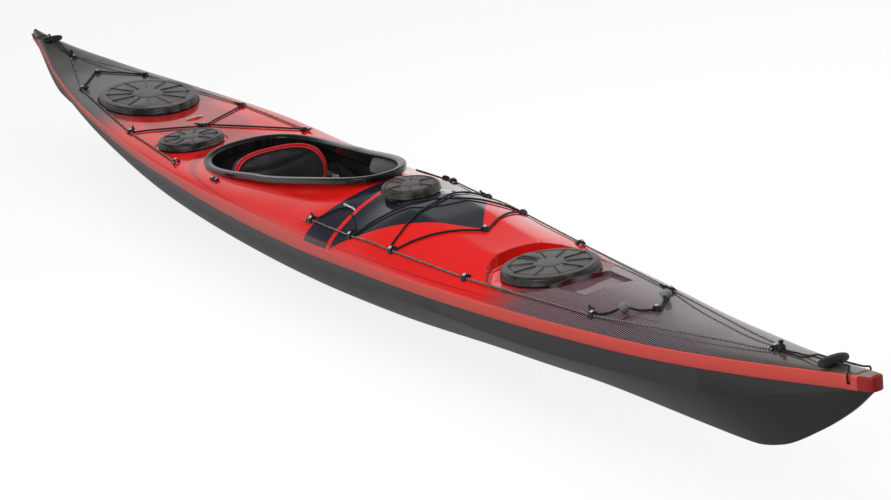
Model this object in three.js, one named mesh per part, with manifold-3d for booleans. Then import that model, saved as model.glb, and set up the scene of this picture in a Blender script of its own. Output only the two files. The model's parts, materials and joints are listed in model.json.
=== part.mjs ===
// Touring sea kayak: two composite shells, seam band, cockpit, four hatches, skeg, footrests and deck lines.
// Millimetres. +X points to the bow, +Y to port, +Z up. The origin lies under midship, where the keel rests.

import * as THREE from "three";
import { mergeVertices } from "three/addons/utils/BufferGeometryUtils.js";
import Module from "manifold-3d";

const wasm = await Module();
wasm.setup();

// Overall form
const HALF_LENGTH = 2562;
const HALF_BEAM = 284;
const SHEER_HEIGHT = 343;
const DECK_HEIGHT = 376;
const SHELL_WALL = 4;
const BAND_HEIGHT = 34;
const BAND_WALL = 3;
const KEEL_FLAT = 36;
const CREASE_DROP = 72;
const END_CLOSING_SHARE = 0.955;

// Shared clearances
const GAP = 0.3;
const CORD_LIFT = 1.05;
const OVERRUN = 130;
const MERGE_STEP = 1e-3;

// Shares of the sizes above at positions from the stern (-1) to the bow (1)
const beamShares = [
  [-1, 0.035], [-0.9, 0.21], [-0.8, 0.405], [-0.55, 0.768], [-0.3, 0.972], [-0.1, 1],
  [0.1, 0.99], [0.3, 0.901], [0.55, 0.68], [0.8, 0.342], [0.9, 0.183], [1, 0.042],
];
const sheerShares = [
  [-1, 0.974], [-0.7, 0.767], [-0.35, 0.671], [0, 0.589], [0.35, 0.633], [0.7, 0.738], [0.85, 0.845], [1, 1],
];
const keelShares = [
  [-1, 0.965], [-0.985, 0.87], [-0.965, 0.72], [-0.945, 0.537], [-0.92, 0.431], [-0.85, 0.332],
  [-0.7, 0.184], [-0.5, 0.067], [-0.25, 0], [0.25, 0], [0.45, 0.073], [0.6, 0.163], [0.75, 0.216],
  [0.83, 0.254], [0.87, 0.335], [0.92, 0.542], [0.97, 0.805], [1, 1.01],
];
const ridgeShares = [
  [-1, 1], [-0.92, 0.931], [-0.836, 0.851], [-0.744, 0.793], [-0.56, 0.755], [-0.36, 0.724],
  [-0.25, 0.702], [-0.12, 0.745], [-0.03, 0.803], [0.08, 0.872], [0.17, 0.931], [0.25, 0.941],
  [0.31, 0.92], [0.37, 0.878], [0.44, 0.846], [0.52, 0.83], [0.68, 0.83], [0.78, 0.856], [0.866, 0.904], [1, 1],
];
const bandShares = [[-1, 0.5], [-0.5, 0.75], [0, 1], [1, 1]];
const creaseShares = [
  [-1, 0], [-0.7, 0.42], [0, 0.42], [0.3, 0.63], [0.6, 1], [0.8, 1], [0.95, 0.4], [1, 0],
];
const flatShares = [[-1, 0.11], [-0.8, 0.17], [-0.4, 0.6], [-0.2, 1], [0.2, 1], [0.4, 0.6], [0.8, 0.17], [1, 0.11]];
const bilgeShares = [[-1, 1.15], [-0.8, 1.1], [-0.5, 1.38], [0, 1.72], [0.5, 1.08], [0.8, 1.04], [1, 1.2]];
const crownShares = [
  [-1, 2], [-0.4, 2.2], [-0.1, 1.9], [0.12, 1.7], [0.22, 1.45], [0.31, 1.35], [0.45, 1.5], [0.6, 1.8], [1, 2],
];
const plateauShares = [[-1, 0], [0.2, 0], [0.28, 0.28], [0.42, 0.28], [0.5, 0], [1, 0]];

// Cockpit rim
const COAMING_LENGTH = 1010;
const COAMING_WIDTH = 382;
const COAMING_CENTRE_X = -115;
const COAMING_MEAN_HEIGHT = 320;
const COAMING_PITCH = 52;
const COAMING_DIP = 10;
const COAMING_ROLL = 9;
const COAMING_SQUARENESS_SHARE = 2.318;
const COAMING_TAPER_SHARE = 0.292;
const COAMING_WAIST_SHARE = 0.326;
const LIP_WIDTH = 22;
const LIP_DROP = 10;
const LIP_THICKNESS = 6;
const RISER_WALL = 4;
const RISER_TUCK = 8;
const COAMING_STEPS = 34;

// Hatches
const RIM_NECK_INSET = 17;
const RIM_NECK_WALL = 4;
const RIM_LIP_OVERHANG = 6;
const RIM_FLANGE_INSET = 3;
const RIM_FLANGE_HEIGHT = 3;
const RIM_HEIGHT = 16;
const RIM_TUCK = 10;
const COVER_WALL = 3;
const COVER_EDGE_ROUND = 5;
const COVER_FLARE = 1.5;
const COVER_GROOVE_DEPTH = 1.6;
const COVER_GROOVE_WIDTH = 5;
const COVER_RIB_WIDTH = 4;
const COVER_RIB_HEIGHT = 2;
const COVER_DISC_HEIGHT = 1.4;
const COVER_TAB_HEIGHT = 3;
const COVER_HEIGHT = 28;
const POD_COVER_HEIGHT = 25;
const DISC_SHARE = 0.36;
const GROOVE_SHARE = 0.8;
const BOW_HATCH_RADIUS = 131;
const DAY_HATCH_RADIUS = 109;
const POD_HATCH_RADIUS = 85;
const REAR_HATCH_LENGTH = 510;
const REAR_HATCH_WIDTH = 320;
const HATCH_TO_COAMING = 71;
const DAY_HATCH_OFFSET = 109;
const DAY_HATCH_BEHIND = 171;
const HATCH_LEDGE = 9;
const BOW_SCOOP_LEDGE = 34;
const POD_DEPTH = 120;
const POD_WALL = 3;

// Deck fittings and cords
const LINE_RADIUS = 2.5;
const BUNGEE_RADIUS = 3;
const PADDLE_CORD_RADIUS = 2;
const HANDLE_CORD_RADIUS = 2.2;
const STRAND_OFFSET = 3.3;
const KNOT_RADIUS = 5.5;
const FITTING_INSET = 46;
const FITTING_LENGTH = 15;
const FITTING_TUNNEL_WIDTH = 16;
const FITTING_TUNNEL_HEIGHT = 9;
const FITTING_WALL = 3.6;
const FITTING_SINK = 3;
const FLOAT_RADIUS = 13.5;

// Skeg
const SKEG_PIVOT_SHARE = -0.545;
const SKEG_BOX_LENGTH = 400;
const SKEG_BOX_WIDTH = 20;
const SKEG_BOX_WALL = 4;
const SKEG_BOX_HEIGHT = 150;
const SKEG_BLADE_LENGTH = 345;
const SKEG_BLADE_DEPTH = 112;
const SKEG_BLADE_THICKNESS = 6;
const SKEG_PIVOT_RISE = 42;
const SKEG_PIN_RADIUS = 3;
const SKEG_CABLE_RADIUS = 3;
const SLIDER_TRACK_LENGTH = 190;
const SLIDER_TRACK_WIDTH = 24;
const SLIDER_TRACK_HEIGHT = 5;
const SLIDER_SLOT_WIDTH = 6;
const SLIDER_KNOB_RADIUS = 12;

// Cockpit outfitting
const SEAT_REAR_X = -430;
const SEAT_FRONT_X = -60;
const SEAT_HEIGHT = 228;
const SEAT_LIP_HEIGHT = 92;
const SEAT_WALL = 5;
const BACKREST_WIDTH = 320;
const SEAT_SIDE_ROOM = 26;
const SEAT_HALF_WIDTH = BACKREST_WIDTH / 2 + SEAT_SIDE_ROOM;
const BACKREST_HEIGHT = 205;
const BACKREST_THICKNESS = 36;
const BACKREST_WRAP = 75;
const BACKREST_END_RISE = 60;
const HIP_PAD_LENGTH = 120;
const HIP_PAD_HEIGHT = 90;
const HIP_PAD_THICKNESS = 18;
const RATCHET_X = -291;
const RATCHET_HEIGHT = 188;
const RATCHET_LENGTH = 34;
const STRAP_WIDTH = 16;
const STRAP_THICKNESS = 2;
const RAIL_LENGTH = 400;
const RAIL_HEIGHT = 26;
const RAIL_THICKNESS = 9;
const RAIL_WEB = 3;
const RAIL_LIP = 2;
const RAIL_DROP = 24;
const RAIL_STANDOFF = 0.6;
const RAIL_CENTRE_X = 770;
const PEDAL_HEIGHT = 125;
const PEDAL_WIDTH = 88;
const PEDAL_THICKNESS = 9;
const BULKHEAD_THICKNESS = 8;
const FRONT_BULKHEAD_X = 1030;
const COCKPIT_BULKHEAD_X = -641;
const REAR_BULKHEAD_X = -990;

// Materials
const material = (color, roughness, metalness = 0) =>
  new THREE.MeshStandardMaterial({ color, roughness, metalness });
const finishes = {
  hull: material(0x5c5b5e, 0.45),
  deck: material(0xc9211d, 0.18),
  band: material(0xb8403a, 0.3),
  gloss_black: material(0x17171a, 0.25),
  moulded_black: material(0x1d1d20, 0.55),
  rubber: material(0x2b2b2d, 0.75),
  fabric: material(0x18181a, 0.95),
  steel: material(0xc4c6c8, 0.25, 1),
  aluminium: material(0xa9abad, 0.4, 1),
  cord: material(0x141416, 0.9),
  float_grey: material(0x7b7d80, 0.5),
  laminate: material(0x2e2d2c, 0.6),
};

const kayak = new THREE.Group();

function place(name, geometry, finish) {
  const mesh = new THREE.Mesh(geometry, finishes[finish]);
  mesh.name = name;
  kayak.add(mesh);
  return mesh;
}

// A curve through the given points that never overshoots between them.
function smoothCurve(points) {
  const count = points.length;
  const slopes = [];
  for (let i = 0; i + 1 < count; i++) {
    slopes.push((points[i + 1][1] - points[i][1]) / (points[i + 1][0] - points[i][0]));
  }
  const tangents = points.map((_, i) => {
    if (i === 0) return slopes[0];
    if (i === count - 1) return slopes[count - 2];
    const before = slopes[i - 1];
    const after = slopes[i];
    return before * after <= 0 ? 0 : (2 * before * after) / (before + after);
  });
  return (at) => {
    let i = 0;
    while (i < count - 2 && at > points[i + 1][0]) i++;
    const span = points[i + 1][0] - points[i][0];
    const t = Math.min(Math.max((at - points[i][0]) / span, 0), 1);
    const rise = points[i + 1][1] - points[i][1];
    const start = tangents[i] * span;
    const end = tangents[i + 1] * span;
    return points[i][1] + t * (start + t * (3 * rise - 2 * start - end + t * (start + end - 2 * rise)));
  };
}

const beamCurve = smoothCurve(beamShares);
const sheerCurve = smoothCurve(sheerShares);
const keelCurve = smoothCurve(keelShares);
const ridgeCurve = smoothCurve(ridgeShares);
const bandCurve = smoothCurve(bandShares);
const creaseCurve = smoothCurve(creaseShares);
const flatCurve = smoothCurve(flatShares);
const bilgeCurve = smoothCurve(bilgeShares);
const crownCurve = smoothCurve(crownShares);
const plateauCurve = smoothCurve(plateauShares);

const halfBeam = (u) => HALF_BEAM * beamCurve(u);
const sheer = (u) => SHEER_HEIGHT * sheerCurve(u);
const bandHeight = (u) => BAND_HEIGHT * bandCurve(u);
const shellJoint = (u) => sheer(u) + bandHeight(u) / 2;
const deckEdge = (u) => sheer(u) + bandHeight(u);

// Height of the deck at a share of the half beam from the centreline.
function deckRise(u, share) {
  const plateau = plateauCurve(u);
  const beyond = Math.max(0, (share - plateau) / (1 - plateau));
  const crown = crownCurve(u);
  const edge = deckEdge(u);
  return edge + (DECK_HEIGHT * ridgeCurve(u) - edge) * (1 - beyond ** crown) ** (1 / crown);
}

const SECTION_STEPS = 6;
const DECK_STEPS = 6;
const deckShares = Array.from({ length: DECK_STEPS + 1 }, (_, i) => Math.sin((Math.PI / 2) * (i / DECK_STEPS)));

// Half of a hull section, from the keel flat up to the joint of the shells, moved inwards by the inset.
function hullHalf(u, inset) {
  const beam = halfBeam(u) - inset;
  const drop = CREASE_DROP * creaseCurve(u);
  const creaseBeam = beam * (1 - (0.35 * drop) / (HALF_LENGTH * 0.39));
  const bilge = bilgeCurve(u);
  const creaseHeight = shellJoint(u) - GAP / 2 - drop;
  const bottom = Math.min(SHEER_HEIGHT * keelCurve(u) + inset, creaseHeight - inset);
  const flat = Math.min(KEEL_FLAT * flatCurve(u), beam / 2);
  const points = [];
  for (let i = 0; i <= SECTION_STEPS; i++) {
    const angle = (Math.PI / 2) * (i / SECTION_STEPS);
    points.push([
      flat + (creaseBeam - flat) * Math.sin(angle) ** (2 / bilge),
      creaseHeight - (creaseHeight - bottom) * Math.max(Math.cos(angle), 0) ** (2 / bilge),
    ]);
  }
  return points;
}

// Deck section from starboard to port, moved inwards by the inset.
function deckAcross(u, inset) {
  const beam = halfBeam(u) - inset;
  const half = deckShares.map((share) => [beam * share, deckRise(u, share) - inset]);
  return [...mirrored(half.slice(1)), ...half];
}

const ringAt = (u, points) => points.map(([y, z]) => new THREE.Vector3(u * HALF_LENGTH, y, z));

const mirrored = (half) => half.map(([y, z]) => [-y, z]).reverse();

function hullRing(u) {
  const half = hullHalf(u, 0);
  const top = [halfBeam(u), shellJoint(u) - GAP / 2];
  return ringAt(u, mirrored([...half, top]).concat(half, [top]));
}

function hullCavityRing(u, inset) {
  const half = hullHalf(u, inset);
  const top = [halfBeam(u) - inset, shellJoint(u) + OVERRUN];
  return ringAt(u, mirrored([...half, top]).concat(half, [top]));
}

function deckRing(u) {
  const beam = halfBeam(u);
  const low = shellJoint(u) + GAP / 2;
  return ringAt(u, [[-beam, low], ...deckAcross(u, 0), [beam, low]]);
}

function deckCavityRing(u, inset) {
  const beam = halfBeam(u) - inset;
  const low = shellJoint(u) - OVERRUN;
  return ringAt(u, [[-beam, low], ...deckAcross(u, inset), [beam, low]]);
}

// Stations along the boat, closer together towards the ends.
function stations(count, reach) {
  const list = [];
  for (let i = 0; i <= count; i++) {
    const v = (2 * i) / count - 1;
    list.push(reach * (0.62 * v + 0.38 * Math.sin((Math.PI / 2) * v)));
  }
  return list;
}

const shellStations = stations(32, 1);
const cavityStations = stations(18, END_CLOSING_SHARE);

// Height of the deck as its facets make it, or the smooth height where that is more.
function deckTop(x, y) {
  const along = x / HALF_LENGTH;
  const i = Math.min(Math.max(shellStations.findIndex((u) => u >= along), 1), shellStations.length - 1);
  const [before, after] = [shellStations[i - 1], shellStations[i]];
  const t = (along - before) / (after - before);
  const share = Math.min(Math.abs(y) / (halfBeam(before) * (1 - t) + halfBeam(after) * t), 1);
  const k = Math.min(Math.max(deckShares.findIndex((edge) => edge >= share), 1), DECK_STEPS);
  const s = (share - deckShares[k - 1]) / (deckShares[k] - deckShares[k - 1]);
  const facet = (u) => deckRise(u, deckShares[k - 1]) * (1 - s) + deckRise(u, deckShares[k]) * s;
  return Math.max(facet(before) * (1 - t) + facet(after) * t, deckRise(along, share));
}

// A closed geometry from corner points and faces, with its faces turned outwards.
function closedGeometry(points, faces) {
  let volume = 0;
  for (const [a, b, c] of faces) {
    volume += points[a].dot(new THREE.Vector3().crossVectors(points[b], points[c]));
  }
  const order = volume < 0 ? ([a, b, c]) => [a, c, b] : (face) => face;
  const geometry = new THREE.BufferGeometry().setFromPoints(points);
  geometry.setIndex(faces.flatMap(order));
  return geometry;
}

// Faces that close a flat ring of points, wound the way the ring runs, or against it.
function capFaces(ring, first, forward) {
  const normal = new THREE.Vector3();
  ring.forEach((point, i) => {
    normal.add(new THREE.Vector3().crossVectors(point, ring[(i + 1) % ring.length]));
  });
  const drop = ["x", "y", "z"].sort((p, q) => Math.abs(normal[q]) - Math.abs(normal[p]))[0];
  const [across, up] = { x: ["y", "z"], y: ["z", "x"], z: ["x", "y"] }[drop];
  const flat = ring.map((point) => new THREE.Vector2(point[across], point[up]));
  const faces = THREE.ShapeUtils.triangulateShape(flat, []);
  const runsForward = faces.some((face) =>
    face.some((corner, i) => (corner + 1) % ring.length === face[(i + 1) % 3]),
  );
  return faces.map(([a, b, c]) =>
    runsForward === forward ? [first + a, first + b, first + c] : [first + a, first + c, first + b],
  );
}

// Joins rings of equal point counts, and closes the two ends, or joins the last ring to the first.
function loft(rings, looped = false) {
  const count = rings[0].length;
  const points = rings.flat();
  const faces = [];
  const spans = looped ? rings.length : rings.length - 1;
  for (let i = 0; i < spans; i++) {
    const here = i * count;
    const next = ((i + 1) % rings.length) * count;
    for (let j = 0; j < count; j++) {
      const k = (j + 1) % count;
      faces.push([here + j, here + k, next + k], [here + j, next + k, next + j]);
    }
  }
  if (!looped) {
    faces.push(...capFaces(rings[0], 0, false));
    faces.push(...capFaces(rings[rings.length - 1], (rings.length - 1) * count, true));
  }
  return closedGeometry(points, faces);
}

function solid(geometry) {
  const bare = geometry.clone();
  for (const name of Object.keys(bare.attributes)) {
    if (name !== "position") bare.deleteAttribute(name);
  }
  const merged = mergeVertices(bare, MERGE_STEP);
  const corners = merged.index.array;
  const kept = [];
  for (let i = 0; i < corners.length; i += 3) {
    const [a, b, c] = corners.subarray(i, i + 3);
    if (a !== b && b !== c && c !== a) kept.push(a, b, c);
  }
  return new wasm.Manifold(
    new wasm.Mesh({
      numProp: 3,
      vertProperties: merged.attributes.position.array,
      triVerts: new Uint32Array(kept),
    }),
  );
}

function geometryOf(body) {
  const mesh = body.getMesh();
  const geometry = new THREE.BufferGeometry();
  geometry.setAttribute("position", new THREE.BufferAttribute(mesh.vertProperties, mesh.numProp));
  geometry.setIndex(new THREE.BufferAttribute(mesh.triVerts, 1));
  return geometry;
}

const join = (first, ...rest) => rest.reduce((body, piece) => body.add(piece), first);
const cut = (first, ...rest) => rest.reduce((body, piece) => body.subtract(piece), first);

function boxSolid(low, high) {
  const size = new THREE.Vector3().subVectors(high, low);
  const centre = new THREE.Vector3().addVectors(low, high).multiplyScalar(0.5);
  return solid(new THREE.BoxGeometry(size.x, size.y, size.z).translate(centre.x, centre.y, centre.z));
}

// A round bar between two points.
function barGeometry(start, end, radius, sides) {
  const length = start.distanceTo(end);
  const geometry = new THREE.CylinderGeometry(radius, radius, length, sides);
  const turn = new THREE.Quaternion().setFromUnitVectors(
    new THREE.Vector3(0, 1, 0),
    new THREE.Vector3().subVectors(end, start).normalize(),
  );
  const centre = new THREE.Vector3().addVectors(start, end).multiplyScalar(0.5);
  return geometry.applyQuaternion(turn).translate(centre.x, centre.y, centre.z);
}

// A round cord or rod whose rings stand at the given points.
function cordGeometry(route, radius, sides = 5) {
  const tangents = route.map((_, i) =>
    new THREE.Vector3()
      .subVectors(route[Math.min(i + 1, route.length - 1)], route[Math.max(i - 1, 0)])
      .normalize(),
  );
  const side = new THREE.Vector3(0, 0, 1).cross(tangents[0]);
  if (side.length() < 0.1) side.set(0, 1, 0);
  side.normalize();
  const rings = route.map((point, i) => {
    side.addScaledVector(tangents[i], -side.dot(tangents[i])).normalize();
    const up = new THREE.Vector3().crossVectors(tangents[i], side);
    return Array.from({ length: sides }, (_, k) => {
      const angle = (2 * Math.PI * (k + 0.5)) / sides;
      return point
        .clone()
        .addScaledVector(side, radius * Math.cos(angle))
        .addScaledVector(up, radius * Math.sin(angle));
    });
  });
  return loft(rings);
}

const vec = (x, y, z) => new THREE.Vector3(x, y, z);

// A point that lies on the deck, lifted by its cord's radius and a little more.
const onDeck = (x, y, lift) => vec(x, y, deckTop(x, y) + lift);

// Unit vector square to the deck.
function deckNormal(x, y) {
  const step = SHELL_WALL;
  const slopeX = (deckTop(x + step, y) - deckTop(x - step, y)) / (2 * step);
  const slopeY = (deckTop(x, y + step) - deckTop(x, y - step)) / (2 * step);
  return vec(-slopeX, -slopeY, 1).normalize();
}

// Turns a piece built round its own origin, +X along the heading and +Z up, onto the deck.
function deckFrame(x, y, heading, lift = 0) {
  const up = deckNormal(x, y);
  const ahead = vec(Math.cos(heading), Math.sin(heading), 0);
  ahead.addScaledVector(up, -ahead.dot(up)).normalize();
  const side = new THREE.Vector3().crossVectors(up, ahead);
  const at = onDeck(x, y, 0).addScaledVector(up, lift);
  return new THREE.Matrix4().makeBasis(ahead, side, up).setPosition(at);
}

const moved = (geometry, matrix) => geometry.clone().applyMatrix4(matrix);

// Cockpit rim outline, moved inwards by the inset, with the height of the rim at each point.
function coamingOutline(inset) {
  const raw = [];
  for (let i = 0; i < COAMING_STEPS; i++) {
    const angle = (2 * Math.PI * i) / COAMING_STEPS;
    const c = Math.cos(angle);
    const s = Math.sin(angle);
    const power = 2 / COAMING_SQUARENESS_SHARE;
    raw.push({
      x: COAMING_CENTRE_X + (COAMING_LENGTH / 2) * Math.sign(c) * Math.abs(c) ** power,
      y:
        (COAMING_WIDTH / 2) * Math.sign(s) * Math.abs(s) ** power *
        (1 - COAMING_TAPER_SHARE * c + COAMING_WAIST_SHARE * c * c),
      z:
        COAMING_MEAN_HEIGHT + COAMING_PITCH * c + COAMING_DIP * Math.cos(2 * angle) -
        COAMING_ROLL * Math.cos(3 * angle),
      angle,
    });
  }
  return offsetOutline(raw, -inset);
}

// Moves a closed outline, drawn anticlockwise, outwards by the distance, with mitred corners.
function offsetOutline(outline, distance) {
  const count = outline.length;
  const normals = outline.map((point, i) => {
    const next = outline[(i + 1) % count];
    const length = Math.hypot(next.x - point.x, next.y - point.y);
    return [(next.y - point.y) / length, (point.x - next.x) / length];
  });
  return outline.map((point, i) => {
    const [ax, ay] = normals[(i + count - 1) % count];
    const [bx, by] = normals[i];
    const reach = distance / (1 + ax * bx + ay * by);
    return { ...point, x: point.x + reach * (ax + bx), y: point.y + reach * (ay + by) };
  });
}

// A vertical prism through the given outline.
function prism(outline, low, high) {
  return solid(loft([low, high].map((z) => outline.map(({ x, y }) => vec(x, y, z)))));
}

// Hatches, each with its seat on the deck.
const coamingFront = COAMING_CENTRE_X + COAMING_LENGTH / 2;
const coamingRear = COAMING_CENTRE_X - COAMING_LENGTH / 2;
const REAR_HATCH_SHARE = -0.553;
const BOW_HATCH_SHARE = 0.499;
const hatches = [
  {
    name: "bow", x: BOW_HATCH_SHARE * HALF_LENGTH, y: 0, radius: BOW_HATCH_RADIUS, across: 1,
    seatShare: 0.769, pitch: 0.043, height: COVER_HEIGHT, ledge: BOW_SCOOP_LEDGE, ribs: 10, steps: 20, tab: Math.PI,
  },
  {
    name: "rear", x: REAR_HATCH_SHARE * HALF_LENGTH, y: 0, radius: REAR_HATCH_LENGTH / 2,
    across: REAR_HATCH_WIDTH / REAR_HATCH_LENGTH, seatShare: 0.737, pitch: 0, height: COVER_HEIGHT,
    ledge: HATCH_LEDGE, ribs: 12, steps: 20, tab: -Math.PI / 4,
  },
  {
    name: "day", x: coamingRear - DAY_HATCH_BEHIND, y: -DAY_HATCH_OFFSET, radius: DAY_HATCH_RADIUS, across: 1,
    seatShare: 0.695, pitch: 0.012, height: COVER_HEIGHT, ledge: HATCH_LEDGE, ribs: 9, steps: 16, tab: -Math.PI / 5,
  },
  {
    name: "pod", x: coamingFront + HATCH_TO_COAMING + POD_HATCH_RADIUS, y: 0, radius: POD_HATCH_RADIUS, across: 1,
    seatShare: 0.936, pitch: -0.03, height: POD_COVER_HEIGHT, ledge: HATCH_LEDGE, ribs: 6, steps: 14, tab: Math.PI,
  },
];

for (const hatch of hatches) {
  hatch.frame = new THREE.Matrix4()
    .makeRotationY(-hatch.pitch)
    .setPosition(hatch.x, hatch.y, hatch.seatShare * DECK_HEIGHT);
  hatch.oval = new THREE.Matrix4().makeScale(1, hatch.across, 1).premultiply(hatch.frame);
}

// A disc of a hatch's plan shape, square to its seat.
function hatchDisc(hatch, radius, low, high) {
  const disc = new THREE.CylinderGeometry(radius, radius, high - low, hatch.steps)
    .rotateX(Math.PI / 2)
    .translate(0, 0, (high + low) / 2);
  return solid(moved(disc, hatch.oval));
}

// Places of the deck fittings: a share of the half length, a side, and the heading of the cord through it.
const fittingShares = {
  S1: 0.143, S2: 0.229, S3: 0.313, S4: 0.447, S5: 0.644,
  A1: -0.248, A2: -0.419, A3: -0.681,
};
const centreFittingShares = { bow: 0.866, C5: 0.686, C3: 0.372, C2: -0.362, C4: -0.744, stern: -0.836 };

function edgeHeading(x) {
  const step = FITTING_LENGTH;
  const edge = (at) => halfBeam(at / HALF_LENGTH);
  return Math.atan2(edge(x + step) - edge(x - step), 2 * step);
}

const fittings = {};
for (const [name, share] of Object.entries(fittingShares)) {
  const x = share * HALF_LENGTH;
  const y = halfBeam(share) - FITTING_INSET;
  fittings["port_" + name] = { x, y, heading: edgeHeading(x) };
  fittings["starboard_" + name] = { x, y: -y, heading: -edgeHeading(x) };
}
for (const [name, share] of Object.entries(centreFittingShares)) {
  fittings[name] = { x: share * HALF_LENGTH, y: 0, heading: Math.PI / 2 };
}

// A low bridge over the cords, with a pad on the deck at each side.
function fittingSolid({ x, y, heading }) {
  const half = FITTING_TUNNEL_WIDTH / 2;
  const arch = new THREE.Shape();
  arch.moveTo(half + FITTING_WALL, -FITTING_SINK);
  arch.lineTo(half + FITTING_WALL, 0);
  arch.absellipse(0, 0, half + FITTING_WALL, FITTING_TUNNEL_HEIGHT + FITTING_WALL, 0, Math.PI, false);
  arch.lineTo(-half - FITTING_WALL, -FITTING_SINK);
  arch.lineTo(-half, -FITTING_SINK);
  arch.lineTo(-half, 0);
  arch.absellipse(0, 0, half, FITTING_TUNNEL_HEIGHT, Math.PI, 0, true);
  arch.lineTo(half, -FITTING_SINK);
  const bridge = new THREE.ExtrudeGeometry(arch, {
    depth: FITTING_LENGTH, bevelEnabled: false, steps: 1, curveSegments: 2,
  });
  bridge.translate(0, 0, -FITTING_LENGTH / 2);
  bridge.applyMatrix4(new THREE.Matrix4().makeBasis(vec(0, 1, 0), vec(0, 0, 1), vec(1, 0, 0)));
  return solid(moved(bridge, deckFrame(x, y, heading)));
}

// A point at a fitting: along the cord, across it and above the deck.
function atFitting(name, along, across, lift) {
  const { x, y, heading } = fittings[name];
  return vec(along, across, lift).applyMatrix4(deckFrame(x, y, heading));
}

// Points of a cord that lies taut on the deck between two points, without the ends.
function acrossDeck(from, to, lift, steps, over = 0) {
  const points = [];
  for (let i = 1; i < steps; i++) {
    const t = i / steps;
    const x = from.x + (to.x - from.x) * t;
    const y = from.y + (to.y - from.y) * t;
    const straight = from.z + (to.z - from.z) * t;
    const hump = over * Math.max(0, 1 - Math.abs(t - 0.5) * 5);
    points.push(vec(x, y, Math.max(straight, deckTop(x, y) + lift / deckNormal(x, y).z) + hump));
  }
  return points;
}

// Shells

const hullOuter = solid(loft(shellStations.map(hullRing)));
const deckOuter = solid(loft(shellStations.map(deckRing)));
const cavity = (ring, inset) => solid(loft(cavityStations.map((u) => ring(u, inset))));
let hull = cut(hullOuter, cavity(hullCavityRing, SHELL_WALL));
let deck = cut(deckOuter, cavity(deckCavityRing, SHELL_WALL));
const lowerSpace = boxSolid(vec(-HALF_LENGTH, -HALF_BEAM, 0), vec(HALF_LENGTH, HALF_BEAM, SHEER_HEIGHT * 0.45));
const room = cavity(hullCavityRing, SHELL_WALL + 2 * GAP)
  .intersect(cavity(deckCavityRing, SHELL_WALL + 2 * GAP).add(lowerSpace));

// A pocket in the deck with its own wall: first the solid cup, then the space above its floor.
function sinkPocket(cup, space) {
  deck = cut(deck.add(cup.intersect(deckOuter)), space);
}

for (const hatch of hatches) {
  const recess = hatch.radius + hatch.ledge;
  const neck = hatch.radius - RIM_NECK_INSET + RIM_NECK_WALL;
  sinkPocket(hatchDisc(hatch, recess + SHELL_WALL, -SHELL_WALL, OVERRUN), hatchDisc(hatch, recess, 0, OVERRUN));
  deck = cut(deck, hatchDisc(hatch, neck + GAP, -OVERRUN, OVERRUN));
}
deck = cut(deck, prism(coamingOutline(LIP_WIDTH - GAP), 0, DECK_HEIGHT + OVERRUN));
deck = join(deck, ...Object.values(fittings).map(fittingSolid));

// Seam band, with a thicker block round the bow

const BOW_BLOCK_WALL = 7;
const BAND_EDGE = 3;
const TIP_HOLE_SHARE = 0.978;
const bowBlockShares = [[-1, 0], [0.972, 0], [0.99, 0.8], [1, 1]];
const bowBlockCurve = smoothCurve(bowBlockShares);
const bandWall = (u) => BAND_WALL + (BOW_BLOCK_WALL - BAND_WALL) * bowBlockCurve(u);
const sheerLine = [
  ...shellStations.map((u) => ({ u, x: u * HALF_LENGTH, y: -halfBeam(u) })),
  ...shellStations.map((u) => ({ u, x: u * HALF_LENGTH, y: halfBeam(u) })).reverse(),
];

function bandRings() {
  const inner = offsetOutline(sheerLine, GAP);
  const unit = offsetOutline(sheerLine, GAP + 1);
  return inner.map(({ u, x, y }, i) => {
    const wall = bandWall(u);
    const outX = unit[i].x - x;
    const outY = unit[i].y - y;
    const low = sheer(u);
    const high = deckEdge(u);
    const at = (share, z) => vec(x + outX * wall * share, y + outY * wall * share, z);
    return [
      at(0, low), at(0, high), at(0.5, high), at(1, high - BAND_EDGE), at(1, low + BAND_EDGE), at(0.5, low),
    ];
  });
}

// The hole through the bow block that the carrying handle's cord runs in.
const tipHoleX = TIP_HOLE_SHARE * HALF_LENGTH;
const tipHoleZ = shellJoint(TIP_HOLE_SHARE);
const tipHole = solid(
  barGeometry(
    vec(tipHoleX, -HALF_BEAM, tipHoleZ), vec(tipHoleX, HALF_BEAM, tipHoleZ), HANDLE_CORD_RADIUS + 4 * GAP, 8,
  ),
);
hull = cut(hull, tipHole);
deck = cut(deck, tipHole);
place("seam_band", geometryOf(cut(solid(loft(bandRings(), true)), tipHole)), "band");

// Coaming

const LIP_EDGE = 4;
const LIP_BEND = 1;
const coamingProfile = [
  [LIP_BEND, -LIP_DROP],
  [0, -LIP_DROP / 2],
  [LIP_EDGE, 0],
  [LIP_WIDTH - LIP_BEND, 0],
  [LIP_WIDTH + RISER_WALL, -LIP_THICKNESS],
  [LIP_WIDTH + RISER_WALL, null],
  [LIP_WIDTH, null],
  [LIP_WIDTH, -LIP_THICKNESS - LIP_BEND],
  [LIP_EDGE + LIP_BEND, -LIP_THICKNESS],
  [LIP_EDGE, -LIP_DROP],
];
const rimFoot = coamingOutline(LIP_WIDTH).map(({ x, y }) => deckTop(x, y) - SHELL_WALL - RISER_TUCK);
const coamingCourses = coamingProfile.map(([inset, drop]) =>
  coamingOutline(inset).map(({ x, y, z }, i) => vec(x, y, drop === null ? rimFoot[i] : z + drop)),
);
const coamingRings = rimFoot.map((_, i) => coamingCourses.map((course) => course[i]));
place("coaming", geometryOf(solid(loft(coamingRings, true))), "gloss_black");

// Hatch rims and covers

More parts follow.
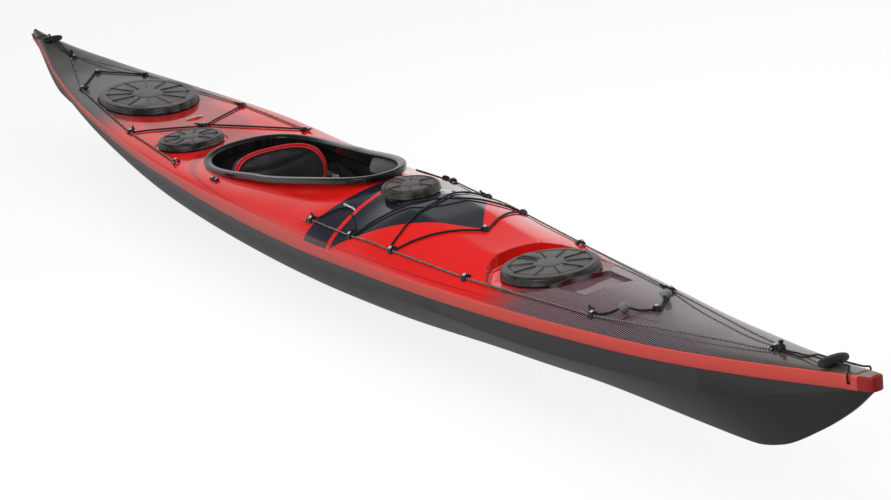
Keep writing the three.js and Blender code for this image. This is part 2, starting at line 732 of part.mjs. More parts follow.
function rimGeometry({ radius, steps }) {
  const inner = radius - RIM_NECK_INSET;
  const outer = inner + RIM_NECK_WALL;
  const lip = outer + RIM_LIP_OVERHANG;
  const flange = radius - RIM_FLANGE_INSET;
  const top = RIM_FLANGE_HEIGHT + GAP;
  const profile = [
    [inner, -RIM_TUCK], [outer, -RIM_TUCK], [outer, GAP], [flange, GAP], [outer, top],
    [lip, RIM_HEIGHT - RIM_NECK_WALL], [lip, RIM_HEIGHT],
    [inner, RIM_HEIGHT], [inner, -RIM_TUCK],
  ];
  return new THREE.LatheGeometry(profile.map(([r, h]) => new THREE.Vector2(r, h)), steps).rotateX(Math.PI / 2);
}

function coverSolid({ radius, steps, height, ribs, tab }) {
  const wall = radius - COVER_WALL + GAP;
  const low = RIM_FLANGE_HEIGHT + 3 * GAP;
  const groove = radius * GROOVE_SHARE;
  const disc = radius * DISC_SHARE;
  const profile = [
    [0, RIM_HEIGHT + GAP], [wall, RIM_HEIGHT + GAP], [wall, low], [radius + COVER_FLARE, low],
    [radius, height - COVER_EDGE_ROUND], [radius - COVER_EDGE_ROUND, height],
    [groove + COVER_GROOVE_WIDTH / 2, height], [groove, height - COVER_GROOVE_DEPTH],
    [groove - COVER_GROOVE_WIDTH / 2, height], [disc, height + COVER_DISC_HEIGHT], [0, height + COVER_DISC_HEIGHT],
  ];
  const shell = new THREE.LatheGeometry(profile.map(([r, h]) => new THREE.Vector2(r, h)), steps);
  const start = disc + COVER_RIB_WIDTH;
  const end = groove - COVER_RIB_WIDTH;
  const ribShape = new THREE.Shape([[-1, -1], [1, -1], [0, 1]].map(([across, up]) =>
    new THREE.Vector2((across * COVER_RIB_WIDTH) / 2, up * COVER_RIB_HEIGHT),
  ));
  const alongX = new THREE.Matrix4().makeBasis(vec(0, 1, 0), vec(0, 0, 1), vec(1, 0, 0));
  const ribList = Array.from({ length: ribs }, (_, i) => {
    const rib = new THREE.ExtrudeGeometry(ribShape, { depth: end - start, bevelEnabled: false, steps: 1 });
    const angle = tab + (Math.PI * (2 * i + 1)) / ribs;
    return solid(rib.applyMatrix4(alongX).translate(start, 0, height).rotateZ(angle));
  });
  const wedge = new THREE.Shape();
  wedge.moveTo(groove * 0.6, 0);
  wedge.lineTo(radius - COVER_EDGE_ROUND, -radius * 0.17);
  wedge.lineTo(radius - COVER_EDGE_ROUND / 2, 0);
  wedge.lineTo(radius - COVER_EDGE_ROUND, radius * 0.17);
  const finger = new THREE.ExtrudeGeometry(wedge, { depth: 2 * COVER_TAB_HEIGHT, bevelEnabled: false, steps: 1 });
  finger.translate(0, 0, height - COVER_TAB_HEIGHT).rotateZ(tab);
  return join(solid(shell.rotateX(Math.PI / 2)), ...ribList, solid(finger));
}

for (const hatch of hatches) {
  place(hatch.name + "_hatch_rim", geometryOf(solid(moved(rimGeometry(hatch), hatch.oval))), "moulded_black");
  const cover = geometryOf(coverSolid(hatch));
  place(hatch.name + "_hatch_cover", geometryOf(solid(moved(cover, hatch.oval))), "rubber");
}

// Pod under the small hatch: a tub that hangs inside the neck of its rim

const podHatch = hatches.find(({ name }) => name === "pod");
const podRadius = podHatch.radius - RIM_NECK_INSET - GAP;
const POD_TAPER = 8;
const POD_EDGE_DROP = 1;
const podProfile = [
  [0, -POD_DEPTH], [podRadius - POD_TAPER, -POD_DEPTH], [podRadius, -RIM_TUCK], [podRadius, RIM_HEIGHT - POD_EDGE_DROP],
  [podRadius - POD_WALL, RIM_HEIGHT - POD_EDGE_DROP], [podRadius - POD_WALL, -RIM_TUCK],
  [podRadius - POD_TAPER - POD_WALL, POD_WALL - POD_DEPTH], [0, POD_WALL - POD_DEPTH],
];
const podTub = new THREE.LatheGeometry(podProfile.map(([r, h]) => new THREE.Vector2(r, h)), podHatch.steps);
place("pod_tub", geometryOf(solid(moved(podTub.rotateX(Math.PI / 2), podHatch.oval))), "laminate");

// Skeg: box, blade and pin near the keel

const skegPivotX = SKEG_PIVOT_SHARE * HALF_LENGTH;
const keelAt = (x) => SHEER_HEIGHT * keelCurve(x / HALF_LENGTH);
const skegPivotZ = keelAt(skegPivotX) + SKEG_PIVOT_RISE;
const skegBoxFront = skegPivotX + SKEG_PIVOT_RISE;
const skegBoxRear = skegBoxFront - SKEG_BOX_LENGTH;
const skegBoxTop = keelAt(skegPivotX) + SKEG_BOX_HEIGHT;
const skegWell = SKEG_BOX_WIDTH / 2 - SKEG_BOX_WALL;

const skegHousing = boxSolid(
  vec(skegBoxRear, -SKEG_BOX_WIDTH / 2, -OVERRUN), vec(skegBoxFront, SKEG_BOX_WIDTH / 2, skegBoxTop),
).intersect(join(hullOuter, boxSolid(
  vec(skegBoxRear, -SKEG_BOX_WIDTH / 2, keelAt(skegBoxRear) + SHELL_WALL),
  vec(skegBoxFront, SKEG_BOX_WIDTH / 2, skegBoxTop),
)));
const skegWellSpace = boxSolid(
  vec(skegBoxRear + SKEG_BOX_WALL, -skegWell, -OVERRUN),
  vec(skegBoxFront - SKEG_BOX_WALL, skegWell, skegBoxTop - SKEG_BOX_WALL),
);
const skegPinHole = (radius) => solid(barGeometry(
  vec(skegPivotX, -SKEG_BOX_WIDTH, skegPivotZ), vec(skegPivotX, SKEG_BOX_WIDTH, skegPivotZ), radius, 12,
));
place("skeg_box", geometryOf(cut(skegHousing, skegWellSpace, skegPinHole(SKEG_PIN_RADIUS + GAP))), "laminate");
hull = cut(hull, boxSolid(
  vec(skegBoxRear - GAP, -SKEG_BOX_WIDTH / 2 - GAP, -OVERRUN),
  vec(skegBoxFront + GAP, SKEG_BOX_WIDTH / 2 + GAP, skegBoxTop),
));

// Blade outline round the pin, lying back in its box.
const SKEG_HEAD = 15;
const SKEG_HEEL = 34;
const skegOutline = new THREE.Shape();
skegOutline.absarc(0, 0, SKEG_HEAD, -Math.PI / 2, Math.PI / 2, false);
skegOutline.quadraticCurveTo(
  -SKEG_BLADE_LENGTH / 2, SKEG_HEAD, -SKEG_BLADE_LENGTH + SKEG_HEEL, SKEG_BLADE_DEPTH - SKEG_HEAD - SKEG_HEEL,
);
skegOutline.quadraticCurveTo(
  -SKEG_BLADE_LENGTH, SKEG_BLADE_DEPTH - SKEG_HEAD - SKEG_HEEL, -SKEG_BLADE_LENGTH, SKEG_HEAD,
);
skegOutline.lineTo(-SKEG_BLADE_LENGTH + SKEG_HEEL, -SKEG_HEAD);
const skegBlade = new THREE.ExtrudeGeometry(skegOutline, {
  depth: SKEG_BLADE_THICKNESS, bevelEnabled: false, steps: 1, curveSegments: 6,
});
skegBlade.rotateX(Math.PI / 2).translate(skegPivotX, SKEG_BLADE_THICKNESS / 2, skegPivotZ);
place("skeg_blade", geometryOf(cut(solid(skegBlade), skegPinHole(SKEG_PIN_RADIUS + GAP))), "gloss_black");
place("skeg_pin", geometryOf(solid(barGeometry(
  vec(skegPivotX, -SKEG_BOX_WIDTH / 2, skegPivotZ), vec(skegPivotX, SKEG_BOX_WIDTH / 2, skegPivotZ),
  SKEG_PIN_RADIUS, 12,
))), "steel");

// Skeg slider on the port side of the foredeck

const SLIDER_SINK = 2;
const SLIDER_END_MARGIN = 20;
const SLIDER_TO_FITTING = 24;
const SLIDER_STEM_LENGTH = 10;
const SLIDER_KNOB_HEIGHT = 9;
const trackFront = fittings.port_S1.x - SLIDER_TO_FITTING;
const trackX = trackFront - SLIDER_TRACK_LENGTH / 2;
const trackY = halfBeam(trackX / HALF_LENGTH) - FITTING_INSET;
const trackFrame = deckFrame(trackX, trackY, edgeHeading(trackX));
const trackBottom = -SLIDER_SINK;
const trackTop = SLIDER_TRACK_HEIGHT - SLIDER_SINK;
const slotHalf = SLIDER_TRACK_LENGTH / 2 - SLIDER_END_MARGIN;

function trackBlock(length, width, low, high) {
  const block = new THREE.BoxGeometry(length, width, high - low).translate(0, 0, (high + low) / 2);
  return solid(moved(block, trackFrame));
}

deck = cut(
  deck,
  trackBlock(SLIDER_TRACK_LENGTH + 2 * GAP, SLIDER_TRACK_WIDTH + 2 * GAP, trackBottom - GAP, OVERRUN),
  trackBlock(2 * slotHalf, SLIDER_SLOT_WIDTH, -OVERRUN, 0),
);
const track = trackBlock(SLIDER_TRACK_LENGTH, SLIDER_TRACK_WIDTH, trackBottom, trackTop);
place("skeg_slider_track", geometryOf(cut(
  track,
  trackBlock(2 * slotHalf, SLIDER_SLOT_WIDTH, -OVERRUN, OVERRUN),
  trackBlock(2 * slotHalf + SLIDER_SLOT_WIDTH, SLIDER_TRACK_WIDTH / 2, 0, OVERRUN),
)), "moulded_black");

const sliderRest = slotHalf - SLIDER_SLOT_WIDTH;
const knobProfile = [
  [0, -SLIDER_STEM_LENGTH], [SLIDER_SLOT_WIDTH / 2 - 2 * GAP, -SLIDER_STEM_LENGTH],
  [SLIDER_SLOT_WIDTH / 2 - 2 * GAP, GAP], [SLIDER_SLOT_WIDTH / 2 + GAP, GAP],
  [SLIDER_SLOT_WIDTH / 2 + GAP, trackTop + GAP], [SLIDER_KNOB_RADIUS, trackTop + GAP],
  [SLIDER_KNOB_RADIUS, trackTop + SLIDER_KNOB_HEIGHT / 2],
  [SLIDER_KNOB_RADIUS * 0.7, trackTop + SLIDER_KNOB_HEIGHT], [0, trackTop + SLIDER_KNOB_HEIGHT],
];
const knob = new THREE.LatheGeometry(knobProfile.map(([r, h]) => new THREE.Vector2(r, h)), 10);
place("skeg_slider", geometryOf(solid(
  moved(knob.rotateX(Math.PI / 2).translate(sliderRest, 0, 0), trackFrame),
)), "moulded_black");

// Cable sleeve from the slider to the skeg box, along the port side

const cableRoute = [
  vec(150, 222, 243), vec(60, 240, 228), vec(-150, 249, 218), vec(-400, 246, 214), vec(-641, 236, 214),
  vec(-830, 214, 210), vec(-990, 180, 200), vec(-1130, 130, 176), vec(-1240, 60, 150), vec(-1290, 16, 134), vec(-1325, 0, 128),
];
const cableEnd = cableRoute[cableRoute.length - 1];
const cablePath = [
  ...new THREE.CatmullRomCurve3(cableRoute, false, "centripetal").getSpacedPoints(18),
  vec(skegBoxFront + GAP, 0, cableEnd.z),
];
const cable = solid(cordGeometry(cablePath, SKEG_CABLE_RADIUS, 4));
const cableRoom = solid(cordGeometry(cablePath, SKEG_CABLE_RADIUS + 2 * GAP, 4));
place("skeg_cable_sleeve", geometryOf(cable), "moulded_black");

// Bulkheads

const bulkheads = { front: FRONT_BULKHEAD_X, cockpit: COCKPIT_BULKHEAD_X, rear: REAR_BULKHEAD_X };
for (const [name, x] of Object.entries(bulkheads)) {
  const slab = boxSolid(
    vec(x - BULKHEAD_THICKNESS / 2, -HALF_BEAM, 0), vec(x + BULKHEAD_THICKNESS / 2, HALF_BEAM, DECK_HEIGHT),
  );
  place(name + "_bulkhead", geometryOf(cut(slab.intersect(room), cableRoom)), "laminate");
}

// Seat pan: a bucket that stands on the floor of the hull

function bucketHalf(halfWidth, top, base) {
  const steps = 6;
  return Array.from({ length: steps + 1 }, (_, i) => {
    const angle = (Math.PI / 2) * (i / steps);
    const power = 2 / SEAT_SQUARENESS_SHARE;
    return [
      SEAT_FLAT + (halfWidth - SEAT_FLAT) * Math.sin(angle) ** power,
      top - (top - base) * Math.max(Math.cos(angle), 0) ** power,
    ];
  });
}

// Places along the seat, with the height of its side and the lift of its floor there.
const seatShares = [
  { share: 0, height: 0.7, lift: 0 }, { share: 0.12, height: 0.9, lift: 0 }, { share: 0.35, height: 1, lift: 0 },
  { share: 0.62, height: 0.92, lift: 0.02 }, { share: 0.85, height: 0.6, lift: 0.09 },
  { share: 1, height: 0.36, lift: 0.12 },
];
const SEAT_SQUARENESS_SHARE = 1.8;
const SEAT_FLAT = 30;
const seatFloor = SHELL_WALL + GAP;

function seatHalf({ share, height, lift }, inset) {
  const half = bucketHalf(SEAT_HALF_WIDTH - inset, SEAT_HEIGHT * height, seatFloor + SEAT_HEIGHT * lift + inset);
  return { x: SEAT_REAR_X + (SEAT_FRONT_X - SEAT_REAR_X) * share, half };
}

function seatRing(course) {
  const { x, half } = seatHalf(course, 0);
  return [...mirrored(half), ...half].map(([y, z]) => vec(x, y, z));
}

// The space inside the seat, moved inwards by the inset.
function seatSpace(inset) {
  const rings = seatShares.map((course) => {
    const { x, half } = seatHalf(course, SEAT_WALL + inset);
    const reach = [...half, [half[half.length - 1][0], DECK_HEIGHT]];
    return [...mirrored(reach), ...reach].map(([y, z]) => vec(x, y, z));
  });
  const pushed = (ring, x) => ring.map((point) => point.clone().setX(x));
  return solid(loft([
    pushed(rings[0], SEAT_REAR_X - SEAT_WALL), ...rings, pushed(rings[rings.length - 1], SEAT_FRONT_X + SEAT_WALL),
  ]));
}

const seatFoot = boxSolid(
  vec(SEAT_FRONT_X - SEAT_FLAT, -SEAT_FLAT, seatFloor),
  vec(SEAT_FRONT_X - SEAT_WALL, SEAT_FLAT, seatFloor + SEAT_HEIGHT * 0.12 + SEAT_WALL / 2),
);

// Low wall across the back of the seat, which the backrest rocks on.
const lipHalf = seatHalf(seatShares[0], SEAT_WALL / 2).half.filter(([, z]) => z < SEAT_LIP_HEIGHT);
lipHalf.push([lipHalf[lipHalf.length - 1][0], SEAT_LIP_HEIGHT]);
const seatLip = solid(loft([SEAT_REAR_X, SEAT_REAR_X + SEAT_WALL].map((x) =>
  [...mirrored(lipHalf), ...lipHalf].map(([y, z]) => vec(x, y, z)),
)));
const seatShell = cut(solid(loft(seatShares.map(seatRing))), seatSpace(0));
place("seat_pan", geometryOf(join(seatShell, seatFoot, seatLip)), "moulded_black");

// Places a piece on the port side and its mirror image on the starboard side.
function placePair(name, body, finish) {
  place("port_" + name, geometryOf(body), finish);
  place("starboard_" + name, geometryOf(body.mirror([0, 1, 0])), finish);
}

// Hip pads

function roundedPlate(length, height, radius, depth) {
  const x = length / 2 - radius;
  const y = height / 2 - radius;
  const shape = new THREE.Shape();
  shape.absarc(x, -y, radius, -Math.PI / 2, 0, false);
  shape.absarc(x, y, radius, 0, Math.PI / 2, false);
  shape.absarc(-x, y, radius, Math.PI / 2, Math.PI, false);
  shape.absarc(-x, -y, radius, Math.PI, 1.5 * Math.PI, false);
  const plate = new THREE.ExtrudeGeometry(shape, { depth, bevelEnabled: false, steps: 1, curveSegments: 2 });
  return plate.rotateX(Math.PI / 2).translate(0, depth / 2, 0);
}

const hipPadX = SEAT_REAR_X + 0.65 * (SEAT_FRONT_X - SEAT_REAR_X);
const hipPad = solid(
  roundedPlate(HIP_PAD_LENGTH, HIP_PAD_HEIGHT, HIP_PAD_THICKNESS, 2 * HIP_PAD_LENGTH)
    .translate(hipPadX, SEAT_HALF_WIDTH, SEAT_LIP_HEIGHT + HIP_PAD_HEIGHT / 2),
);
const hipPadOf = (block) => geometryOf(cut(block.intersect(seatSpace(GAP)), seatSpace(HIP_PAD_THICKNESS)));
place("port_hip_pad", hipPadOf(hipPad), "fabric");
place("starboard_hip_pad", hipPadOf(hipPad.mirror([0, 1, 0])), "fabric");

// Backrest: a padded band that wraps forwards at its ends and rocks on the lip of the seat

const backrestX = SEAT_REAR_X + SEAT_WALL / 2;
const backrestBottom = SEAT_LIP_HEIGHT + GAP;
const BACKREST_ROUND_SHARE = 3.4;
const BACKREST_END_SHARE = 0.6;
const backrestAcrossShares = [0, 0.35, 0.6, 0.8, 0.93, 1];

function backrestRing(across) {
  const away = Math.abs(across);
  const thick = (BACKREST_THICKNESS / 2) * (1 - 0.45 * away * away);
  const x = backrestX + BACKREST_WRAP * away * away;
  const arch = (1 - away ** BACKREST_ROUND_SHARE) ** (1 / BACKREST_ROUND_SHARE);
  const low = backrestBottom + BACKREST_END_RISE * away * away + thick;
  const high = backrestBottom + BACKREST_HEIGHT * Math.max(arch, BACKREST_END_SHARE) - thick;
  const arc = [0, 1, 2, 3, 4].map((i) => (Math.PI * i) / 4);
  return [
    ...arc.map((angle) => vec(x + thick * Math.cos(angle), 0, high + thick * Math.sin(angle))),
    ...arc.map((angle) => vec(x - thick * Math.cos(angle), 0, low - thick * Math.sin(angle))),
  ].map((point) => point.setY((across * BACKREST_WIDTH) / 2));
}

const backrestStations = [...backrestAcrossShares.slice(1).map((share) => -share).reverse(), ...backrestAcrossShares];
place("backrest", geometryOf(solid(loft(backrestStations.map(backrestRing)))), "fabric");

// Ratchets on the inner sides of the seat, each with its strap and lever

const ratchetWall = reachAt(seatHalf(seatShares[2], SEAT_WALL).half, RATCHET_HEIGHT - STRAP_WIDTH) - 2 * GAP;
const RATCHET_BASE_THICKNESS = 4;
const RATCHET_CHEEK = 3;
const RATCHET_DEPTH = 15;
const LEVER_THICKNESS = 3;
const LEVER_LENGTH = 38;
const strapOuter = ratchetWall - RATCHET_BASE_THICKNESS - GAP;
const cheekInner = STRAP_WIDTH / 2 + 2 * GAP;
const ratchetRear = RATCHET_X - RATCHET_LENGTH / 2;
const ratchetFront = RATCHET_X + RATCHET_LENGTH / 2;

// Height of a polyline's reach, given as pairs of a reach and a height that rises.
function reachAt(line, height) {
  const i = Math.max(line.findIndex(([, z]) => z >= height), 1);
  const [y0, z0] = line[i - 1];
  const [y1, z1] = line[i];
  return y0 + ((y1 - y0) * (height - z0)) / (z1 - z0);
}

const aroundRatchet = (x0, x1, y0, y1, half) =>
  boxSolid(vec(x0, y0, RATCHET_HEIGHT - half), vec(x1, y1, RATCHET_HEIGHT + half));
placePair("ratchet_base", cut(
  aroundRatchet(ratchetRear, ratchetFront, ratchetWall - RATCHET_DEPTH, ratchetWall, cheekInner + RATCHET_CHEEK),
  aroundRatchet(ratchetRear - GAP, ratchetFront + GAP, 0, ratchetWall - RATCHET_BASE_THICKNESS, cheekInner),
), "moulded_black");

const strapLap = BACKREST_WIDTH / 2 + GAP + STRAP_THICKNESS;
const backrestEnd = backrestX + BACKREST_WRAP;
const strapRoute = [
  [backrestEnd - STRAP_WIDTH / 2, strapLap], [backrestEnd + STRAP_WIDTH, strapLap],
  [ratchetRear - STRAP_THICKNESS / 2, strapOuter], [ratchetFront - RATCHET_CHEEK, strapOuter],
];
placePair("backrest_strap", solid(loft(strapRoute.map(([x, y]) => [
  vec(x, y - STRAP_THICKNESS, RATCHET_HEIGHT - STRAP_WIDTH / 2), vec(x, y, RATCHET_HEIGHT - STRAP_WIDTH / 2),
  vec(x, y, RATCHET_HEIGHT + STRAP_WIDTH / 2), vec(x, y - STRAP_THICKNESS, RATCHET_HEIGHT + STRAP_WIDTH / 2),
]))), "cord");

const leverPivot = vec(
  ratchetRear + 2 * LEVER_THICKNESS, strapOuter - STRAP_THICKNESS - 2 * GAP - LEVER_THICKNESS, RATCHET_HEIGHT,
);
const leverBarrel = solid(barGeometry(
  leverPivot.clone().setZ(RATCHET_HEIGHT - STRAP_WIDTH / 2 - GAP),
  leverPivot.clone().setZ(RATCHET_HEIGHT + STRAP_WIDTH / 2 + GAP), LEVER_THICKNESS, 10,
));
placePair("ratchet_lever", leverBarrel.add(aroundRatchet(
  leverPivot.x, leverPivot.x + LEVER_LENGTH, leverPivot.y - LEVER_THICKNESS / 2, leverPivot.y + LEVER_THICKNESS / 2,
  STRAP_WIDTH / 2,
)), "steel");

// Thigh braces: curved plates that reach inwards from the riser of the coaming

const BRACE_DROP = 12;
const BRACE_SLOPE = 18;
const BRACE_THICKNESS = 6;
const BRACE_WIDTH = 70;
const braceFirst = Math.round(COAMING_STEPS * 0.07);
const braceWidthShares = [0.14, 0.6, 0.95, 1, 0.75, 0.2];
const braceRoot = coamingOutline(LIP_WIDTH + RISER_WALL + GAP);
const braceUnit = coamingOutline(LIP_WIDTH + RISER_WALL + GAP + 1);
placePair("thigh_brace", solid(loft(braceWidthShares.map((share, i) => {
  const { x, y, z } = braceRoot[braceFirst + i];
  const unit = braceUnit[braceFirst + i];
  const width = BRACE_WIDTH * share;
  const edge = vec(x + (unit.x - x) * width, y + (unit.y - y) * width, z - BRACE_DROP - BRACE_SLOPE * share);
  const root = vec(x, y, z - BRACE_DROP);
  const middle = root.clone().lerp(edge, 0.5).setZ(root.z - BRACE_SLOPE * share * 0.25);
  const lowered = (point) => point.clone().setZ(point.z - BRACE_THICKNESS);
  return [root, middle, edge, lowered(edge), lowered(middle), lowered(root)];
}))), "gloss_black");

// Footrest rails on the inner sides of the hull, and the pedals that slide in them

function wallReach(x, height) {
  const i = cavityStations.findIndex((u) => u * HALF_LENGTH >= x);
  const [before, after] = [cavityStations[i - 1], cavityStations[i]];
  const reach = (u) => reachAt([
    ...hullHalf(u, SHELL_WALL), [halfBeam(u) - SHELL_WALL, shellJoint(u) + OVERRUN],
  ], height);
  const t = (x / HALF_LENGTH - before) / (after - before);
  return reach(before) * (1 - t) + reach(after) * t;
}

function railPoint(x) {
  const height = shellJoint(x / HALF_LENGTH) - RAIL_DROP;
  return vec(x, wallReach(x, height - RAIL_HEIGHT / 2) - RAIL_STANDOFF, height);
}

const railRear = railPoint(RAIL_CENTRE_X - RAIL_LENGTH / 2);
const railFront = railPoint(RAIL_CENTRE_X + RAIL_LENGTH / 2);
const railAhead = new THREE.Vector3().subVectors(railFront, railRear).normalize();
const railOutboard = vec(-railAhead.y, railAhead.x, 0).normalize();
const railFrame = new THREE.Matrix4()
  .makeBasis(railAhead, railOutboard, new THREE.Vector3().crossVectors(railAhead, railOutboard))
  .setPosition(railRear.clone().lerp(railFront, 0.5));

function railBlock(length, inner, outer, half) {
  const block = new THREE.BoxGeometry(length, outer - inner, 2 * half).translate(0, (inner + outer) / 2, 0);
  return solid(moved(block, railFrame));
}

const railChannel = RAIL_HEIGHT / 2 - RAIL_WEB;
const railMouth = railChannel - RAIL_LIP;
placePair("footrest_rail", cut(
  railBlock(RAIL_LENGTH, -RAIL_THICKNESS, 0, RAIL_HEIGHT / 2),
  railBlock(RAIL_LENGTH + OVERRUN, RAIL_LIP - RAIL_THICKNESS, -RAIL_WEB, railChannel),
  railBlock(RAIL_LENGTH + OVERRUN, -2 * RAIL_THICKNESS, -RAIL_WEB - GAP, railMouth),
), "aluminium");

const PEDAL_SHOE_LENGTH = 40;
const pedalShares = [
  [0.02, -0.13], [0.2, -0.33], [0.93, -0.69], [1, -0.61], [1, 0.27], [0.9, 0.34], [0.14, 0.34], [0.02, 0.23],
];
const pedalFace = new THREE.Shape(pedalShares.map(([inboard, up]) =>
  new THREE.Vector2(-RAIL_THICKNESS - PEDAL_WIDTH * inboard, PEDAL_HEIGHT * up),
));
const pedalPlate = new THREE.ExtrudeGeometry(pedalFace, { depth: PEDAL_THICKNESS, bevelEnabled: false, steps: 1 });
pedalPlate
  .applyMatrix4(new THREE.Matrix4().makeBasis(vec(0, 1, 0), vec(0, 0, 1), vec(1, 0, 0)))
  .translate(-PEDAL_THICKNESS / 2, 0, 0);
placePair("foot_pedal", join(
  railBlock(PEDAL_SHOE_LENGTH, RAIL_LIP + GAP - RAIL_THICKNESS, -RAIL_WEB - GAP, railChannel - GAP),
  railBlock(PEDAL_SHOE_LENGTH / 2, -RAIL_THICKNESS - PEDAL_THICKNESS, -RAIL_WEB - 2 * GAP, railMouth - GAP),
  solid(moved(pedalPlate, railFrame)),
), "moulded_black");

// Cords

const TUNNEL_CLEARANCE = 3;
const TUNNEL_REACH = FITTING_LENGTH / 2 + TUNNEL_CLEARANCE;
const KNOT_REACH = FITTING_LENGTH / 2 + KNOT_RADIUS + 2 * GAP;

// A stop of a cord: the fitting that it passes through, the way it runs there and how far to the side it lies.
const through = (name, way, side, over = 0) => ({ name, way, side, over });

function stopPoints({ name, way, side }, lift) {
  return [-TUNNEL_REACH, 0, TUNNEL_REACH].map((along) => atFitting(name, along * way, side, lift));
}

// The points of a cord from its first stop to its last one.
function cordRoute(stops, lift, spacing) {
  return stops.flatMap((stop, i) => {
    const points = stopPoints(stop, lift);
    if (i === 0) return points;
    const before = stopPoints(stops[i - 1], lift)[2];
    const steps = 2 * Math.ceil(before.distanceTo(points[0]) / (2 * spacing));
    return [...acrossDeck(before, points[0], lift + CORD_LIFT, steps, stop.over), ...points];
  });
}

const KNOT_SPREAD_SHARE = 3.2;

// A knot beside a fitting, clear of the cord that shares it.
function knotPoint({ name, side }, along, lift) {
  return atFitting(name, along, side * KNOT_SPREAD_SHARE, lift);
}

function knotSolid(at) {
  return solid(new THREE.OctahedronGeometry(KNOT_RADIUS, 1).translate(at.x, at.y, at.z));
}

const FORWARD = 1;
const BACKWARD = -1;
const inboard = (name, offset) => (name.startsWith("port") ? -offset : offset);

// A cord with a knot at each end.
function knottedCord(stops, radius, spacing) {
  const lift = radius + CORD_LIFT;
  const [first, last] = [stops[0], stops[stops.length - 1]];
  const start = knotPoint(first, -first.way * KNOT_REACH, lift);
  const end = knotPoint(last, last.way * KNOT_REACH, lift);
  const cord = solid(cordGeometry([start, ...cordRoute(stops, lift, spacing), end], radius));
  const raise = vec(0, 0, KNOT_RADIUS - radius);
  return join(cord, knotSolid(start.add(raise)), knotSolid(end.add(raise)));
}

// Perimeter lines: out along the starboard side, through the end fitting and back along the port side.
function perimeterStops(names, endFitting, way) {
  return [
    ...names.map((name) => through("starboard_" + name, way, inboard("starboard", -STRAND_OFFSET))),
    through(endFitting, FORWARD, 0),
    ...[...names].reverse().map((name) => through("port_" + name, -way, inboard("port", -STRAND_OFFSET))),
  ];
}

const LINE_SPACING = 170;
const BUNGEE_SPACING = 62;
const foredeckLine = knottedCord(perimeterStops(["S1", "S2", "S3", "S4", "S5"], "bow", FORWARD), LINE_RADIUS, LINE_SPACING);
const aftDeckLine = knottedCord(perimeterStops(["A1", "A2", "A3"], "stern", BACKWARD), LINE_RADIUS, LINE_SPACING);
place("foredeck_line", geometryOf(foredeckLine), "cord");
place("aft_deck_line", geometryOf(aftDeckLine), "cord");

// Bungees
const bungeeStop = (name, way, over) => through(name, way, inboard(name, STRAND_OFFSET), over);
const crossing = 2 * BUNGEE_RADIUS + 5 * GAP;
const foredeckBungee = knottedCord([
  bungeeStop("port_S2", FORWARD), bungeeStop("starboard_S3", FORWARD), through("C3", FORWARD, 0),
  bungeeStop("port_S3", BACKWARD), bungeeStop("starboard_S2", BACKWARD, crossing),
], BUNGEE_RADIUS, BUNGEE_SPACING);
place("foredeck_bungee", geometryOf(foredeckBungee), "cord");

const bowBungeeStops = [
  bungeeStop("starboard_S5", FORWARD), through("C5", FORWARD, 0), bungeeStop("port_S5", BACKWARD),
];
place("bow_bungee", geometryOf(knottedCord(bowBungeeStops, BUNGEE_RADIUS, BUNGEE_SPACING)), "cord");

const sternBungee = knottedCord([
  bungeeStop("starboard_A3", BACKWARD), through("C4", FORWARD, 0), bungeeStop("port_A3", FORWARD),
], BUNGEE_RADIUS, BUNGEE_SPACING);
place("stern_bungee", geometryOf(sternBungee), "cord");

const aftBungeeLong = knottedCord([
  bungeeStop("starboard_A2", FORWARD), through("C2", FORWARD, -STRAND_OFFSET), bungeeStop("port_A1", FORWARD),
], BUNGEE_RADIUS, BUNGEE_SPACING);
place("aft_bungee_long", geometryOf(aftBungeeLong), "cord");

const aftBungeeShort = knottedCord([
  bungeeStop("port_A2", FORWARD), through("C2", BACKWARD, STRAND_OFFSET),
], BUNGEE_RADIUS, BUNGEE_SPACING);
place("aft_bungee_short", geometryOf(aftBungeeShort), "cord");

// Floats threaded on the bow bungee, half way between its fittings
const bowBungeePath = cordRoute(bowBungeeStops, BUNGEE_RADIUS + CORD_LIFT, BUNGEE_SPACING);
const floatBore = solid(cordGeometry(bowBungeePath, BUNGEE_RADIUS + 2 * GAP));
for (const side of ["starboard", "port"]) {
  const from = atFitting("C5", side === "port" ? TUNNEL_REACH : -TUNNEL_REACH, 0, 0);
  const to = atFitting(side + "_S5", TUNNEL_REACH, inboard(side, STRAND_OFFSET), 0);
  const at = from.clone().lerp(to, 0.5);
  const centre = onDeck(at.x, at.y, 0).addScaledVector(deckNormal(at.x, at.y), FLOAT_RADIUS + CORD_LIFT);
  const ball = new THREE.SphereGeometry(FLOAT_RADIUS, 9, 6).translate(centre.x, centre.y, centre.z);
  place(side + "_deck_float", geometryOf(cut(solid(ball), floatBore)), "float_grey");
}

// Carrying handles at the bow and the stern: a cord lock, a loop of cord and a toggle threaded on it

const LOCK_OFFSET = 24;
const LOCK_RADIUS = 9;
const LOCK_HEIGHT = 16;
const LOCK_NECK_RADIUS = 4.5;
const LOCK_CAP_RADIUS = 6;
const LOCK_BEVEL = 2.5;
const LOCK_NECK_LENGTH = 4.5;
const LOCK_CAP_HEIGHT = 5.5;
const TOGGLE_WIDTH = 80;
const TOGGLE_LENGTH = 36;
const TOGGLE_HEIGHT = 22;
const TOGGLE_STRAND = 7;
const TOGGLE_RUN = 62;
const BOW_TOGGLE_SHARE = 0.946;
const STERN_TOGGLE_SHARE = -0.922;
const toggleCrossShares = [[0, 0.84], [0.38, 0.9], [0.8, 1], [1, 0.64]];
const toggleCordHeight = TOGGLE_HEIGHT / 2;

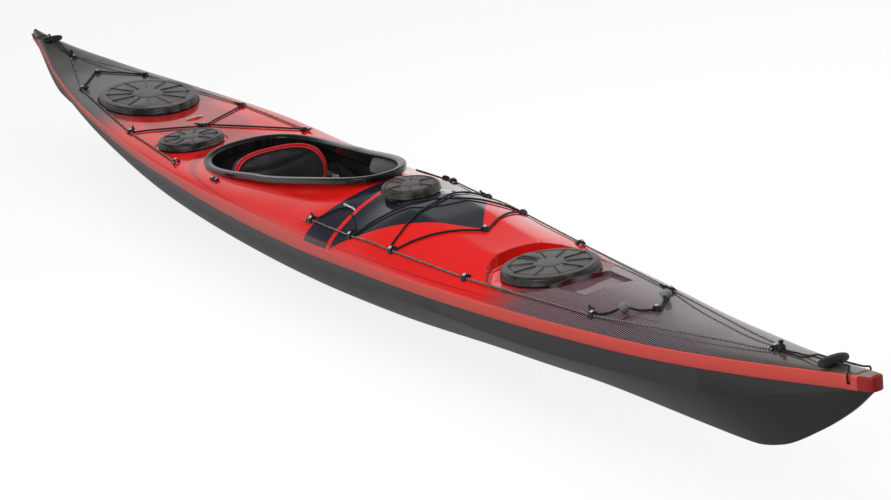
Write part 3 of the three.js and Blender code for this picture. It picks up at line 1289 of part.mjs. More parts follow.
function cordLock(x) {
  const capBottom = LOCK_HEIGHT + LOCK_NECK_LENGTH;
  const capTop = capBottom + LOCK_CAP_HEIGHT;
  const profile = [
    [0, GAP], [LOCK_RADIUS - LOCK_BEVEL, GAP], [LOCK_RADIUS, LOCK_BEVEL], [LOCK_RADIUS, LOCK_HEIGHT - LOCK_BEVEL],
    [LOCK_NECK_RADIUS, LOCK_HEIGHT], [LOCK_NECK_RADIUS, capBottom], [LOCK_CAP_RADIUS, capBottom + LOCK_BEVEL / 2],
    [LOCK_CAP_RADIUS, capTop - LOCK_BEVEL / 2], [0, capTop],
  ];
  const turned = new THREE.LatheGeometry(profile.map(([r, h]) => new THREE.Vector2(r, h)), 8);
  return solid(moved(turned.rotateX(Math.PI / 2), deckFrame(x, 0, 0)));
}

// The toggle, bored for the two strands, and the points of the strands where they run straight through it.
function toggleAt(share, ahead) {
  const frame = deckFrame(share * HALF_LENGTH, 0, 0, 2 * GAP);
  const half = [...toggleCrossShares];
  const rings = [...half.slice(1).map(([y, size]) => [-y, size]).reverse(), ...half].map(([y, size]) => {
    const length = (TOGGLE_LENGTH / 2) * size;
    const height = TOGGLE_HEIGHT * (0.4 + 0.6 * size);
    const bevel = TOGGLE_HEIGHT / 4;
    return [
      [-length + bevel, 0], [length - bevel, 0], [length, bevel], [length, height - bevel],
      [length - bevel, height], [bevel - length, height], [-length, height - bevel], [-length, bevel],
    ].map(([x, z]) => vec(x, (y * TOGGLE_WIDTH) / 2, z).applyMatrix4(frame));
  });
  const strand = (along, side) => vec(along * ahead, side * TOGGLE_STRAND, toggleCordHeight).applyMatrix4(frame);
  const bores = [1, -1].map((side) => solid(
    barGeometry(strand(-TOGGLE_LENGTH, side), strand(TOGGLE_LENGTH, side), HANDLE_CORD_RADIUS + 2 * GAP, 6),
  ));
  return { body: cut(solid(loft(rings)), ...bores), strand };
}

// The handle's cord: from the lock through the toggle, round the tip and back. The tip's points are given for port.
function handleCord(lockX, ahead, strand, tip) {
  const lift = HANDLE_CORD_RADIUS + CORD_LIFT;
  const start = onDeck(lockX + ahead * (LOCK_RADIUS + GAP), STRAND_OFFSET, lift);
  const near = onDeck(strand(-TOGGLE_RUN, 1).x - ahead * TOGGLE_LENGTH, TOGGLE_STRAND, lift);
  const half = [start, ...acrossDeck(start, near, lift, 2), near, strand(-TOGGLE_RUN, 1), strand(TOGGLE_RUN, 1), ...tip];
  const otherSide = half.map(({ x, y, z }) => vec(x, -y, z)).reverse();
  return solid(cordGeometry([...half, ...otherSide], HANDLE_CORD_RADIUS, 4));
}

const bowLockX = fittings.bow.x + LOCK_OFFSET;
const sternLockX = fittings.stern.x - LOCK_OFFSET;
place("bow_cord_lock", geometryOf(cordLock(bowLockX)), "moulded_black");
place("stern_cord_lock", geometryOf(cordLock(sternLockX)), "moulded_black");

const bowToggle = toggleAt(BOW_TOGGLE_SHARE, 1);
const sternToggle = toggleAt(STERN_TOGGLE_SHARE, -1);
place("bow_toggle", geometryOf(bowToggle.body), "moulded_black");
place("stern_toggle", geometryOf(sternToggle.body), "moulded_black");

const cordClear = HANDLE_CORD_RADIUS + 3 * GAP;
const TIP_CORD_LEAD = 9;
const blockSide = halfBeam(TIP_HOLE_SHARE) + GAP + BOW_BLOCK_WALL + cordClear;
const blockTop = deckEdge(TIP_HOLE_SHARE) + cordClear;
const bowTip = [
  onDeck(tipHoleX - TIP_CORD_LEAD, blockSide * 0.62, 2 * cordClear),
  vec(tipHoleX - GAP, blockSide, blockTop), vec(tipHoleX, blockSide + GAP, tipHoleZ + 2 * cordClear),
  vec(tipHoleX, blockSide, tipHoleZ + GAP), vec(tipHoleX, blockSide - cordClear, tipHoleZ),
  vec(tipHoleX, STRAND_OFFSET, tipHoleZ),
];
place("bow_handle_cord", geometryOf(handleCord(bowLockX, 1, bowToggle.strand, bowTip)), "cord");

const sternEnd = -HALF_LENGTH - cordClear - GAP;
const sternLedge = deckEdge(-1) + cordClear;
const besideDeck = (u, rise) => vec(u * HALF_LENGTH, halfBeam(u) + cordClear, deckEdge(u) + rise * cordClear);
const sternTip = [
  onDeck(-HALF_LENGTH * 0.958, halfBeam(-0.958) * 0.75, 2 * cordClear), besideDeck(-0.969, 3), besideDeck(-0.98, 1.4),
  besideDeck(-1, 1.2).setX(-HALF_LENGTH - HANDLE_CORD_RADIUS / 2),
  vec(sternEnd, halfBeam(-1) * 0.7, sternLedge + GAP), vec(sternEnd, halfBeam(-1) * 0.3, sternLedge + GAP),
];
place("stern_handle_cord", geometryOf(handleCord(sternLockX, -1, sternToggle.strand, sternTip)), "cord");

// Security bar across its recess behind the cockpit

const BAR_RADIUS = 3;
const BAR_RECESS_RADIUS = 22;
const BAR_RECESS_DEPTH = 8;
const BAR_SPAN = 62;
const barX = COCKPIT_BULKHEAD_X + 1.16 * (REAR_BULKHEAD_X - COCKPIT_BULKHEAD_X);
const barY = 0.055 * HALF_BEAM;
const barFrame = deckFrame(barX, barY, Math.PI / 2);
function recessDisc(radius, low) {
  const disc = new THREE.CylinderGeometry(radius, radius, OVERRUN - low, 12).rotateX(Math.PI / 2);
  return solid(moved(disc.translate(0, 0, (OVERRUN + low) / 2), barFrame));
}
sinkPocket(recessDisc(BAR_RECESS_RADIUS + SHELL_WALL, -BAR_RECESS_DEPTH - SHELL_WALL), recessDisc(BAR_RECESS_RADIUS, -BAR_RECESS_DEPTH));
const barSeat = BAR_RADIUS + 2 * GAP;
function barPoint(along, rise) {
  const { x, y } = vec(along, 0, 0).applyMatrix4(barFrame);
  return onDeck(x, y, 0).addScaledVector(deckNormal(x, y), barSeat + rise);
}
place("security_bar", geometryOf(solid(cordGeometry([
  barPoint(-BAR_SPAN / 2, 0), barPoint(-BAR_RECESS_RADIUS, 0), barPoint(0, BAR_RADIUS / 2),
  barPoint(BAR_RECESS_RADIUS, 0), barPoint(BAR_SPAN / 2, 0),
], BAR_RADIUS, 8))), "steel");

// Paddle park: a steel staple over a three-cornered recess, with a cord that runs under it

const STAPLE_RADIUS = 3;
const STAPLE_SPAN = 62;
const STAPLE_RISE = 8;
const PARK_RECESS_DEPTH = 2;
const parkX = fittings.starboard_S1.x + 0.4 * (fittings.starboard_S2.x - fittings.starboard_S1.x);
const parkY = fittings.starboard_S1.y + 0.28 * HALF_BEAM;
const parkFrame = deckFrame(parkX, parkY, 0);
const parkShares = [[-1.25, -0.3], [1.25, -0.3], [0, 0.3]];
const parkOutline = new THREE.Shape(parkShares.map(([x, y]) =>
  new THREE.Vector2((x * STAPLE_SPAN) / 2, y * STAPLE_SPAN),
));
const parkRecess = new THREE.ExtrudeGeometry(parkOutline, {
  depth: OVERRUN, bevelEnabled: false, steps: 1,
}).translate(0, 0, -PARK_RECESS_DEPTH);
deck = cut(deck, solid(moved(parkRecess, parkFrame)));
const parkUp = deckNormal(parkX, parkY);
const stapleLeg = (side) => {
  const foot = onDeck(parkX + (side * STAPLE_SPAN) / 2, parkY, 0).addScaledVector(parkUp, 2 * GAP);
  return [foot, foot.clone().addScaledVector(parkUp, STAPLE_RISE * 0.65)];
};
const stapleBend = (side) => vec((side * (STAPLE_SPAN - STAPLE_RISE)) / 2, 0, STAPLE_RISE).applyMatrix4(parkFrame);
place("paddle_park", geometryOf(solid(cordGeometry([
  ...stapleLeg(-1), stapleBend(-1), stapleBend(1), ...stapleLeg(1).reverse(),
], STAPLE_RADIUS, 8))), "steel");

const paddleLift = PADDLE_CORD_RADIUS + CORD_LIFT;
const parkPoint = (along, across) => vec(along, across, paddleLift).applyMatrix4(parkFrame);
const paddleFirst = [
  atFitting("starboard_S1", -KNOT_REACH, STRAND_OFFSET * KNOT_SPREAD_SHARE, paddleLift),
  ...stopPoints(through("starboard_S1", FORWARD, STRAND_OFFSET), paddleLift),
];
const parkTurns = [[-0.4, -1.1], [-0.2, -0.1], [-0.08, 0.9], [0.08, 0.9], [0.2, -0.1], [0.4, -1.1]]
  .map(([along, across]) => parkPoint(along * STAPLE_SPAN, across * STAPLE_RISE));
const paddleEnd = atFitting(
  "starboard_S2", 0, FITTING_TUNNEL_WIDTH / 2 + FITTING_WALL + KNOT_RADIUS + 2 * GAP, paddleLift,
);
place("paddle_cord", geometryOf(join(
  solid(cordGeometry([
    ...paddleFirst, ...acrossDeck(paddleFirst[3], parkTurns[0], paddleLift + CORD_LIFT, 2), ...parkTurns,
    ...acrossDeck(parkTurns[parkTurns.length - 1], paddleEnd, paddleLift + CORD_LIFT, 2), paddleEnd,
  ], PADDLE_CORD_RADIUS, 4)),
  knotSolid(paddleFirst[0].clone().setZ(paddleFirst[0].z + KNOT_RADIUS - PADDLE_CORD_RADIUS)),
  knotSolid(paddleEnd.clone().setZ(paddleEnd.z + KNOT_RADIUS - PADDLE_CORD_RADIUS)),
)), "cord");

// Cleat beside the cockpit rim

const CLEAT_LENGTH = 48;
const CLEAT_WIDTH = 15;
const CLEAT_HEIGHT = 7;
const cleatX = COAMING_CENTRE_X - 0.21 * COAMING_LENGTH;
const cleatY = -0.82 * HALF_BEAM;
const cleatShape = new THREE.Shape([
  [-0.5, 0.04], [0.5, 0.04], [0.5, 0.45], [0.4, 1], [0.2, 1], [0.1, 0.6], [-0.1, 0.6], [-0.2, 1], [-0.4, 1], [-0.5, 0.45],
].map(([along, up]) => new THREE.Vector2(along * CLEAT_LENGTH, up * CLEAT_HEIGHT)));
const cleat = new THREE.ExtrudeGeometry(cleatShape, { depth: CLEAT_WIDTH, bevelEnabled: false, steps: 1 });
place("coaming_cleat", geometryOf(solid(moved(
  cleat.rotateX(Math.PI / 2).translate(0, CLEAT_WIDTH / 2, 3 * GAP), deckFrame(cleatX, cleatY, edgeHeading(cleatX) * BACKWARD),
))), "moulded_black");

place("hull", geometryOf(hull), "hull");
place("deck", geometryOf(deck), "deck");

export default kayak;
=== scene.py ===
"""Looks of a touring sea kayak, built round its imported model.

Metres. +X points to the bow, +Y to port, +Z up. The origin lies under midship, where the keel rests.
Each sub-assembly is a class that holds its sizes, builds its meshes and dresses them.
GAP is the clearance between pieces that touch, OVERRUN is how far a cutting tool reaches past what it cuts,
STRAND is how far a cord lies to the side in a fitting and CORD_GAP is what a cord clears the deck by.
LINE and BUNGEE hold a cord's radius, its finish and the spacing of its points between two fittings.
QUARTER is a quarter turn.
"""

from __future__ import annotations

import json
import logging
import math
from collections.abc import Callable, Iterable, Sequence
from dataclasses import dataclass, field
from enum import Enum
from functools import cached_property

import bmesh
import bpy
import numpy as np
from mathutils import Matrix, Vector

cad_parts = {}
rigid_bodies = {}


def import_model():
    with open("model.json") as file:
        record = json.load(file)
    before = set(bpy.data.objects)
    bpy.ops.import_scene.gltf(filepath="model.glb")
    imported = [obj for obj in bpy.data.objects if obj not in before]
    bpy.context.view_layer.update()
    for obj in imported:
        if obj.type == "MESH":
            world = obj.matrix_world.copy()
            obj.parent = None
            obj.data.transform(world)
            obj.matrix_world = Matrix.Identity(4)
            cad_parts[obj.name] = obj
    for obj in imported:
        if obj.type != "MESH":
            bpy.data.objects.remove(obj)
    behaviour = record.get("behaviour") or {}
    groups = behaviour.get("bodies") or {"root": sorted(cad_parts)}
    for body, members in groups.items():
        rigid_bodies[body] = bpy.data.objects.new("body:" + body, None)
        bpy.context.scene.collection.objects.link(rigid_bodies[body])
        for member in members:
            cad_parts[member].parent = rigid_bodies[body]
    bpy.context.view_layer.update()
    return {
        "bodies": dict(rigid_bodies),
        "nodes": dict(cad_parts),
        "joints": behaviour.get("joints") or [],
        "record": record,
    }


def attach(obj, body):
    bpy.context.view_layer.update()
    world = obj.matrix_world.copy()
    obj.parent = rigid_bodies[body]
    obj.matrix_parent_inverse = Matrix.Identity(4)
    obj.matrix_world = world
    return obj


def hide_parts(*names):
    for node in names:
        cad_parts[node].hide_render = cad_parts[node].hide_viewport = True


LOG = logging.getLogger("sea_kayak")
GAP = 0.0003
OVERRUN = 0.13
STRAND = 0.0033
CORD_GAP = 0.00105
LINE = (0.0025, "line", 0.17)
BUNGEE = (0.003, "bungee", 0.062)
QUARTER = math.pi / 2
WHITE = (1.0, 1.0, 1.0, 1.0)

Pairs = Sequence[tuple[float, float]]
Grid = np.ndarray
Span = tuple[float, float]
Colour = tuple[float, float, float, float]
Piece = bpy.types.Object
Material = bpy.types.Material
Tree = bpy.types.NodeTree
Node = bpy.types.Node
Socket = bpy.types.NodeSocket


class Body(Enum):
    """Names of the bodies that pieces ride on."""

    KAYAK = "kayak"
    BACKREST = "backrest"
    BOW_TOGGLE = "bow_toggle"
    STERN_TOGGLE = "stern_toggle"
    SLIDER = "skeg_slider"
    SKEG = "skeg_blade"
    BOW_COVER = "bow_hatch_cover"
    REAR_COVER = "rear_hatch_cover"
    DAY_COVER = "day_hatch_cover"
    POD_COVER = "pod_hatch_cover"
    PORT_PEDAL = "port_foot_pedal"
    STARBOARD_PEDAL = "starboard_foot_pedal"
    PORT_LEVER = "port_ratchet_lever"
    STARBOARD_LEVER = "starboard_ratchet_lever"


class Carve(Enum):
    """Ways in which one solid changes another."""

    CUT = "DIFFERENCE"
    JOIN = "UNION"
    KEEP = "INTERSECT"


class Side(Enum):
    """The two sides of the boat, as the sign of Y."""

    PORT = 1
    STARBOARD = -1

    @property
    def word(self) -> str:
        """The side's name as pieces carry it."""
        return self.name.lower()


# Curves and forms


class ShareCurve:
    """A curve through chosen shares that never overshoots between them."""

    def __init__(self, points: Pairs) -> None:
        """Fits the curve.

        Args:
            points: Pairs of a place and a share, in rising places.
        """
        self.places = np.array([p[0] for p in points], float)
        self.shares = np.array([p[1] for p in points], float)
        slopes = np.diff(self.shares) / np.diff(self.places)
        self.tangents = np.concatenate([slopes[:1], np.zeros(len(points) - 2), slopes[-1:]])
        before, after = slopes[:-1], slopes[1:]
        total = np.where(before + after == 0, 1, before + after)
        self.tangents[1:-1] = np.where(before * after > 0, 2 * before * after / total, 0)

    def __call__(self, at: float | Grid) -> Grid:
        """The share at a place or at many.

        Args:
            at: One place or an array of places.

        Returns:
            The shares there.
        """
        at = np.asarray(at, float)
        i = np.clip(np.searchsorted(self.places, at) - 1, 0, len(self.places) - 2)
        span = self.places[i + 1] - self.places[i]
        t = np.clip((at - self.places[i]) / span, 0, 1)
        rise = self.shares[i + 1] - self.shares[i]
        start, end = self.tangents[i] * span, self.tangents[i + 1] * span
        return self.shares[i] + t * (start + t * (3 * rise - 2 * start - end + t * (start + end - 2 * rise)))


@dataclass(frozen=True)
class BoatForm:
    """The boat's overall form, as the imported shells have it."""

    half_length: float = 2.562
    half_beam: float = 0.284
    sheer_height: float = 0.343
    deck_height: float = 0.376
    wall: float = 0.004
    band_height: float = 0.034
    keel_flat: float = 0.036
    crease_drop: float = 0.072
    beam_shares: Pairs = (
        (-1, 0.035), (-0.9, 0.21), (-0.8, 0.405), (-0.55, 0.768), (-0.3, 0.972), (-0.1, 1),
        (0.1, 0.99), (0.3, 0.901), (0.55, 0.68), (0.8, 0.342), (0.9, 0.183), (1, 0.042),
    )
    sheer_shares: Pairs = (
        (-1, 0.974), (-0.7, 0.767), (-0.35, 0.671), (0, 0.589), (0.35, 0.633), (0.7, 0.738),
        (0.85, 0.845), (1, 1),
    )
    keel_shares: Pairs = (
        (-1, 0.965), (-0.985, 0.87), (-0.965, 0.72), (-0.945, 0.537), (-0.92, 0.431), (-0.85, 0.332),
        (-0.7, 0.184), (-0.5, 0.067), (-0.25, 0), (0.25, 0), (0.45, 0.073), (0.6, 0.163), (0.75, 0.216),
        (0.83, 0.254), (0.87, 0.335), (0.92, 0.542), (0.97, 0.805), (1, 1.01),
    )
    ridge_shares: Pairs = (
        (-1, 1), (-0.92, 0.931), (-0.836, 0.851), (-0.744, 0.793), (-0.56, 0.755), (-0.36, 0.724),
        (-0.25, 0.702), (-0.12, 0.745), (-0.03, 0.803), (0.08, 0.872), (0.17, 0.931), (0.25, 0.941),
        (0.31, 0.92), (0.37, 0.878), (0.44, 0.846), (0.52, 0.83), (0.68, 0.83), (0.78, 0.856),
        (0.866, 0.904), (1, 1),
    )
    band_shares: Pairs = ((-1, 0.5), (-0.5, 0.75), (0, 1), (1, 1))
    crease_shares: Pairs = (
        (-1, 0), (-0.7, 0.42), (0, 0.42), (0.3, 0.63), (0.6, 1), (0.8, 1), (0.95, 0.4), (1, 0),
    )
    flat_shares: Pairs = (
        (-1, 0.11), (-0.8, 0.17), (-0.4, 0.6), (-0.2, 1), (0.2, 1), (0.4, 0.6), (0.8, 0.17), (1, 0.11),
    )
    bilge_shares: Pairs = (
        (-1, 1.15), (-0.8, 1.1), (-0.5, 1.38), (0, 1.72), (0.5, 1.08), (0.8, 1.04), (1, 1.2),
    )
    crown_shares: Pairs = (
        (-1, 2), (-0.4, 2.2), (-0.1, 1.9), (0.12, 1.7), (0.22, 1.45), (0.31, 1.35), (0.45, 1.5), (0.6, 1.8),
        (1, 2),
    )
    plateau_shares: Pairs = ((-1, 0), (0.2, 0), (0.28, 0.28), (0.42, 0.28), (0.5, 0), (1, 0))

    @cached_property
    def curves(self) -> dict[str, ShareCurve]:
        """The share curves by the first word of their tables."""
        words = ("beam", "sheer", "keel", "ridge", "band", "crease", "flat", "bilge", "crown", "plateau")
        return {word: ShareCurve(getattr(self, word + "_shares")) for word in words}

    def beam(self, u: float | Grid) -> Grid:
        """Half the beam at a share of the half length."""
        return self.half_beam * self.curves["beam"](u)

    def sheer(self, u: float | Grid) -> Grid:
        """Height of the lower edge of the seam band."""
        return self.sheer_height * self.curves["sheer"](u)

    def edge(self, u: float | Grid) -> Grid:
        """Height of the upper edge of the seam band."""
        return self.sheer(u) + self.band_height * self.curves["band"](u)

    def joint(self, u: float | Grid) -> Grid:
        """Height of the joint of the two shells."""
        return self.sheer(u) + self.band_height * self.curves["band"](u) / 2

    def keel(self, u: float | Grid) -> Grid:
        """Height of the keel line."""
        return self.sheer_height * self.curves["keel"](u)

    def deck_rise(self, u: float | Grid, share: float | Grid) -> Grid:
        """Height of the deck.

        Args:
            u: Place along the boat, as a share of the half length.
            share: Distance from the centreline, as a share of the half beam.

        Returns:
            Heights in metres.
        """
        plateau = self.curves["plateau"](u)
        beyond = np.clip((share - plateau) / (1 - plateau), 0, 1)
        crown = self.curves["crown"](u)
        low = self.edge(u)
        top = self.deck_height * self.curves["ridge"](u)
        return low + (top - low) * np.maximum(1 - beyond**crown, 0) ** (1 / crown)

    def deck_at(self, x: float | Grid, y: float | Grid) -> Grid:
        """Height of the deck over a point of the plan."""
        u = np.asarray(x, float) / self.half_length
        return self.deck_rise(u, np.minimum(np.abs(y) / self.beam(u), 1))

    def deck_normal(self, x: float, y: float) -> Vector:
        """Unit vector square to the deck."""
        step = self.wall
        places = np.array([[x + step, y], [x - step, y], [x, y + step], [x, y - step]])
        east, west, north, south = self.deck_at(places[:, 0], places[:, 1])
        return Vector((west - east, south - north, 2 * step)).normalized()

    def on_deck(self, x: float, y: float, lift: float = 0.0) -> Vector:
        """A point over the deck, lifted straight up."""
        return Vector((x, y, float(self.deck_at(x, y)) + lift))

    def clear_middle(self, start: Vector, end: Vector, lift: float) -> Vector:
        """The middle of two points, raised to a height over the deck where it lies lower."""
        middle = start.lerp(end, 0.5)
        middle.z = max(middle.z, float(self.deck_at(middle.x, middle.y)) + lift)
        return middle

    def deck_frame(self, x: float, y: float, heading: float, lift: float = 0.0) -> Matrix:
        """Frame of a piece that stands on the deck.

        Args:
            x: Place along the boat.
            y: Place across the boat.
            heading: Direction of the piece's own +X in plan.
            lift: Distance from the deck, square to it.

        Returns:
            The matrix that takes the piece's own points there.
        """
        up = self.deck_normal(x, y)
        ahead = Vector((math.cos(heading), math.sin(heading), 0))
        ahead = (ahead - up * ahead.dot(up)).normalized()
        across = up.cross(ahead)
        place = self.on_deck(x, y) + up * lift
        return Matrix.Translation(place) @ Matrix((ahead, across, up)).transposed().to_4x4()

    def edge_heading(self, x: float, step: float = 0.015) -> float:
        """Direction in plan of the port edge of the deck."""
        rise = self.beam((x + step) / self.half_length) - self.beam((x - step) / self.half_length)
        return math.atan2(float(rise), 2 * step)

    def hull_half(self, u: float, inset: float, steps: int) -> Grid:
        """Half of a hull section from the keel flat to the crease, as rows of reach and height."""
        beam = float(self.beam(u)) - inset
        drop = self.crease_drop * float(self.curves["crease"](u))
        crease_beam = beam * (1 - 0.35 * drop / (self.half_length * 0.39))
        crease_height = float(self.joint(u)) - GAP / 2 - drop
        bottom = min(float(self.keel(u)) + inset, crease_height - inset)
        flat = min(self.keel_flat * float(self.curves["flat"](u)), beam / 2)
        angle = np.linspace(0, QUARTER, steps + 1)
        power = 2 / float(self.curves["bilge"](u))
        reach = flat + (crease_beam - flat) * np.sin(angle) ** power
        height = crease_height - (crease_height - bottom) * np.maximum(np.cos(angle), 0) ** power
        return np.column_stack([reach, height])

    def stations(self, count: int, reach: float = 1.0) -> Grid:
        """Places along the boat, closer together towards the ends."""
        v = np.linspace(-1, 1, count + 1)
        return reach * (0.62 * v + 0.38 * np.sin(QUARTER * v))


FORM = BoatForm()


# Meshes


def placed(name: str, data: bpy.types.ID) -> Piece:
    """A new object of the scene with its data."""
    made = bpy.data.objects.new(name, data)
    bpy.context.scene.collection.objects.link(made)
    return made


def piece_of(name: str, points: Iterable[Sequence[float]], faces: Iterable[Sequence[int]]) -> Piece:
    """Makes a mesh piece whose closed parts face outwards.

    Args:
        name: Name of the piece.
        points: Corner points in the boat's frame.
        faces: Corner numbers of each face.

    Returns:
        The new object, with its place in its mesh.
    """
    mesh = bpy.data.meshes.new(name)
    mesh.from_pydata([tuple(map(float, p)) for p in points], [], [tuple(map(int, f)) for f in faces])
    tool = bmesh.new()
    tool.from_mesh(mesh)
    bmesh.ops.remove_doubles(tool, verts=tool.verts, dist=1e-6)
    bmesh.ops.recalc_face_normals(tool, faces=tool.faces)
    tool.to_mesh(mesh)
    tool.free()
    return placed(name, mesh)


def discard(*pieces: Piece) -> None:
    """Removes pieces that were only tools."""
    for piece in pieces:
        mesh = piece.data
        bpy.data.objects.remove(piece)
        if mesh is not None and not mesh.users:
            bpy.data.meshes.remove(mesh)


def settle(piece: Piece) -> Piece:
    """Turns a piece's modifiers into its plain mesh."""
    graph = bpy.context.evaluated_depsgraph_get()
    made = bpy.data.meshes.new_from_object(piece.evaluated_get(graph), depsgraph=graph)
    made.name = piece.name
    piece.modifiers.clear()
    old = piece.data
    piece.data = made
    if not old.users:
        bpy.data.meshes.remove(old)
    return piece


def add_step(piece: Piece, kind: str, **settings: object) -> bpy.types.Modifier:
    """Adds a modifier with its settings."""
    step = piece.modifiers.new(kind.lower(), kind)
    for key, value in settings.items():
        setattr(step, key, value)
    return step


def carve(piece: Piece, tool: Piece, way: Carve, keep_tool: bool = False) -> None:
    """Cuts, joins or intersects a closed piece with a closed tool."""
    add_step(piece, "BOOLEAN", object=tool, operation=way.value, solver="MANIFOLD")
    settle(piece)
    if not keep_tool:
        discard(tool)


def smooth(piece: Piece, degrees: float = 32.0) -> Piece:
    """Shades a piece smooth, with sharp edges where its faces turn by more than an angle."""
    piece.data.shade_smooth()
    piece.data.set_sharp_from_angle(angle=math.radians(degrees))
    return piece


def ease_edges(piece: Piece, width: float, degrees: float) -> Piece:
    """Rounds a piece's sharp edges.

    Args:
        piece: A piece with clean edges.
        width: Width of the rounding.
        degrees: Least turn of an edge that is rounded.

    Returns:
        The same piece.
    """
    add_step(piece, "BEVEL", width=width, segments=2, limit_method="ANGLE", angle_limit=math.radians(degrees),
             use_clamp_overlap=True)
    settle(piece)
    return smooth(piece, 40)


def join(name: str, pieces: Sequence[Piece]) -> Piece:
    """Joins pieces into one mesh, with their materials kept."""
    tool = bmesh.new()
    materials: list[Material] = []
    for piece in pieces:
        slots = []
        for material in piece.data.materials:
            if material not in materials:
                materials.append(material)
            slots.append(materials.index(material))
        start = len(tool.faces)
        tool.from_mesh(piece.data)
        tool.faces.ensure_lookup_table()
        for face in tool.faces[start:]:
            face.material_index = slots[face.material_index] if slots else 0
    mesh = bpy.data.meshes.new(name)
    tool.to_mesh(mesh)
    tool.free()
    for material in materials:
        mesh.materials.append(material)
    joined = placed(name, mesh)
    discard(*pieces)
    return joined


def store_upward(piece: Piece) -> None:
    """Stores how far each point of a piece faces up, for finishes that paint a highlight on faces that point
    up.
    """
    store = piece.data.attributes.new("upward", "FLOAT", "POINT")
    for place, vertex in zip(store.data, piece.data.vertices):
        place.value = max(vertex.normal.z, 0.0)


def grid_faces(rows: int, columns: int, wrap_columns: bool = False,
               wrap_rows: bool = False) -> list[tuple[int, ...]]:
    """Corner numbers of the faces of a grid of points."""
    faces = []
    for i in range(rows if wrap_rows else rows - 1):
        for j in range(columns if wrap_columns else columns - 1):
            k, n = (j + 1) % columns, (i + 1) % rows
            faces.append((i * columns + j, i * columns + k, n * columns + k, n * columns + j))
    return faces


def loft(name: str, rings: Grid, looped: bool = False) -> Piece:
    """A closed solid through rings of equal point counts.

    Args:
        name: Name of the piece.
        rings: Array of rings by points by three.
        looped: Whether the last ring joins the first one.

    Returns:
        The piece.
    """
    count, size = rings.shape[:2]
    faces = grid_faces(count, size, wrap_columns=True, wrap_rows=looped)
    if not looped:
        faces += [tuple(range(size)), tuple(range((count - 1) * size, count * size))]
    return piece_of(name, rings.reshape(-1, 3), faces)


def lathe(name: str, profile: Pairs, steps: int, matrix: Matrix | None = None) -> Piece:
    """A turned solid from pairs of radius and height.

    Args:
        name: Name of the piece.
        profile: Radii and heights from the axis out and back to it, or a closed ring off the axis.
        steps: Faces round the axis.
        matrix: Where the piece goes, or none to leave it at the origin.

    Returns:
        The piece.
    """
    closed = profile[0][0] > 0
    angle = np.linspace(0, 2 * math.pi, steps, endpoint=False)
    points = [(r * math.cos(a), r * math.sin(a), h) for r, h in profile for a in angle]
    if matrix is not None:
        points = [matrix @ Vector(p) for p in points]
    faces = grid_faces(len(profile), steps, wrap_columns=True, wrap_rows=closed)
    return piece_of(name, points, faces)


def cylinder(name: str, radius: float, low: float, high: float, steps: int,
             matrix: Matrix | None = None) -> Piece:
    """A closed cylinder between two heights."""
    return lathe(name, ((0, low), (radius, low), (radius, high), (0, high)), steps, matrix)


def facing(place: Vector, way: Vector) -> Matrix:
    """The frame at a place whose Z axis points along a direction."""
    return Matrix.Translation(place) @ way.to_track_quat("Z", "Y").to_matrix().to_4x4()


def bent(value: float, power: float) -> float:
    """A value of -1 to 1 raised to a power, with its sign kept."""
    return math.copysign(abs(value) ** power, value)


def polygon_solid(name: str, outline: Pairs, low: float, high: float, matrix: Matrix | None = None,
                  draft: float = 0.0) -> Piece:
    """A prism over an outline, wider at its top by the draft."""
    flat = np.array(outline, float)
    centre = flat.mean(0)
    wide = centre + (flat - centre) * (1 + draft)
    rings = np.array([[[x, y, z] for x, y in ring] for ring, z in ((flat, low), (wide, high))])
    if matrix is not None:
        rings = np.array([[list(matrix @ Vector(p)) for p in ring] for ring in rings])
    return loft(name, rings)


def around(count: int) -> list[Span]:
    """Cosine and sine of even turns round a circle."""
    return [(math.cos(a), math.sin(a)) for a in np.linspace(0, math.tau, count, endpoint=False)]


def smooth_path(points: Sequence[Vector], spacing: float) -> list[Vector]:
    """A smooth line through points, evenly sampled.

    Args:
        points: Points that the line passes through.
        spacing: Distance between samples.

    Returns:
        The samples, with both ends.
    """
    raw = [Vector(p) for p in points]
    known = [raw[0] * 2 - raw[1], *raw, raw[-1] * 2 - raw[-2]]
    made = []
    for p0, p1, p2, p3 in zip(known, known[1:], known[2:], known[3:]):
        knots = [0.0]
        for a, b in ((p0, p1), (p1, p2), (p2, p3)):
            knots.append(knots[-1] + max(math.sqrt((b - a).length), 1e-5))
        t0, t1, t2, t3 = knots
        count = max(2, math.ceil((p2 - p1).length / spacing))
        for i in range(count):
            t = t1 + (t2 - t1) * i / count
            a1, a2, a3 = blend(p0, p1, t0, t1, t), blend(p1, p2, t1, t2, t), blend(p2, p3, t2, t3, t)
            made.append(blend(blend(a1, a2, t0, t2, t), blend(a2, a3, t1, t3, t), t1, t2, t))
    made.append(raw[-1])
    return made


def blend(start: Vector, end: Vector, low: float, high: float, t: float) -> Vector:
    """The point at t of a line that starts at the value low and ends at the value high."""
    return start * ((high - t) / (high - low)) + end * ((t - low) / (high - low))


# Node trees


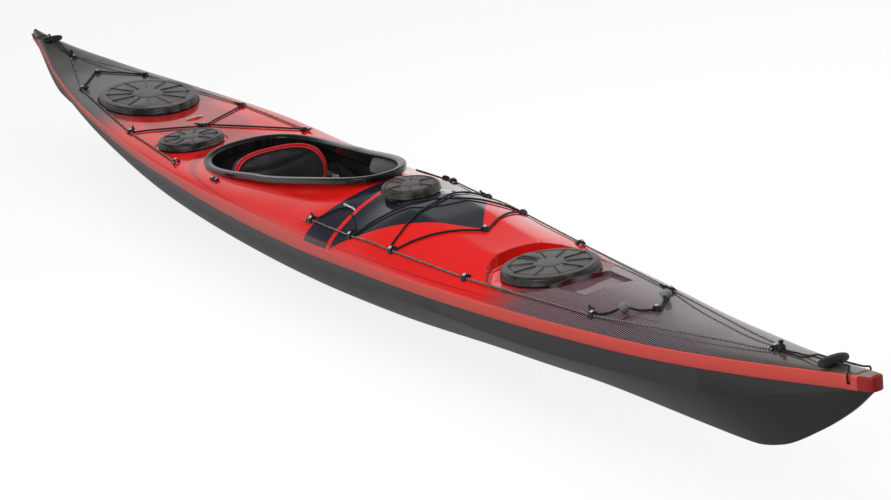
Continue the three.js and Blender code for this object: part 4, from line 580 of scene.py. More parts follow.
class Sketch:
    """Adds nodes to a tree in short calls."""

    def __init__(self, tree: Tree) -> None:
        """Keeps the tree that the nodes go into."""
        self.tree = tree

    def node(self, kind: str, inputs: dict[str | int, object] | None = None, **settings: object) -> Node:
        """Adds one node.

        Args:
            kind: The node's type name.
            inputs: Values or sockets by the name or number of the input.
            settings: Properties of the node.

        Returns:
            The node.
        """
        made = self.tree.nodes.new(kind)
        for key, value in settings.items():
            setattr(made, key, value)
        for key, value in (inputs or {}).items():
            self.feed(made.inputs[key], value)
        return made

    def feed(self, socket: Socket, value: object) -> None:
        """Gives an input a value or a link."""
        if isinstance(value, Socket):
            self.tree.links.new(value, socket)
        else:
            socket.default_value = value

    def give(self, outside: Node, *values: object) -> Tree:
        """Feeds a group's outputs and ends the group."""
        for socket, value in zip(outside.inputs, values):
            self.feed(socket, value)
        return self.tree

    def math(self, way: str, *values: object) -> Socket:
        """The result of a Math node."""
        return self.node("ShaderNodeMath", dict(enumerate(values)), operation=way).outputs[0]

    def plus(self, first: object, second: object) -> Socket:
        """The sum of two values."""
        return self.math("ADD", first, second)

    def minus(self, first: object, second: object) -> Socket:
        """The first value less the second."""
        return self.math("SUBTRACT", first, second)

    def times(self, first: object, second: object) -> Socket:
        """The product of two values."""
        return self.math("MULTIPLY", first, second)

    def most(self, first: object, second: object) -> Socket:
        """The greater of two values."""
        return self.math("MAXIMUM", first, second)

    def rest(self, share: object) -> Socket:
        """What a share leaves of 1."""
        return self.minus(1.0, share)

    def axes(self, vector: object) -> tuple[Socket, ...]:
        """The three parts of a vector."""
        return tuple(self.node("ShaderNodeSeparateXYZ", {0: vector}).outputs)

    def ramp(self, value: object, low: float, high: float) -> Socket:
        """0 below the low value, 1 above the high one and a smooth step between."""
        made = self.node("ShaderNodeMapRange", {0: value, 1: low, 2: high}, interpolation_type="SMOOTHSTEP")
        return made.outputs[0]

    def span(self, value: object, low: float, high: float) -> Socket:
        """A value of 0 to 1 turned into a range."""
        return self.node("ShaderNodeMapRange", {0: value, 3: low, 4: high}).outputs[0]

    def mix(self, share: object, first: object, second: object) -> Socket:
        """A mix of two colours."""
        return self.node("ShaderNodeMix", {0: share, 6: first, 7: second}, data_type="RGBA").outputs[2]

    def choose(self, share: object, first: object, second: object) -> Socket:
        """A mix of two values."""
        return self.node("ShaderNodeMix", {0: share, 2: first, 3: second}, data_type="FLOAT").outputs[0]

    def crown(self, count: object) -> Socket:
        """The rounded height of a yarn across its width, where yarns are counted by a value."""
        return self.math("SINE", self.times(self.math("FRACT", count), math.pi))

    def weave(self, first: object, second: object) -> Socket:
        """The height of a plain weave whose two sets of yarns are counted by two values."""
        whole = self.plus(self.math("FLOOR", first), self.math("FLOOR", second))
        over = self.math("LESS_THAN", self.math("FLOORED_MODULO", whole, 2.0), 0.5)
        return self.choose(over, self.crown(first), self.crown(second))

    def noise(self, vector: object, scale: float, detail: float = 2.0) -> Socket:
        """Noise of a scale, from 0 to 1."""
        made = self.node("ShaderNodeTexNoise", {"Vector": vector, "Scale": scale, "Detail": detail})
        return made.outputs[0]


def group_tree(name: str, kind: str, inputs: dict[str, object],
               outputs: dict[str, str]) -> tuple[Sketch, Node, Node]:
    """A new node group with named sockets.

    Args:
        name: Name of the group.
        kind: Type of the tree, Geometry or Shader.
        inputs: First value of each input by its name, or the type of its socket where it has none.
        outputs: Type of each output by its name.

    Returns:
        The sketch, the group's input node and its output node.
    """
    tree = bpy.data.node_groups.new(name, kind + "NodeTree")
    for label, first in inputs.items():
        socket = {float: "Float", int: "Int"}.get(type(first), first)
        made = tree.interface.new_socket(label, in_out="INPUT", socket_type=f"NodeSocket{socket}")
        if socket is not first:
            made.default_value = first
    for label, socket in outputs.items():
        tree.interface.new_socket(label, in_out="OUTPUT", socket_type="NodeSocket" + socket)
    sketch = Sketch(tree)
    return sketch, sketch.node("NodeGroupInput"), sketch.node("NodeGroupOutput")


def run_tree(piece: Piece, tree: Tree, **values: object) -> Piece:
    """Runs a node tree on a piece and keeps the plain mesh that it makes.

    Args:
        piece: The piece that the tree starts from.
        tree: A geometry tree.
        values: Values of its inputs, by name.

    Returns:
        The same piece with its new mesh.
    """
    step = add_step(piece, "NODES", node_group=tree)
    for item in tree.interface.items_tree:
        if item.item_type == "SOCKET" and item.in_out == "INPUT" and item.name in values:
            step[item.identifier] = values[item.name]
    return settle(piece)


class Jigs:
    """The geometry trees that make what repeats or follows a path."""

    @cached_property
    def cord(self) -> Tree:
        """A round cord along a path, with its length and its turn stored for the braid."""
        k, inside, outside = group_tree("cord_on_path", "Geometry", {
            "Path": "Geometry", "Radius": 0.0025, "Sides": 14, "Finish": "Material",
        }, {"Cord": "Geometry"})
        values = inside.outputs
        line = k.node("GeometryNodeMeshToCurve", {"Mesh": values["Path"]}).outputs[0]
        length = k.node("GeometryNodeSplineParameter").outputs["Length"]
        ring = k.node("GeometryNodeCurvePrimitiveCircle", {
            "Resolution": values["Sides"], "Radius": values["Radius"],
        }, mode="RADIUS").outputs[0]
        place = k.node("GeometryNodeInputPosition").outputs[0]
        unit = k.node("ShaderNodeVectorMath", {0: place}, operation="NORMALIZE").outputs[0]
        body = k.node("GeometryNodeCurveToMesh", {
            "Curve": self.stored(k, line, "along", length, "FLOAT"),
            "Profile Curve": self.stored(k, ring, "around", unit, "FLOAT_VECTOR"), "Fill Caps": True,
        })
        return self.close(k, body.outputs[0], values["Finish"], outside)

    @cached_property
    def spread(self) -> Tree:
        """A shape repeated at points, square to the direction stored there."""
        k, inside, outside = group_tree("shape_at_points", "Geometry", {
            "Places": "Geometry", "Shape": "Object", "Size": 1.0, "Finish": "Material",
        }, {"Shapes": "Geometry"})
        values = inside.outputs
        square = k.node("GeometryNodeInputNamedAttribute", {"Name": "square"}, data_type="FLOAT_VECTOR")
        turn = k.node("FunctionNodeAlignRotationToVector", {"Vector": square.outputs[0]}, axis="Z").outputs[0]
        spin = k.node("FunctionNodeRandomValue", {"Seed": 7}, data_type="FLOAT").outputs[1]
        angle = k.node("ShaderNodeCombineXYZ", {"Z": k.times(spin, math.tau)}).outputs[0]
        both = k.node("FunctionNodeRotateRotation", {
            "Rotation": turn, "Rotate By": angle,
        }, rotation_space="LOCAL").outputs[0]
        shape = self.shape_of(k, values["Shape"])
        shapes = self.repeated(k, values["Places"], shape, both, values["Size"])
        return self.close(k, shapes, values["Finish"], outside, smooth_faces=False)

    @cached_property
    def spokes(self) -> Tree:
        """A rib repeated round the Z axis."""
        k, inside, outside = group_tree("ribs_round_axis", "Geometry", {
            "Rib": "Geometry", "Count": 10, "Turn": 0.0, "Finish": "Material",
        }, {"Ribs": "Geometry"})
        values = inside.outputs
        points = k.node("GeometryNodePoints", {"Count": values["Count"]}).outputs[0]
        index = k.node("GeometryNodeInputIndex").outputs[0]
        angle = k.math("MULTIPLY_ADD", index, k.math("DIVIDE", math.tau, values["Count"]), values["Turn"])
        turn = k.node("ShaderNodeCombineXYZ", {"Z": angle}).outputs[0]
        return self.close(k, self.repeated(k, points, values["Rib"], turn), values["Finish"], outside)

    @cached_property
    def stitches(self) -> Tree:
        """A stitch repeated along a path."""
        k, inside, outside = group_tree("stitches_on_path", "Geometry", {
            "Path": "Geometry", "Stitch": "Object", "Spacing": 0.006, "Finish": "Material",
        }, {"Seam": "Geometry"})
        values = inside.outputs
        line = k.node("GeometryNodeMeshToCurve", {"Mesh": values["Path"]}).outputs[0]
        even = k.node("GeometryNodeResampleCurve", {
            "Curve": line, "Length": values["Spacing"],
        }, mode="LENGTH").outputs[0]
        tangent = k.node("GeometryNodeInputTangent").outputs[0]
        turn = k.node("FunctionNodeAlignRotationToVector", {"Vector": tangent}, axis="X").outputs[0]
        stitches = self.repeated(k, even, self.shape_of(k, values["Stitch"]), turn)
        return self.close(k, stitches, values["Finish"], outside)

    @staticmethod
    def stored(k: Sketch, shape: Socket, name: str, value: Socket, kind: str) -> Socket:
        """Geometry with a value stored at its points."""
        return k.node("GeometryNodeStoreNamedAttribute", {"Geometry": shape, "Name": name, "Value": value},
                      data_type=kind, domain="POINT").outputs[0]

    @staticmethod
    def shape_of(k: Sketch, piece: Socket) -> Socket:
        """The geometry of another piece."""
        return k.node("GeometryNodeObjectInfo", {"Object": piece}).outputs["Geometry"]

    @staticmethod
    def repeated(k: Sketch, points: Socket, shape: Socket, turn: Socket,
                 size: object = (1.0, 1.0, 1.0)) -> Socket:
        """A shape at every point, turned and scaled."""
        return k.node("GeometryNodeInstanceOnPoints", {
            "Points": points, "Instance": shape, "Rotation": turn, "Scale": size,
        }).outputs[0]

    @staticmethod
    def close(k: Sketch, made: Socket, finish: Socket, outside: Node, smooth_faces: bool = True) -> Tree:
        """Ends a tree with real geometry in its finish."""
        real = k.node("GeometryNodeRealizeInstances", {"Geometry": made}).outputs[0]
        if smooth_faces:
            real = k.node("GeometryNodeSetShadeSmooth", {"Geometry": real}).outputs[0]
        dressed = k.node("GeometryNodeSetMaterial", {"Geometry": real, "Material": finish})
        return k.give(outside, dressed.outputs[0])


JIGS = Jigs()


def path_piece(name: str, points: Sequence[Vector], looped: bool = False) -> Piece:
    """A piece that is only a line, for a tree to start from."""
    mesh = bpy.data.meshes.new(name)
    edges = [(i, i + 1) for i in range(len(points) - 1)]
    if looped:
        edges.append((len(points) - 1, 0))
    mesh.from_pydata([tuple(p) for p in points], edges, [])
    return placed(name, mesh)


def cord_piece(name: str, points: Sequence[Vector], radius: float, finish: Material,
               sides: int = 12, looped: bool = False) -> Piece:
    """A cord, tube or bead along points."""
    line = path_piece(name, points, looped)
    return run_tree(line, JIGS.cord, Radius=radius, Sides=sides, Finish=finish)


def spread_piece(name: str, shape: Piece, places: Sequence[tuple[Vector, Vector]],
                 finish: Material, size: float = 1.0) -> Piece:
    """One mesh of a shape repeated at places.

    Args:
        name: Name of the piece.
        shape: The shape, built round the origin with its foot on the XY plane.
        places: Each place and the direction that its shape points to.
        finish: Material of all of them.
        size: Scale of the shape.

    Returns:
        The piece.
    """
    mesh = bpy.data.meshes.new(name)
    mesh.from_pydata([tuple(place) for place, _ in places], [], [])
    square = mesh.attributes.new("square", "FLOAT_VECTOR", "POINT")
    square.data.foreach_set("vector", [c for _, way in places for c in way])
    return run_tree(placed(name, mesh), JIGS.spread, Shape=shape, Size=size, Finish=finish)


# Finishes


class Surface:
    """A material under work: its shader, its sketch and the piece's own coordinates."""

    def __init__(self, name: str, **even: float) -> None:
        """Starts a material.

        Args:
            name: Name of the material.
            even: Values that are the same all over, by the shader's socket with _ for spaces.
        """
        self.material = bpy.data.materials.new(name)
        self.material.use_nodes = True
        self.material.node_tree.nodes.clear()
        self.sketch = Sketch(self.material.node_tree)
        self.shader = self.sketch.node("ShaderNodeBsdfPrincipled")
        self.outlet = self.sketch.node("ShaderNodeOutputMaterial", {"Surface": self.shader.outputs[0]})
        self.place = self.sketch.node("ShaderNodeTexCoord").outputs["Object"]
        for label, value in even.items():
            self.shader.inputs[label.replace("_", " ")].default_value = value

    def paint(self, colour: object) -> None:
        """Sets the base colour."""
        self.sketch.feed(self.shader.inputs["Base Color"], colour)

    def rough(self, value: object, low: float, high: float) -> None:
        """Sets the roughness from a value of 0 to 1 and the range that it spans."""
        self.sketch.feed(self.shader.inputs["Roughness"], self.sketch.span(value, low, high))

    def bump(self, height: object, depth: float) -> None:
        """Turns a height of 0 to 1 into relief of a depth in metres."""
        node = self.sketch.node("ShaderNodeBump", {"Height": height, "Distance": depth, "Strength": 1.0})
        self.sketch.feed(self.shader.inputs["Normal"], node.outputs[0])

    def attribute(self, name: str, output: str = "Fac") -> Socket:
        """Reads an attribute of the mesh."""
        return self.sketch.node("ShaderNodeAttribute", attribute_name=name).outputs[output]

    def axes(self, vector: Socket | None = None) -> tuple[Socket, ...]:
        """The three parts of a vector, or of the piece's own coordinates."""
        return self.sketch.axes(self.place if vector is None else vector)

    def stretched(self, scale: tuple[float, float, float]) -> Socket:
        """The piece's own coordinates, scaled by axis."""
        return self.sketch.node("ShaderNodeMapping", {"Vector": self.place, "Scale": scale}).outputs[0]

    def group(self, tree: Tree, **inputs: object) -> tuple[Socket, ...]:
        """The outputs of a shader group that is laid on the piece's own coordinates."""
        made = self.sketch.node("ShaderNodeGroup", {"Place": self.place, **inputs}, node_tree=tree)
        return tuple(made.outputs)


def colour(red: float, green: float, blue: float) -> Colour:
    """A colour from screen values of 0 to 255."""
    parts = [((c / 255 + 0.055) / 1.055) ** 2.4 if c > 10.3 else c / 3294.6 for c in (red, green, blue)]
    return (*parts, 1.0)


class Shared:
    """Shader groups that several finishes use."""

    @cached_property
    def wear(self) -> Tree:
        """Handling marks: broad smears and short fine scratches, from 0 to 1."""
        k, inside, outside = group_tree(
            "handling_marks", "Shader", {"Place": "Vector"}, {"Smears": "Float", "Scratches": "Float"},
        )
        place = inside.outputs[0]
        broad, fine = k.noise(place, 7.0, 5.0), k.noise(place, 90.0, 3.0)
        drawn = k.node("ShaderNodeMapping", {"Vector": place, "Scale": (6.0, 320.0, 320.0),
                                             "Rotation": (0.0, 0.0, 0.35)}).outputs[0]
        lines = k.ramp(k.noise(drawn, 1.0), 0.67, 0.8)
        smears = k.math("MULTIPLY_ADD", fine, 0.3, k.times(broad, 0.7))
        return k.give(outside, smears, k.times(lines, k.ramp(broad, 0.5, 0.66)))

    @cached_property
    def grain(self) -> Tree:
        """Fine moulded grain: its height and a slow drift of tone."""
        k, inside, outside = group_tree(
            "moulded_grain", "Shader", {"Place": "Vector", "Scale": 900.0},
            {"Height": "Float", "Drift": "Float"},
        )
        place, scale = inside.outputs[0], inside.outputs[1]
        cells = k.node("ShaderNodeTexVoronoi", {"Vector": place, "Scale": scale}).outputs[0]
        height = k.plus(k.times(cells, 0.6), k.noise(place, scale, 3.0))
        return k.give(outside, height, k.noise(place, 24.0, 4.0))

    @cached_property
    def twill(self) -> Tree:
        """Two by two twill cloth laid on the bias, so that its ridges run athwart."""
        k, inside, outside = group_tree(
            "twill_cloth", "Shader", {"Place": "Vector", "Tow": 0.002}, {"Warp": "Float", "Crown": "Float"},
        )
        x, y, _ = k.axes(inside.outputs[0])
        scale = k.math("DIVIDE", math.sqrt(0.5), inside.outputs[1])
        first, second = k.times(k.plus(x, y), scale), k.times(k.minus(x, y), scale)
        whole = k.plus(k.math("FLOOR", first), k.math("FLOOR", second))
        warp = k.math("LESS_THAN", k.math("FLOORED_MODULO", whole, 4.0), 1.5)
        return k.give(outside, warp, k.crown(k.choose(warp, first, second)))


SHARED = Shared()


@dataclass(frozen=True)
class DeckGelcoat:
    """Gloss red that fades to clear-coated cloth at the bow and to grey at the stern."""

    red: Colour = colour(212, 28, 25)
    wine: Colour = colour(84, 16, 22)
    warp: Colour = colour(116, 103, 108)
    weft: Colour = colour(7, 6, 7)
    tip: Colour = colour(112, 102, 92)
    grey: Colour = colour(77, 73, 73)
    navy: Colour = colour(30, 31, 42)
    line: Colour = colour(150, 26, 22)
    scratch: Colour = colour(235, 190, 185)
    tow: float = 0.0028
    cloth_fade: Span = (1.17, 1.42)
    first_threads: Span = (1.15, 1.4)
    wine_fade: Span = (1.3, 1.9)
    tip_fade: Span = (2.0, 2.45)
    grey_fade: Span = (1.19, 1.6)
    dull_fade: Span = (1.1, 1.7)
    line_end: Span = (-1.7, -1.5)
    panel_start: float = 0.385
    panel_end: Span = (-1.5, 0.94)
    stripe_sweep: Span = (0.28, 0.455)
    stripe_width: float = 0.018
    crispness: float = 0.002

    def build(self) -> Material:
        """Makes the material."""
        s = Surface("deck_gelcoat", Coat_Weight=0.9, Coat_Roughness=0.03, Specular_IOR_Level=0.1)
        k = s.sketch
        x, y, _ = s.axes()
        rise = s.attribute("rise")
        smears, scratches = s.group(SHARED.wear)
        warp, crown = s.group(SHARED.twill, Tow=self.tow)
        wander = k.span(k.noise(s.place, 3.0, 3.0), -0.06, 0.06)
        ahead = k.plus(x, wander)
        woven = k.ramp(ahead, *self.cloth_fade)
        threads = k.mix(k.times(crown, 0.06), k.mix(warp, self.weft, self.warp), self.warp)
        tipped = k.mix(k.times(k.ramp(x, *self.tip_fade), warp), threads, self.tip)
        wined = k.mix(k.ramp(ahead, *self.wine_fade), self.wine, tipped)
        cloth = k.mix(k.times(warp, k.ramp(x, *self.first_threads)), wined, tipped)
        paint = self.panel(k, x, k.math("ABSOLUTE", y), k.mix(woven, self.red, cloth))
        place = k.minus(x, k.times(k.rest(k.ramp(rise, 0.004, 0.05)), 0.16))
        astern = k.minus(wander, place)
        paint = k.mix(k.ramp(astern, *self.grey_fade), paint, self.grey)
        band = k.times(k.ramp(rise, 0.0105, 0.0115), k.rest(k.ramp(rise, 0.013, 0.014)))
        red_part = k.times(k.rest(woven), k.ramp(place, *self.line_end))
        paint = k.mix(k.times(k.times(band, red_part), 0.75), paint, self.line)
        s.paint(k.mix(k.times(scratches, 0.08), paint, self.scratch))
        s.rough(smears, 0.13, 0.24)
        dulled = k.most(k.times(woven, 0.2), k.ramp(astern, *self.dull_fade))
        k.feed(s.shader.inputs["Coat Weight"], k.span(dulled, 0.85, 0.32))
        s.bump(k.plus(k.times(k.noise(s.place, 14.0), 0.8), k.times(woven, crown)), 0.00012)
        return s.material

    def panel(self, k: Sketch, x: Socket, side: Socket, paint: Socket) -> Socket:
        """A dark panel over each shoulder of the foredeck, crossed by one plain stripe."""
        edge, width = self.crispness, self.stripe_width
        start = k.ramp(k.minus(x, self.panel_start), -edge, edge)
        end = k.ramp(k.minus(k.math("MULTIPLY_ADD", side, *self.panel_end), x), -edge, edge)
        sweep = k.minus(k.math("MULTIPLY_ADD", side, *self.stripe_sweep), x)
        stripe = k.times(k.ramp(sweep, -edge, edge), k.rest(k.ramp(sweep, width - edge, width + edge)))
        return k.mix(k.times(k.times(start, end), k.rest(stripe)), paint, self.navy)


@dataclass(frozen=True)
class HullGelcoat:
    """Satin dark grey with faint handling marks."""

    tone: Colour = colour(38, 37, 39)
    pale: Colour = colour(48, 47, 49)
    scratch: Colour = colour(120, 118, 120)

    def build(self) -> Material:
        """Makes the material."""
        s = Surface("hull_gelcoat", Specular_IOR_Level=0.38)
        k = s.sketch
        smears, scratches = s.group(SHARED.wear)
        s.paint(k.mix(k.times(scratches, 0.12), k.mix(smears, self.tone, self.pale), self.scratch))
        s.rough(smears, 0.28, 0.4)
        s.bump(k.noise(s.place, 30.0, 3.0), 0.00015)
        return s.material


@dataclass(frozen=True)
class SeamTape:
    """Satin red tape with a darker block at the bow."""

    tone: Colour = colour(226, 82, 72)
    streak: Colour = colour(204, 66, 58)
    block: Colour = colour(158, 26, 26)
    scratch: Colour = colour(225, 150, 140)
    block_start: Span = (2.526, 2.53)

    def build(self) -> Material:
        """Makes the material."""
        s = Surface("seam_tape", Specular_IOR_Level=0.35)
        k = s.sketch
        smears, scratches = s.group(SHARED.wear)
        streaks = k.noise(s.stretched((3.0, 60.0, 160.0)), 1.0, 3.0)
        paint = k.mix(k.times(streaks, 0.35), self.tone, self.streak)
        paint = k.mix(k.ramp(s.axes()[0], *self.block_start), paint, self.block)
        s.paint(k.mix(k.times(scratches, 0.15), paint, self.scratch))
        s.rough(smears, 0.28, 0.42)
        s.bump(streaks, 0.0002)
        return s.material


@dataclass(frozen=True)
class GlossBlack:
    """Polished black laminate with cloth that shows faintly under its coat."""

    name: str = "coaming_gloss"
    weave: float = 0.5
    tone: Colour = colour(14, 14, 15)
    pale: Colour = colour(32, 32, 34)

    def build(self) -> Material:
        """Makes the material."""
        s = Surface(self.name, Coat_Weight=0.5, Coat_Roughness=0.06, Specular_IOR_Level=0.15)
        k = s.sketch
        warp, crown = s.group(SHARED.twill, Tow=0.0024)
        smears, _ = s.group(SHARED.wear)
        s.paint(k.mix(k.times(warp, self.weave), self.tone, self.pale))
        s.rough(smears, 0.2, 0.34)
        s.bump(k.plus(crown, k.noise(s.place, 40.0)), 0.00005)
        return s.material


@dataclass(frozen=True)
class Moulded:
    """Moulded plastic or rubber with a fine grain, and a painted highlight that pales faces pointing up where
    a piece stores how far it faces up.
    """

    name: str
    tone: Colour
    pale: Colour
    roughness: Span = (0.42, 0.56)
    grain: float = 900.0
    depth: float = 0.00012
    specular: float = 0.4

    def build(self) -> Material:
        """Makes the material."""
        s = Surface(self.name, Specular_IOR_Level=self.specular)
        k = s.sketch
        height, drift = s.group(SHARED.grain, Scale=self.grain)
        smears, _ = s.group(SHARED.wear)
        rubbed = k.times(smears, k.ramp(drift, 0.35, 0.7))
        # Painted highlight: where the piece stores that it faces up, its top is paled as if lit from
        # overhead.
        painted_top_highlight = k.times(k.ramp(s.attribute("upward"), 0.75, 0.99), k.span(drift, 0.55, 0.95))
        s.paint(k.mix(k.most(rubbed, painted_top_highlight), self.tone, self.pale))
        s.rough(drift, *self.roughness)
        s.bump(height, self.depth)
        return s.material


@dataclass(frozen=True)
class Metal:
    """Steel or aluminium with fine drawn lines."""

    name: str
    tone: Colour
    roughness: Span
    streak: Colour = colour(150, 151, 153)
    drawn: tuple[float, float, float] = (30.0, 1800.0, 1800.0)
    metallic: float = 0.6

    def build(self) -> Material:
        """Makes the material."""
        s = Surface(self.name, Metallic=self.metallic)
        k = s.sketch
        lines = k.noise(s.stretched(self.drawn), 1.0)
        smears, _ = s.group(SHARED.wear)
        s.paint(k.mix(k.times(lines, 0.2), self.tone, self.streak))
        s.rough(k.times(smears, lines), *self.roughness)
        s.bump(lines, 0.00002)
        return s.material


@dataclass(frozen=True)
class Braid:
    """Braided cord, with pale tracers or plain, and a highlight painted on the crowns of its strands."""

    name: str
    tone: Colour
    fleck: Colour
    flecks: float
    pitch: float = 0.011
    strands: int = 8
    # Lighter colour painted on the strands' crowns as a highlight.
    raised: Colour = colour(36, 36, 38)
    tracer_pitch: float = 0.0078
    tracer_share: float = 0.22

    def build(self) -> Material:
        """Makes the material."""
        s = Surface(self.name, Sheen_Weight=0.06, Sheen_Roughness=0.5, Specular_IOR_Level=0.3)
        k = s.sketch
        along = k.math("DIVIDE", s.attribute("along"), self.pitch)
        over, up, _ = s.axes(s.attribute("around", "Vector"))
        turn = k.math("DIVIDE", k.math("ARCTAN2", up, over), math.tau)
        left, right = (k.times(way, self.strands / 2) for way in (k.plus(along, turn), k.minus(along, turn)))
        height = k.weave(left, right)
        wound = k.math("MULTIPLY_ADD", along, self.pitch / self.tracer_pitch, turn)
        tracer = k.times(k.math("LESS_THAN", k.math("FRACT", wound), self.tracer_share), self.flecks)
        # Painted highlight and shade: strand crowns take the lighter crown colour, and the hollows between
        # strands keep the darker tone.
        s.paint(k.mix(tracer, k.mix(k.times(height, 0.6), self.tone, self.raised), self.fleck))
        s.rough(height, 0.85, 0.6)
        s.bump(height, 0.0004)
        return s.material


@dataclass(frozen=True)
class Cloth:
    """Woven fabric of crossing yarns, on the piece's own coordinates."""

    name: str
    tone: Colour
    pale: Colour
    yarn: float = 0.0011
    depth: float = 0.00025

    def build(self) -> Material:
        """Makes the material."""
        s = Surface(self.name, Sheen_Weight=0.3, Sheen_Roughness=0.45, Specular_IOR_Level=0.25)
        k = s.sketch
        _, y, z = s.axes()
        height = k.weave(k.math("DIVIDE", y, self.yarn), k.math("DIVIDE", z, self.yarn))
        fuzz = k.noise(s.place, 260.0, 4.0)
        worn = k.ramp(k.noise(s.place, 9.0, 3.0), 0.42, 0.72)
        s.paint(k.mix(k.times(k.plus(height, worn), 0.4), self.tone, self.pale))
        s.rough(fuzz, 0.78, 0.95)
        s.bump(k.plus(height, fuzz), self.depth)
        return s.material


@dataclass(frozen=True)
class RawLaminate:
    """Bare cloth and resin, as the insides of the shells show it."""

    tone: Colour = colour(44, 42, 41)
    pale: Colour = colour(70, 67, 64)

    def build(self) -> Material:
        """Makes the material."""
        s = Surface("raw_laminate", Coat_Weight=0.15, Coat_Roughness=0.35)
        k = s.sketch
        warp, crown = s.group(SHARED.twill, Tow=0.0032)
        resin = k.noise(s.place, 34.0, 5.0)
        s.paint(k.mix(k.ramp(resin, 0.45, 0.75), k.mix(warp, self.tone, self.pale), self.tone))
        s.rough(resin, 0.38, 0.62)
        s.bump(k.plus(crown, k.times(resin, 0.8)), 0.0003)
        return s.material


class Finishes:
    """The boat's finishes, each made when it is first needed."""

    recipes: dict[str, object] = {
        "deck": DeckGelcoat(),
        "hull": HullGelcoat(),
        "tape": SeamTape(),
        "coaming": GlossBlack(),
        "gloss": GlossBlack("gloss_black_laminate", 0.2),
        "black": Moulded("moulded_black", colour(24, 24, 26), colour(44, 44, 46)),
        # The rubber's pale colour serves both rubbed marks and the painted highlight on the covers' tops.
        "rubber": Moulded("hatch_rubber", colour(18, 17, 17), colour(86, 84, 80), (0.3, 0.42), 620.0, 0.00004,
                          0.35),
        "float": Moulded("float_grey", colour(104, 108, 114), colour(140, 143, 148), (0.35, 0.5), 500.0),
        "steel": Metal("polished_steel", colour(232, 233, 235), (0.22, 0.4)),
        "anodised": Metal("anodised_aluminium", colour(166, 168, 171), (0.28, 0.42)),
        "line": Braid("line_braid", colour(17, 17, 18), colour(214, 211, 200), 0.95),
        "bungee": Braid("bungee_braid", colour(18, 18, 20), colour(60, 60, 62), 0.2, 0.009, 12),
        "fabric": Cloth("padded_fabric", colour(26, 26, 28), colour(56, 56, 59)),
        "webbing": Cloth("strap_webbing", colour(20, 20, 21), colour(46, 46, 48), 0.0016, 0.0004),
        # The piping's last colour is the highlight painted on its strand crowns.
        "piping": Braid("red_piping", colour(190, 24, 32), colour(214, 60, 62), 0.4, 0.008, 10,
                        colour(206, 44, 50)),
        "laminate": RawLaminate(),
    }

    def __init__(self) -> None:
        """Starts with no material made."""
        self.made: dict[str, Material] = {}

    def __getitem__(self, key: str) -> Material:
        """The material of a finish."""
        if key not in self.made:
            self.made[key] = self.recipes[key].build()
        return self.made[key]


FINISHES = Finishes()


def dress(piece: Piece, *keys: str) -> Piece:
    """Gives a piece its materials, in the order of its slots."""
    piece.data.materials.clear()
    for key in keys:
        piece.data.materials.append(FINISHES[key])
    return piece


def report(piece: Piece, body: Body, slot: str, *nodes: str) -> Piece:
    """Lets a finished piece ride on its body and stand for CAD nodes.

    Args:
        piece: The finished piece.
        body: The body that it moves with.
        slot: The record's material slot, which is not used.
        nodes: CAD nodes that it stands for.

    Returns:
        The same piece.
    """
    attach(piece, body.value)
    if nodes:
        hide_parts(*nodes)
    LOG.info("%s: %d faces on %s", piece.name, len(piece.data.polygons), body.value)
    return piece


def welded_copy(frame: dict, node: str, name: str, flatten: bool = False) -> Piece:
    """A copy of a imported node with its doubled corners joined.

    Args:
        node: Name of the node.
        name: Name of the copy.
        flatten: Whether faces that lie in one plane are joined too.

    Returns:
        The copy.
    """
    tool = bmesh.new()
    tool.from_mesh(frame["nodes"][node].data)
    bmesh.ops.remove_doubles(tool, verts=tool.verts, dist=1e-5)
    if flatten:
        bmesh.ops.dissolve_limit(tool, angle_limit=math.radians(1.5), verts=tool.verts, edges=tool.edges)
    mesh = bpy.data.meshes.new(name)
    tool.to_mesh(mesh)
    tool.free()
    return placed(name, mesh)


# Shells


def fine_steps(count: int, plateau: float) -> Grid:
    """Shares of the half beam for the columns of the deck, closer together at its edge."""
    inner = max(plateau, 0.12)
    flat = np.linspace(0, inner, count // 4 + 1)
    curve = inner + (1 - inner) * np.sin(np.linspace(0, QUARTER, count - count // 4 + 1))
    return np.concatenate([flat, curve[1:]])


def values_of(items: bpy.types.bpy_prop_collection, name: str, kind: type, width: int = 1) -> Grid:
    """A property of all of a mesh's parts, as one row for each part where it has a width."""
    made = np.empty(len(items) * width, kind)
    items.foreach_get(name, made)
    return made.reshape(-1, width) if width > 1 else made


def end_round(x: float, reach: float, radius: float) -> float:
    """How far a section draws in where an end is rounded."""
    past = max(0.0, abs(x) - (reach - radius))
    return radius - math.sqrt(max(radius**2 - past**2, 0.0))


@dataclass
class Pocket:
    """A recess in the deck: its space and, where it is deep, the cup under it."""

    space: Piece
    cup: Piece | None = None


